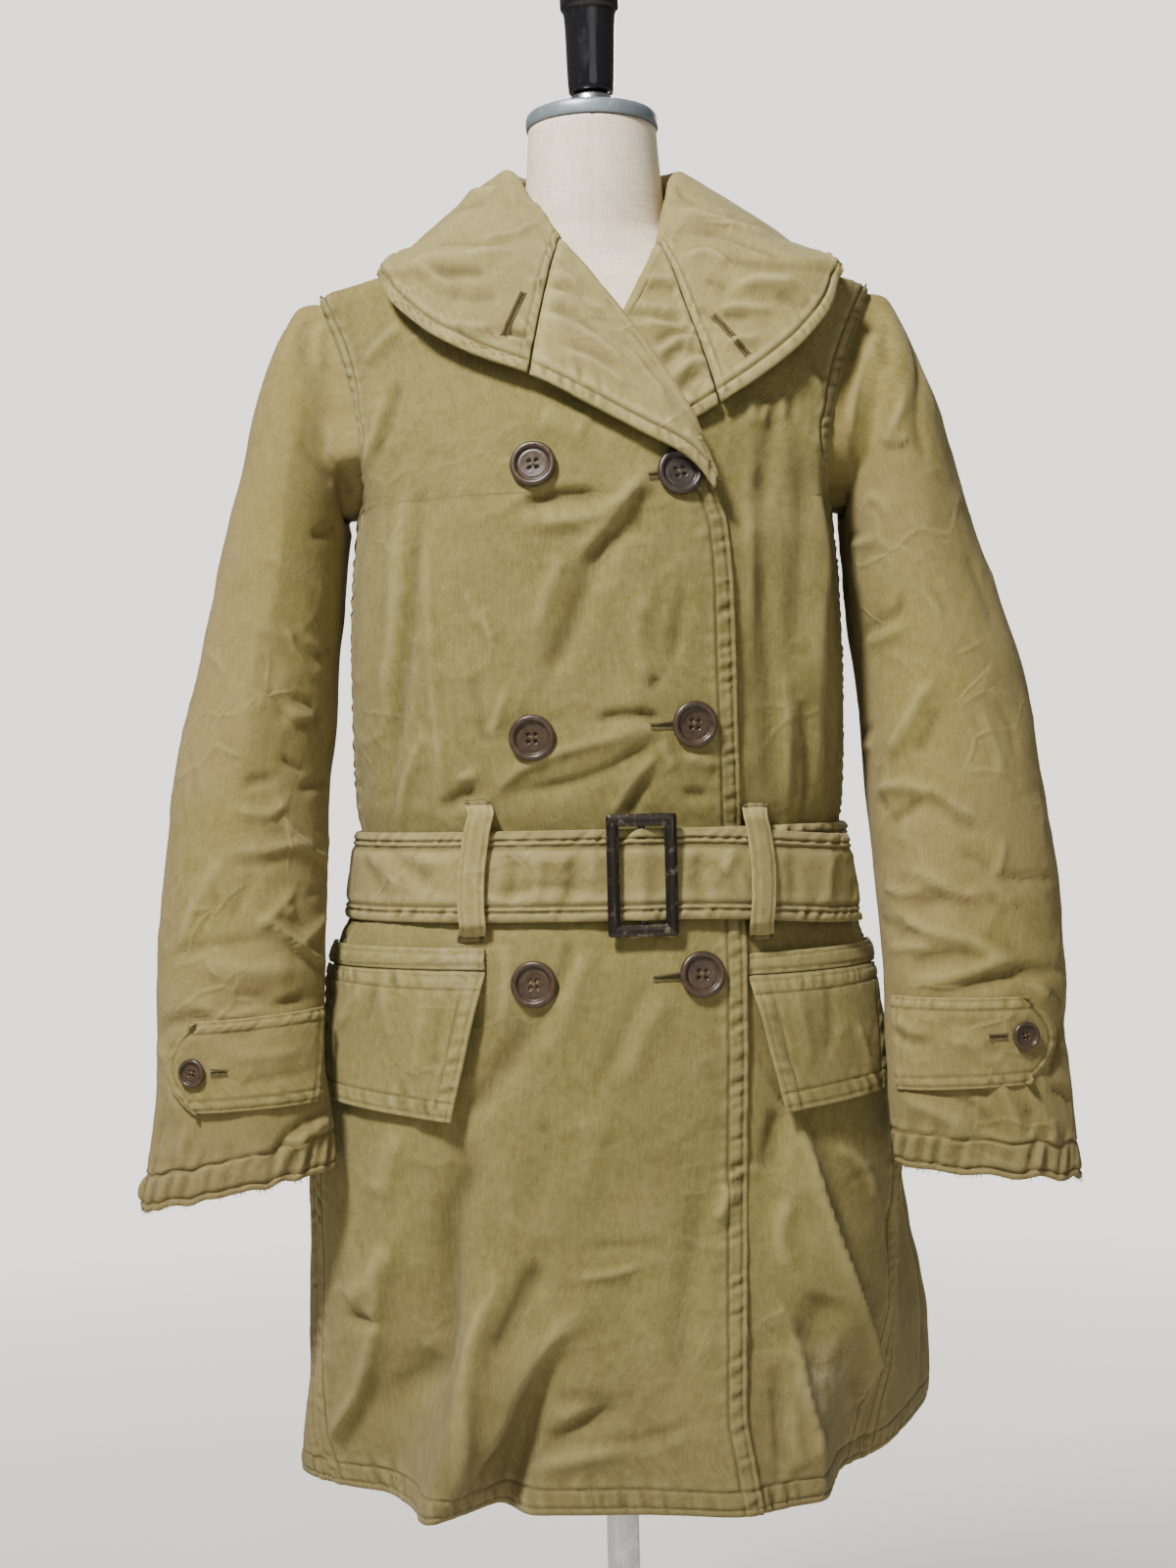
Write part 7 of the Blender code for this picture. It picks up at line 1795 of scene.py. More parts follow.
def belt_face(turned_by, z):
    """The belt's outer face by the degrees turned since its start, round to its tail."""
    whole = 360.0 + BELT_TAIL - BELT_START
    bearing = turn_between(0.0, BELT_START + turned_by)
    end = smooth((turned_by - whole + BELT_TAIL_TURN) / BELT_TAIL_TURN)
    x = skin(bearing, (BELT_LOW + BELT_HIGH) / 2)[..., 0]
    lift = lerp(BELT_UNDER_LIFT, BELT_OVER_LIFT, between(BELT_RISING, turned_by))
    rise = BUCKLE_RISE * np.exp(-((x - BUCKLE_X) / BUCKLE_RISE_WIDTH) ** 2)
    lift = lift + np.where(turned_by > BELT_BUCKLE_TURN, rise, 0.0) + BELT_TAIL_LIFT * end ** 2
    drop = BELT_TAIL_DROP * smooth((x + 0.02) / 0.2) * (np.abs(bearing) < 90) * end
    bearing, z, lift, drop = np.broadcast_arrays(bearing, z, lift, drop)
    points, _ = belt_plane(bearing, z, lift)
    points[..., 2] -= drop
    return points


def belt_place(bearing, z):
    return belt_plane(bearing, z, BELT_OVER_LIFT)[0]


def make_belt():
    whole = 360.0 + BELT_TAIL - BELT_START
    dense = np.linspace(0.0, whole, 1400)
    middle = belt_face(dense[None], np.full((1, 1), (BELT_LOW + BELT_HIGH) / 2))
    run = lengths(middle, 1)[0]
    ends = band_steps(BELT_END, 0.0018, 0.004)
    steps = spread(ends, ends, run[-1], spacing=0.0026)
    turned_by = np.interp(steps, run, dense)
    height = BELT_HIGH - BELT_LOW
    marks = band_steps(BELT_LINES, 0.0018, 0.003)
    z = BELT_LOW + spread(marks, marks, height, spacing=0.0030)
    dress("belt", belt_face(turned_by[None], z[:, None]), STRAP_WALL, BELT_CLOTH,
          [("low", BELT_LINES, *BELT_PUCKER), ("high", BELT_LINES, *BELT_PUCKER),
           ("start", BELT_END, 0.0002, 0.01), ("end", BELT_END, 0.0003, 0.01)],
          [(CREASES["belt"], belt_place)], 41)


# top_x, low_x, top_z, low_z, width
LOOPS = {"belt_loop_right": (-0.0890, -0.0957, 0.9625, 0.8630, 0.0195),
         "belt_loop_left": (0.1020, 0.1045, 0.9560, 0.8600, 0.0180)}
LOOP_LIFT, LOOP_WALL, LOOP_LINES = 0.0148, 0.0019, (0.0026,)


def make_loops():
    """Folded strips that arch over the belt and lie on the coat at their ends."""
    steps, rising_steps = 14, 1.9
    for number, (name, (top_x, low_x, top_z, low_z, width)) in enumerate(LOOPS.items()):
        height = top_z - low_z
        marks = band_steps(LOOP_LINES, 0.0012, 0.002)
        v = spread(marks, marks, height, spacing=0.0018) / height
        edge = spread(marks, marks, width, spacing=0.0016) / width - 0.5
        z = np.broadcast_to(lerp(low_z, top_z, v)[:, None], (len(v), len(edge)))
        flared = 1.0 + 0.10 * np.abs(2 * v - 1) ** 8
        at = lerp(low_x, top_x, v)[:, None] + edge * width * flared[:, None]
        rise = smooth(np.minimum(v, 1 - v) * steps / rising_steps)[:, None, None]
        bearing = bearing_at(at, z)
        sunk = under_height(bearing, z) if top_x > 0 else 0.0
        face = coat(bearing, z, sunk + LOOP_WALL + SEAM * 2)
        _, normal = belt_plane(bearing, z, np.zeros(z.shape))
        arch, _ = belt_plane(bearing_at(at - normal[..., 0] * LOOP_LIFT, z), z,
                             np.full(z.shape, LOOP_LIFT))
        dress(name, lerp(face, arch, rise), LOOP_WALL, BELT_CLOTH,
              [("start", LOOP_LINES, 0.0002, 0.012), ("end", LOOP_LINES, 0.0002, 0.012),
               ("low", LOOP_LINES, 0.0001, 0.01), ("high", LOOP_LINES, 0.0001, 0.01)],
              (), 51 + number,
              amount=0.4)


# side, inner_x, round_x, inner_high, inner_low, round_high, round_low
TABS = {"cuff_tab_right": (-1, -0.2035, -0.3045, 0.8190, 0.7570, 0.8120, 0.7520),
        "cuff_tab_left": (1, 0.1955, 0.3005, 0.8185, 0.7560, 0.8185, 0.7610)}
TAB_LIFT = 0.0042
TAB_POINT, TAB_POINT_FROM = 0.020, 0.78     # its rounded end: how far, and from which share


def sleeve_front(side, x, z):
    """The sleeve's front face at x and z, and its outward normal."""
    rows = SLEEVE[side]

    def look(name, ring):
        return curve(rows["ring"], rows[name], ring)

    def face(x, z):
        low, high = np.full(x.shape, 4.0), np.full(x.shape, rows["ring"][-1])
        for _ in range(26):
            ring = (low + high) / 2
            across = (x - look("inner_x", ring)) / (look("outer_x", ring)
                                                     - look("inner_x", ring))
            slant = lerp(look("inner_z", ring), look("outer_z", ring), across)
            low, high = np.where(slant > z, ring, low), np.where(slant > z, high, ring)
        outer_x, inner_x = look("outer_x", low), look("inner_x", low)
        along = np.clip((x - (outer_x + inner_x) / 2) / ((outer_x - inner_x) / 2),
                        -0.985, 0.985)
        y = look("mid_y", low) - look("half_y", low) * np.sqrt(1 - along * along)
        return np.stack((x, y, z), -1)

    x, z = np.broadcast_arrays(np.asarray(x, float), np.asarray(z, float))
    step = 0.002
    normal = np.cross(face(x + step, z) - face(x - step, z), face(x, z + step) - face(x, z - step))
    return face(x, z), unit(normal)


def make_tabs():
    """Pointed tabs on the sleeves' fronts."""
    for name, row in TABS.items():
        side, inner_x, round_x, inner_high, inner_low, round_high, round_low = row
        length, width = abs(round_x - inner_x) * 1.12, inner_high - inner_low

        def face(u, v):
            u, v = u[None], v[:, None]
            round_off = TAB_POINT * between((TAB_POINT_FROM, 1.0), u) * (2 * v - 1) ** 2
            x = lerp(inner_x, round_x, u) - side * round_off
            high, low = lerp(inner_high, round_high, u), lerp(inner_low, round_low, u)
            points, normal = sleeve_front(side, x, lerp(low, high, v))
            return points + normal * TAB_LIFT

        grid = even_grid(face, length, width, TAB_LINES, 0.0022)
        if side < 0:
            grid = grid[:, ::-1]
        dress(name, grid, STRAP_WALL, SLEEVE_CLOTH, four_edges(TAB_LINES, 0.0005, 0.010),
              [(CREASES[name], FRONT)], 61 + side,
              amount=0.9)


# ---------------------------------------------------------------- buttons and buckle

BUTTON_RADIUS, BUTTON_THICK, BUTTON_GAP = 0.0158, 0.0042, 0.0008
BUTTON_TURNS = (4, 12, 0, -6, 3, -4)        # degrees that each one is turned on its thread
HOLE_SPACING, HOLE_RADIUS = 0.155, 0.082    # as shares of a button's radius
CUFF_BUTTON_RADIUS, CUFF_BUTTON_THICK = 0.0098, 0.0032


def frame_of(normal):
    """Two directions along a surface, sideways and upwards, for its normal."""
    side = unit(np.cross((0.0, 0.0, 1.0), normal))
    return side, np.cross(normal, side)


def lathe(name, profile, steps, material, place=None, normal=None, shape=None):
    """A turned solid; profile runs from its top's middle down its outer side."""
    radii, heights = np.array(profile).T
    angles = 2 * np.pi * np.arange(steps) / steps
    local = np.stack((radii[1:-1, None] * np.cos(angles), radii[1:-1, None] * np.sin(angles),
                      np.broadcast_to(heights[1:-1, None], (len(radii) - 2, steps))), -1)
    local = np.concatenate((local.reshape(-1, 3), [(0, 0, heights[0]), (0, 0, heights[-1])]))
    if shape:
        local = shape(local)
    grid = np.arange((len(radii) - 2) * steps).reshape(-1, steps)
    grid = np.concatenate((grid, grid[:, :1]), axis=1)
    faces = [face[::-1] for face in quads(grid)]
    top, bottom = len(local) - 2, len(local) - 1
    faces += [(top, a, b) for a, b in zip(grid[0], grid[0, 1:])]
    faces += [(bottom, b, a) for a, b in zip(grid[-1], grid[-1, 1:])]
    if normal is not None:
        side, up = frame_of(normal)
        local = place + local @ np.array((side, up, normal))
    return make_object(name, local, faces, material)


def fillet(profile, rounds=3):
    """Cuts a profile's corners again and again, keeping its two ends."""
    for _ in range(rounds):
        cut = [profile[0]]
        for a, b in zip(profile, profile[1:]):
            cut += [tuple(lerp(np.array(a), np.array(b), t)) for t in (0.25, 0.75)]
        cut.append(profile[-1])
        profile = cut
    return profile


def button_profile(radius, thick):
    rim = [(0.0, 0.50), (0.60, 0.50), (0.665, 0.42), (0.70, 0.60), (0.755, 0.98),
           (0.85, 1.12), (0.94, 1.00), (1.0, 0.66), (1.0, 0.28), (0.93, 0.0), (0.0, 0.0)]
    rim = [(radius * out, thick * up) for out, up in rim]
    line = fillet(rim, 2)
    dished = [(r, line[0][1]) for r in np.linspace(0.0, radius * 0.56, 17)]
    return dished + [point for point in line if point[0] > radius * 0.58 or point[1] < 1e-6][:-1] \
        + [(0.0, 0.0)]


def make_button(name, place, normal, radius, thick, material, steps, turn):
    """A dished button with four holes and crossed threads."""
    spacing, hole = radius * HOLE_SPACING, radius * HOLE_RADIUS

    def shape(local):
        r = np.hypot(local[:, 0], local[:, 1])
        face = (local[:, 2] > thick * 0.3) & (r < radius * 0.6)
        local[:, 2] -= np.where(face, thick * 0.10 * (1 - (r / (radius * 0.6)) ** 2), 0.0)
        for a in (45, 135, 225, 315):
            angle = math.radians(a + turn)
            middle = spacing * math.sqrt(2) * np.array((math.cos(angle), math.sin(angle)))
            away = np.hypot(local[:, 0] - middle[0], local[:, 1] - middle[1])
            local[:, 2] -= np.where(face, thick * 0.42 * smooth((hole * 1.25 - away)
                                                                / (hole * 0.5)), 0.0)
        return local

    thing = lathe(name + "_turned", button_profile(radius, thick), steps, material,
                  np.array(place), np.array(normal), shape)
    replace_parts(thing, name)
    side, up = frame_of(np.array(normal))
    level = thick * 0.40
    for a, b in (((-1, 1), (1, -1)), ((1, 1), (-1, -1))):
        angle = math.radians(turn)
        ends = []
        for h, v in (a, b):
            across = h * math.cos(angle) - v * math.sin(angle)
            above = h * math.sin(angle) + v * math.cos(angle)
            ends.append(np.array(place) + normal * level + spacing * (across * side + above * up))
        way = unit(ends[1] - ends[0])
        for shift in (-0.00035, 0.00035):
            add_stitch((ends[0] + ends[1]) / 2 + np.cross(way, normal) * shift
                       + normal * 0.0002, way, np.array(normal),
                       np.linalg.norm(ends[1] - ends[0]) * 0.95, 0.00032)


def make_buttons():
    for number, (name, x, z) in enumerate(BUTTONS):
        bearing = bearing_at(x, z)
        normal = skin_normal(bearing, z)
        material = BUTTON_DARK if name == "button_top_left" else BUTTON
        make_button(name, coat(bearing, z, BUTTON_GAP), normal, BUTTON_RADIUS, BUTTON_THICK,
                    material, 72, BUTTON_TURNS[number])
    for name, side, x, z in CUFF_BUTTONS:
        face, normal = sleeve_front(side, x, z)
        make_button(name, face + normal * (TAB_LIFT + BUTTON_GAP), normal, CUFF_BUTTON_RADIUS,
                    CUFF_BUTTON_THICK, BUTTON, 56, 8 * side)


BUCKLE_WIDTH, BUCKLE_HEIGHT, BUCKLE_BAR, BUCKLE_THICK = 0.0475, 0.0825, 0.0083, 0.0042
BUCKLE_LIFT, BUCKLE_CORNER = 0.0095, 0.0022
PIN_RADIUS, PIN_FLAT, PIN_ROWS, PIN_STEPS = 0.0025, 0.0007, 9, 12


def make_buckle():
    """A rectangular ring with a raised, bevelled face, and a thin bar behind its window."""
    place, normal = belt_plane(bearing_at(BUCKLE_X, BUCKLE_Z), np.array(BUCKLE_Z),
                               BUCKLE_LIFT + BUCKLE_THICK / 2)
    side = unit(np.cross((0.0, 0.0, 1.0), (normal[0], normal[1], 0.0)))
    up = np.array((0.0, 0.0, 1.0))
    out = np.cross(side, up)
    half = BUCKLE_THICK / 2
    section = ((0.0, -half), (0.0, half * 0.35), (0.0006, half * 0.62), (0.0026, half * 0.97),
               (0.0036, half), (0.0048, half), (0.0058, half * 0.93), (0.0077, half * 0.50),
               (BUCKLE_BAR, half * 0.25), (BUCKLE_BAR, -half))
    points, corner = [], BUCKLE_CORNER
    for inset, height in section:
        wide, tall = BUCKLE_WIDTH / 2 - inset, BUCKLE_HEIGHT / 2 - inset
        radius = max(corner - inset * 0.25, 0.0006)
        for start, (h, v) in enumerate(((1, 1), (-1, 1), (-1, -1), (1, -1))):
            for degrees in (0, 22.5, 45, 67.5, 90):
                angle = math.radians(degrees + 90 * start)
                points.append(place + side * (h * (wide - radius) + radius * math.cos(angle))
                              + up * (v * (tall - radius) + radius * math.sin(angle))
                              + out * height)
    steps = 20
    grid = np.arange(len(points)).reshape(-1, steps)
    grid = np.concatenate((grid, grid[:, :1]), axis=1)
    grid = np.concatenate((grid, grid[:1]), axis=0)
    faces = [face[::-1] for face in quads(grid)]
    tall = BUCKLE_HEIGHT / 2 - BUCKLE_BAR + 0.002
    first = len(points)
    for level in np.linspace(-tall, tall, PIN_ROWS):
        for k in range(PIN_STEPS):
            angle = 2 * math.pi * k / PIN_STEPS
            points.append(place + up * level + side * PIN_RADIUS * math.cos(angle)
                          + out * (PIN_FLAT * math.sin(angle) - half + 0.0009))
    ring = first + np.arange(PIN_ROWS * PIN_STEPS).reshape(PIN_ROWS, PIN_STEPS)
    ring = np.concatenate((ring, ring[:, :1]), axis=1)
    faces += quads(ring) + [ring[0, :-1][::-1].tolist(), ring[-1, :-1].tolist()]
    thing = make_object("buckle_ring", np.array(points), faces, BUCKLE)
    rounding = thing.modifiers.new("rounding", "BEVEL")
    rounding.width = 0.0003
    rounding.segments = 2
    rounding.limit_method = "ANGLE"
    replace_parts(thing, "buckle")


# ---------------------------------------------------------------- stand and form

FORM = table(
    "z wide front back power",
    (0.655, 0.1560, 0.1030, 0.1120, 2.20), (0.760, 0.1640, 0.1080, 0.1190, 2.20),
    (0.840, 0.1610, 0.1060, 0.1160, 2.20), (0.930, 0.1330, 0.0930, 0.0940, 2.15),
    (1.000, 0.1150, 0.0860, 0.0800, 2.15), (1.070, 0.1240, 0.0990, 0.0850, 2.15),
    (1.140, 0.1420, 0.1190, 0.0960, 2.15), (1.200, 0.1530, 0.1120, 0.1010, 2.15),
    (1.255, 0.1680, 0.0960, 0.0960, 2.15), (1.295, 0.1760, 0.0800, 0.0830, 2.10),
    (1.3130, 0.1700, 0.0710, 0.0730, 2.10), (1.3240, 0.1420, 0.0660, 0.0660, 2.05),
    (1.3400, 0.1040, 0.0575, 0.0570, 2.00), (1.3560, 0.0740, 0.0530, 0.0530, 2.00),
    (1.3720, 0.0550, 0.0505, 0.0505, 2.00), (1.3950, 0.0510, 0.0505, 0.0505, 2.00),
    (1.4200, 0.0490, 0.0490, 0.0490, 2.00), (1.4485, 0.0470, 0.0470, 0.0470, 2.00))


def form_face(angle, z):
    """The dress form's face, in even steps round its section."""
    side, ahead = np.sin(angle), np.cos(angle)
    wide = curve(FORM["z"], FORM["wide"], z)
    deep = np.where(ahead > 0, curve(FORM["z"], FORM["front"], z),
                    curve(FORM["z"], FORM["back"], z))
    power = curve(FORM["z"], FORM["power"], z)
    flat = np.arctan2(wide * side, deep * ahead)
    side, ahead = np.sin(flat), np.cos(flat)
    radius = (np.abs(side / wide) ** power + np.abs(ahead / deep) ** power) ** (-1 / power)
    return np.stack((radius * side, -radius * ahead, z), -1)


FORM_AROUND, FORM_LOW, FORM_HIGH = 144, 0.655, 1.4485
FORM_SEAMS = (0.0, 90.0, 180.0, 270.0, 38.0, 322.0, 142.0, 218.0)
NECKLINE_Z, NECKLINE_RISE = 1.3445, 0.010


def make_form():
    """The linen body with its middle, side and princess seams and its neckline seam."""
    around = FORM_AROUND
    angle = 2 * np.pi * np.arange(around) / around
    z = np.concatenate((np.linspace(FORM_LOW, 1.25, 90), np.linspace(1.254, FORM_HIGH, 60)))
    grid = form_face(angle[None], np.broadcast_to(z[:, None], (len(z), around)))
    normals = grid_normals(grid, True)
    bearing = np.degrees(angle)[None]
    relief = 0.00025 * waves(grid, 0.06, 71)
    for seam in FORM_SEAMS:
        away = np.radians(turn_between(seam, bearing)) * np.hypot(grid[..., 0], grid[..., 1])
        low = 1.0 if seam % 90 == 0 else smooth((1.30 - grid[..., 2]) / 0.02)
        relief -= 0.0006 * low * np.exp(-(away / 0.0011) ** 2)
    neckline = NECKLINE_Z + NECKLINE_RISE * (1 - np.cos(angle)[None]) / 2
    relief -= 0.0007 * np.exp(-((grid[..., 2] - neckline) / 0.0013) ** 2)
    outer = grid + normals * relief[..., None]
    count = len(z) * around
    numbers = np.arange(count).reshape(len(z), around)
    closed = np.concatenate((numbers, numbers[:, :1]), axis=1)
    faces = quads(closed) + [numbers[0][::-1].tolist(), numbers[-1].tolist()]
    thing = make_object("form_linen", outer.reshape(-1, 3), faces, LINEN)
    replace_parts(thing, "form_torso")


# piece, slit's end, slit's end at the button, and half the thread ring's width there
BUTTONHOLES = (
    ("front_right", (31.5, 1176.4), (45.0, 1178.0), 1.6),
    ("front_right", (29.0, 1007.7), (48.0, 1008.8), 2.2),
    ("front_right", (27.5, 838.0), (49.0, 839.6), 2.2),
    ("collar", (-50.7, 1308.0), (-64.5, 1275.6), 0.9),
    ("collar", (80.4, 1292.7), (102.3, 1262.4), 0.9),
    ("cuff_tab_right", (-261.7, 780.5), (-272.5, 780.8), 1.2),
    ("cuff_tab_left", (253.7, 792.8), (266.0, 793.0), 1.2))


LINE_LIFT, LINE_REACH = 0.0008, 0.003


def line_on(name, first, last, step):
    """Points and normals of a piece's front face from one place (x, z in mm) to another."""
    outer, fine = surfaces[name]
    seen = fine[..., 1] < -0.05
    places, ways = outer[seen], fine[seen]
    line, up = [], []
    for x, z in np.linspace(first, last, int(math.dist(first, last) / step) + 1) / 1000:
        away = (places[:, 0] - x) ** 2 + (places[:, 2] - z) ** 2
        share = np.exp(-(away - away.min()) / LINE_REACH ** 2)[:, None]
        share /= share.sum()
        up.append(unit((ways * share).sum(axis=0)))
        line.append((places * share).sum(axis=0) + up[-1] * LINE_LIFT)
    return np.array(line), np.array(up)


# The stitched outline of the pocket bag, where the flap leaves it in view
POCKET_TRACE = ((-84.6, 857.0), (-85.4, 840.0), (-86.2, 808.0), (-96.0, 806.5))
POCKET_TRACE_WIDTH = 5.0


def make_pocket_trace():
    """Two rows of stitches along the pocket bag's edge."""
    for shift in (0.0, POCKET_TRACE_WIDTH):
        path = [(x - shift, z + (shift if k > 1 else 0.0))
                for k, (x, z) in enumerate(POCKET_TRACE)]
        for first, last in zip(path, path[1:]):
            sew(*line_on("front_right", first, last, 2.0))


def make_buttonholes():
    """A slit painted dark as the shade inside the hole, with a ring of close stitches, opened
    towards its button.
    """
    points, faces = [], []
    for name, first, last, open_by in BUTTONHOLES:
        line, up = line_on(name, first, last, 0.9)
        steps = len(line) - 1
        base = len(points)
        along = unit(line[-1] - line[0])
        for i, (middle, normal) in enumerate(zip(line, up)):
            side = unit(np.cross(along, normal))
            half = 0.0004 + max(open_by / 1000 - 0.0011, 0.0) * (i / steps) ** 1.5
            if i == steps:
                half = max(half, 0.0009)
            points += [middle - side * half, middle + side * half]
            for turn in (-1, 1):
                add_stitch(middle + side * turn * (half + 0.0008), side, normal, 0.0017, 0.00034)
                add_stitch(middle + side * turn * (half + 0.0015), along, normal, 0.0016,
                           0.00042)
        for i in range(steps):
            at = base + 2 * i
            faces.append((at, at + 1, at + 3, at + 2))
    # The strips are painted dark for the shade inside the buttonholes
    make_object("buttonhole_slit_shade", np.array(points), faces, SLIT_SHADE)


def make_bar_tacks():
    """The close stitches that hold a belt loop's two ends."""
    for name in LOOPS:
        outer, fine = surfaces[name]
        rows, columns = outer.shape[:2]
        for end in (0, rows - 1):
            inward = 1 if end == 0 else -1
            low, high = outer[end], outer[end + 4 * inward]
            up = fine[end + 2 * inward]
            for line in (low, high):
                sew(line + up * 0.0003, up, 0.0011, 0.0016, 0.00042)
            for j in range(0, columns):
                middle = (low[j] + high[j]) / 2 + up[j] * 0.0002
                add_stitch(middle, unit(high[j] - low[j]), up[j],
                           np.linalg.norm(high[j] - low[j]), 0.00036)


FRAY_COUNT, FRAY_LENGTHS, FRAY_RADIUS = 260, (0.0015, 0.0058), 0.00022


def make_fray():
    """Loose thread ends along the worn lower edges of the cuffs."""
    rng = np.random.default_rng(97)
    for name in ("sleeve_right", "sleeve_left"):
        outer, fine = surfaces[name]
        edge, above, normals = outer[-1], outer[-3], fine[-1]
        for _ in range(FRAY_COUNT):
            j = rng.integers(len(edge))
            down = unit(edge[j] - above[j])
            way = unit(down + 0.55 * rng.normal(size=3))
            length = rng.uniform(*FRAY_LENGTHS)
            start = edge[j] - normals[j] * rng.uniform(0.0, WALL)
            up = unit(np.cross(way, rng.normal(size=3)))
            add_stitch(start + way * length * 0.42, way, up, length, FRAY_RADIUS)


STAND_GAP, HANDLE_TOP = 0.0005, 1.592


def make_stand():
    """The turned pieces over and under the form. The pole keeps its solid."""
    crown, rim, radius, pole = 0.022, 0.012, 0.205, 0.0119
    base = [(0.0, crown + 0.018), (pole + 0.010, crown + 0.018), (pole + 0.014, crown + 0.014),
            (pole + 0.016, crown), (radius * 0.6, crown - 0.002),
            (radius * 0.93, rim + 0.003), (radius - 0.001, rim), (radius, rim - 0.003),
            (radius, 0.004), (radius - 0.003, 0.0), (0.0, 0.0)]
    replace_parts(lathe("base_turned", fillet(base, 2), 96, BASE), "stand_base")
    plate_low = FORM_HIGH + STAND_GAP
    plate_high = plate_low + 0.0155
    plate = [(0.0, plate_high), (0.0213, plate_high - 0.0006), (0.0447, plate_high - 0.0036),
             (0.0487, plate_high - 0.0056), (0.0487, plate_low + 0.001),
             (0.0477, plate_low), (0.0, plate_low)]
    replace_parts(lathe("plate_turned", fillet(plate, 2), 96, PLATE), "neck_plate")
    stub_low = plate_high + STAND_GAP
    stub_high = stub_low + 0.0105
    stub = [(0.0, stub_high), (0.0153, stub_high), (0.0163, stub_low + 0.004),
            (0.0188, stub_low), (0.0, stub_low)]
    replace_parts(lathe("stub_turned", fillet(stub, 2), 72, STEEL), "neck_stub")
    grip_low, top = stub_high + STAND_GAP, HANDLE_TOP
    grip = [(0.0, top), (0.0120, top - 0.002), (0.0188, top - 0.008), (0.0219, top - 0.020),
            (0.0219, 1.5405), (0.0214, 1.5385), (0.0186, 1.5350), (0.0172, grip_low + 0.003),
            (0.0152, grip_low), (0.0, grip_low)]
    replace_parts(lathe("handle_turned", fillet(grip, 2), 72, HANDLE), "top_handle")
    for place in bpy.data.objects["stand_pole"].material_slots:
        place.material = STEEL


make_panels()
make_sleeves()
make_collar()
make_pockets()
make_belt()
make_loops()
make_tabs()
make_buttons()
make_buckle()
make_form()
make_stand()
make_buttonholes()
make_pocket_trace()
make_bar_tacks()
make_fray()
make_object("sewing_thread", np.array(sewing["points"]), sewing["faces"], THREAD)

# ---------------------------------------------------------------- stage and camera

BACKDROP, BACKDROP_STRENGTH = (0.90, 0.86, 0.80, 1.0), 2.2
FLOOR_RADIUS = 12
SOFT_LIGHT, SOFT_STRENGTH = (0.90, 0.89, 0.88, 1.0), 0.20
floor_mesh = bpy.data.meshes.new("floor")
floor_points = [(FLOOR_RADIUS * math.sin(a), FLOOR_RADIUS * math.cos(a), 0.0)
                for a in np.radians(range(0, 360, 4))]
floor_mesh.from_pydata(floor_points, [], [list(range(len(floor_points)))[::-1]])
floor = bpy.data.objects.new("floor", floor_mesh)
bpy.context.scene.collection.objects.link(floor)
paper = Paint("floor_paper", Specular_IOR_Level=0.2)
paper_tone = paper.mix(paper.span(paper.noise(3.0), 0.3, 0.7), (0.74, 0.71, 0.66),
                       (0.78, 0.75, 0.70))
floor_mesh.materials.append(paper.finish(paper_tone, paper.span(paper.noise(8.0), 0, 1, 0.8, 0.9),
                                         paper.bump(paper.noise(300.0), 0.0002, 0.2)))
glow = paper.tree.nodes.new("ShaderNodeEmission")
glow.inputs["Color"].default_value = BACKDROP
glow.inputs["Strength"].default_value = BACKDROP_STRENGTH
far_off = paper.node("VectorMath", {0: paper.place}, "Value", operation="LENGTH")
sweep = paper.tree.nodes.new("ShaderNodeMixShader")
seen = paper.node("LightPath", output="Is Camera Ray")
share = paper.math("MULTIPLY", paper.span(far_off, 0.5, 3.2), seen)
paper.tree.links.new(share, sweep.inputs[0])
paper.tree.links.new(paper.shader.outputs[0], sweep.inputs[1])
paper.tree.links.new(glow.outputs[0], sweep.inputs[2])
paper.tree.links.new(sweep.outputs[0], paper.tree.nodes["Material Output"].inputs["Surface"])

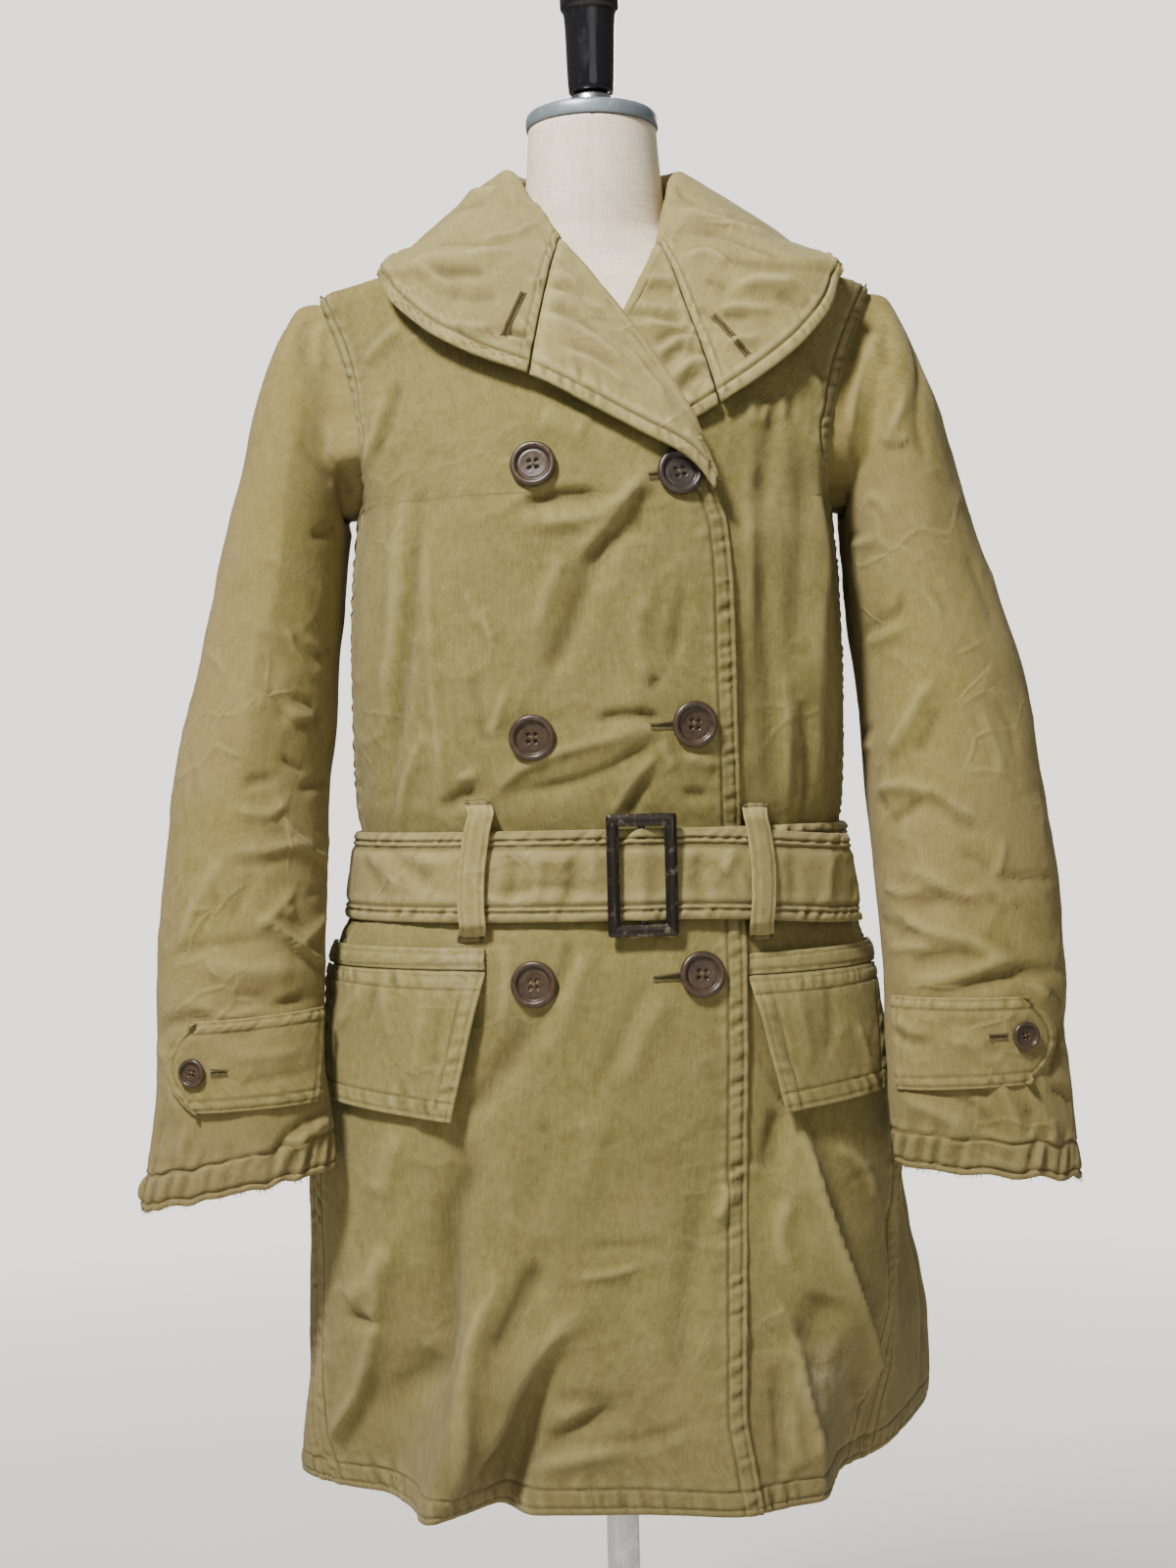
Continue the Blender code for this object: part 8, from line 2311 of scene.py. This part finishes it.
world = bpy.data.worlds.new("studio")
world.use_nodes = True
studio = world.node_tree
soft_light = studio.nodes["Background"]
soft_light.inputs["Color"].default_value = SOFT_LIGHT
soft_light.inputs["Strength"].default_value = SOFT_STRENGTH
backdrop = studio.nodes.new("ShaderNodeBackground")
backdrop.inputs["Color"].default_value = BACKDROP
backdrop.inputs["Strength"].default_value = BACKDROP_STRENGTH
chosen = studio.nodes.new("ShaderNodeMixShader")
ray = studio.nodes.new("ShaderNodeLightPath")
studio.links.new(ray.outputs["Is Camera Ray"], chosen.inputs[0])
studio.links.new(soft_light.outputs[0], chosen.inputs[1])
studio.links.new(backdrop.outputs[0], chosen.inputs[2])
studio.links.new(chosen.outputs[0], studio.nodes["World Output"].inputs["Surface"])
bpy.context.scene.world = world


def area_light(name, place, target, size, power, colour=(1.0, 0.97, 0.92)):
    """A round soft light that looks at its target."""
    data = bpy.data.lights.new(name, "AREA")
    data.shape = "DISK"
    data.size = size
    data.energy = power
    data.color = colour
    light = bpy.data.objects.new(name, data)
    light.location = place
    way = Vector(target) - Vector(place)
    light.rotation_euler = way.to_track_quat("-Z", "Y").to_euler()
    bpy.context.scene.collection.objects.link(light)


area_light("key", (-1.0, -1.62, 3.15), (0.0, 0.0, 1.0), 0.5, 168)
area_light("fill", (0.5, -2.8, 1.7), (0.0, 0.0, 0.9), 1.8, 11)
area_light("back", (0.6, 2.4, 2.4), (0.0, 0.0, 1.0), 1.4, 60)

# The camera stands level, in front of the coat, and rolled a little as in the photo
CAMERA_PLACE, CAMERA_ROLL = (-0.0137, -1.60, 0.97), math.radians(1.27)
eye = bpy.data.cameras.new("camera")
eye.lens = 50
eye.sensor_width = 36
camera = bpy.data.objects.new("camera", eye)
camera.matrix_world = (Matrix.Translation(CAMERA_PLACE)
                       @ Matrix.Rotation(math.pi / 2, 4, "X")
                       @ Matrix.Rotation(-CAMERA_ROLL, 4, "Z"))
bpy.context.scene.collection.objects.link(camera)
bpy.context.scene.camera = camera
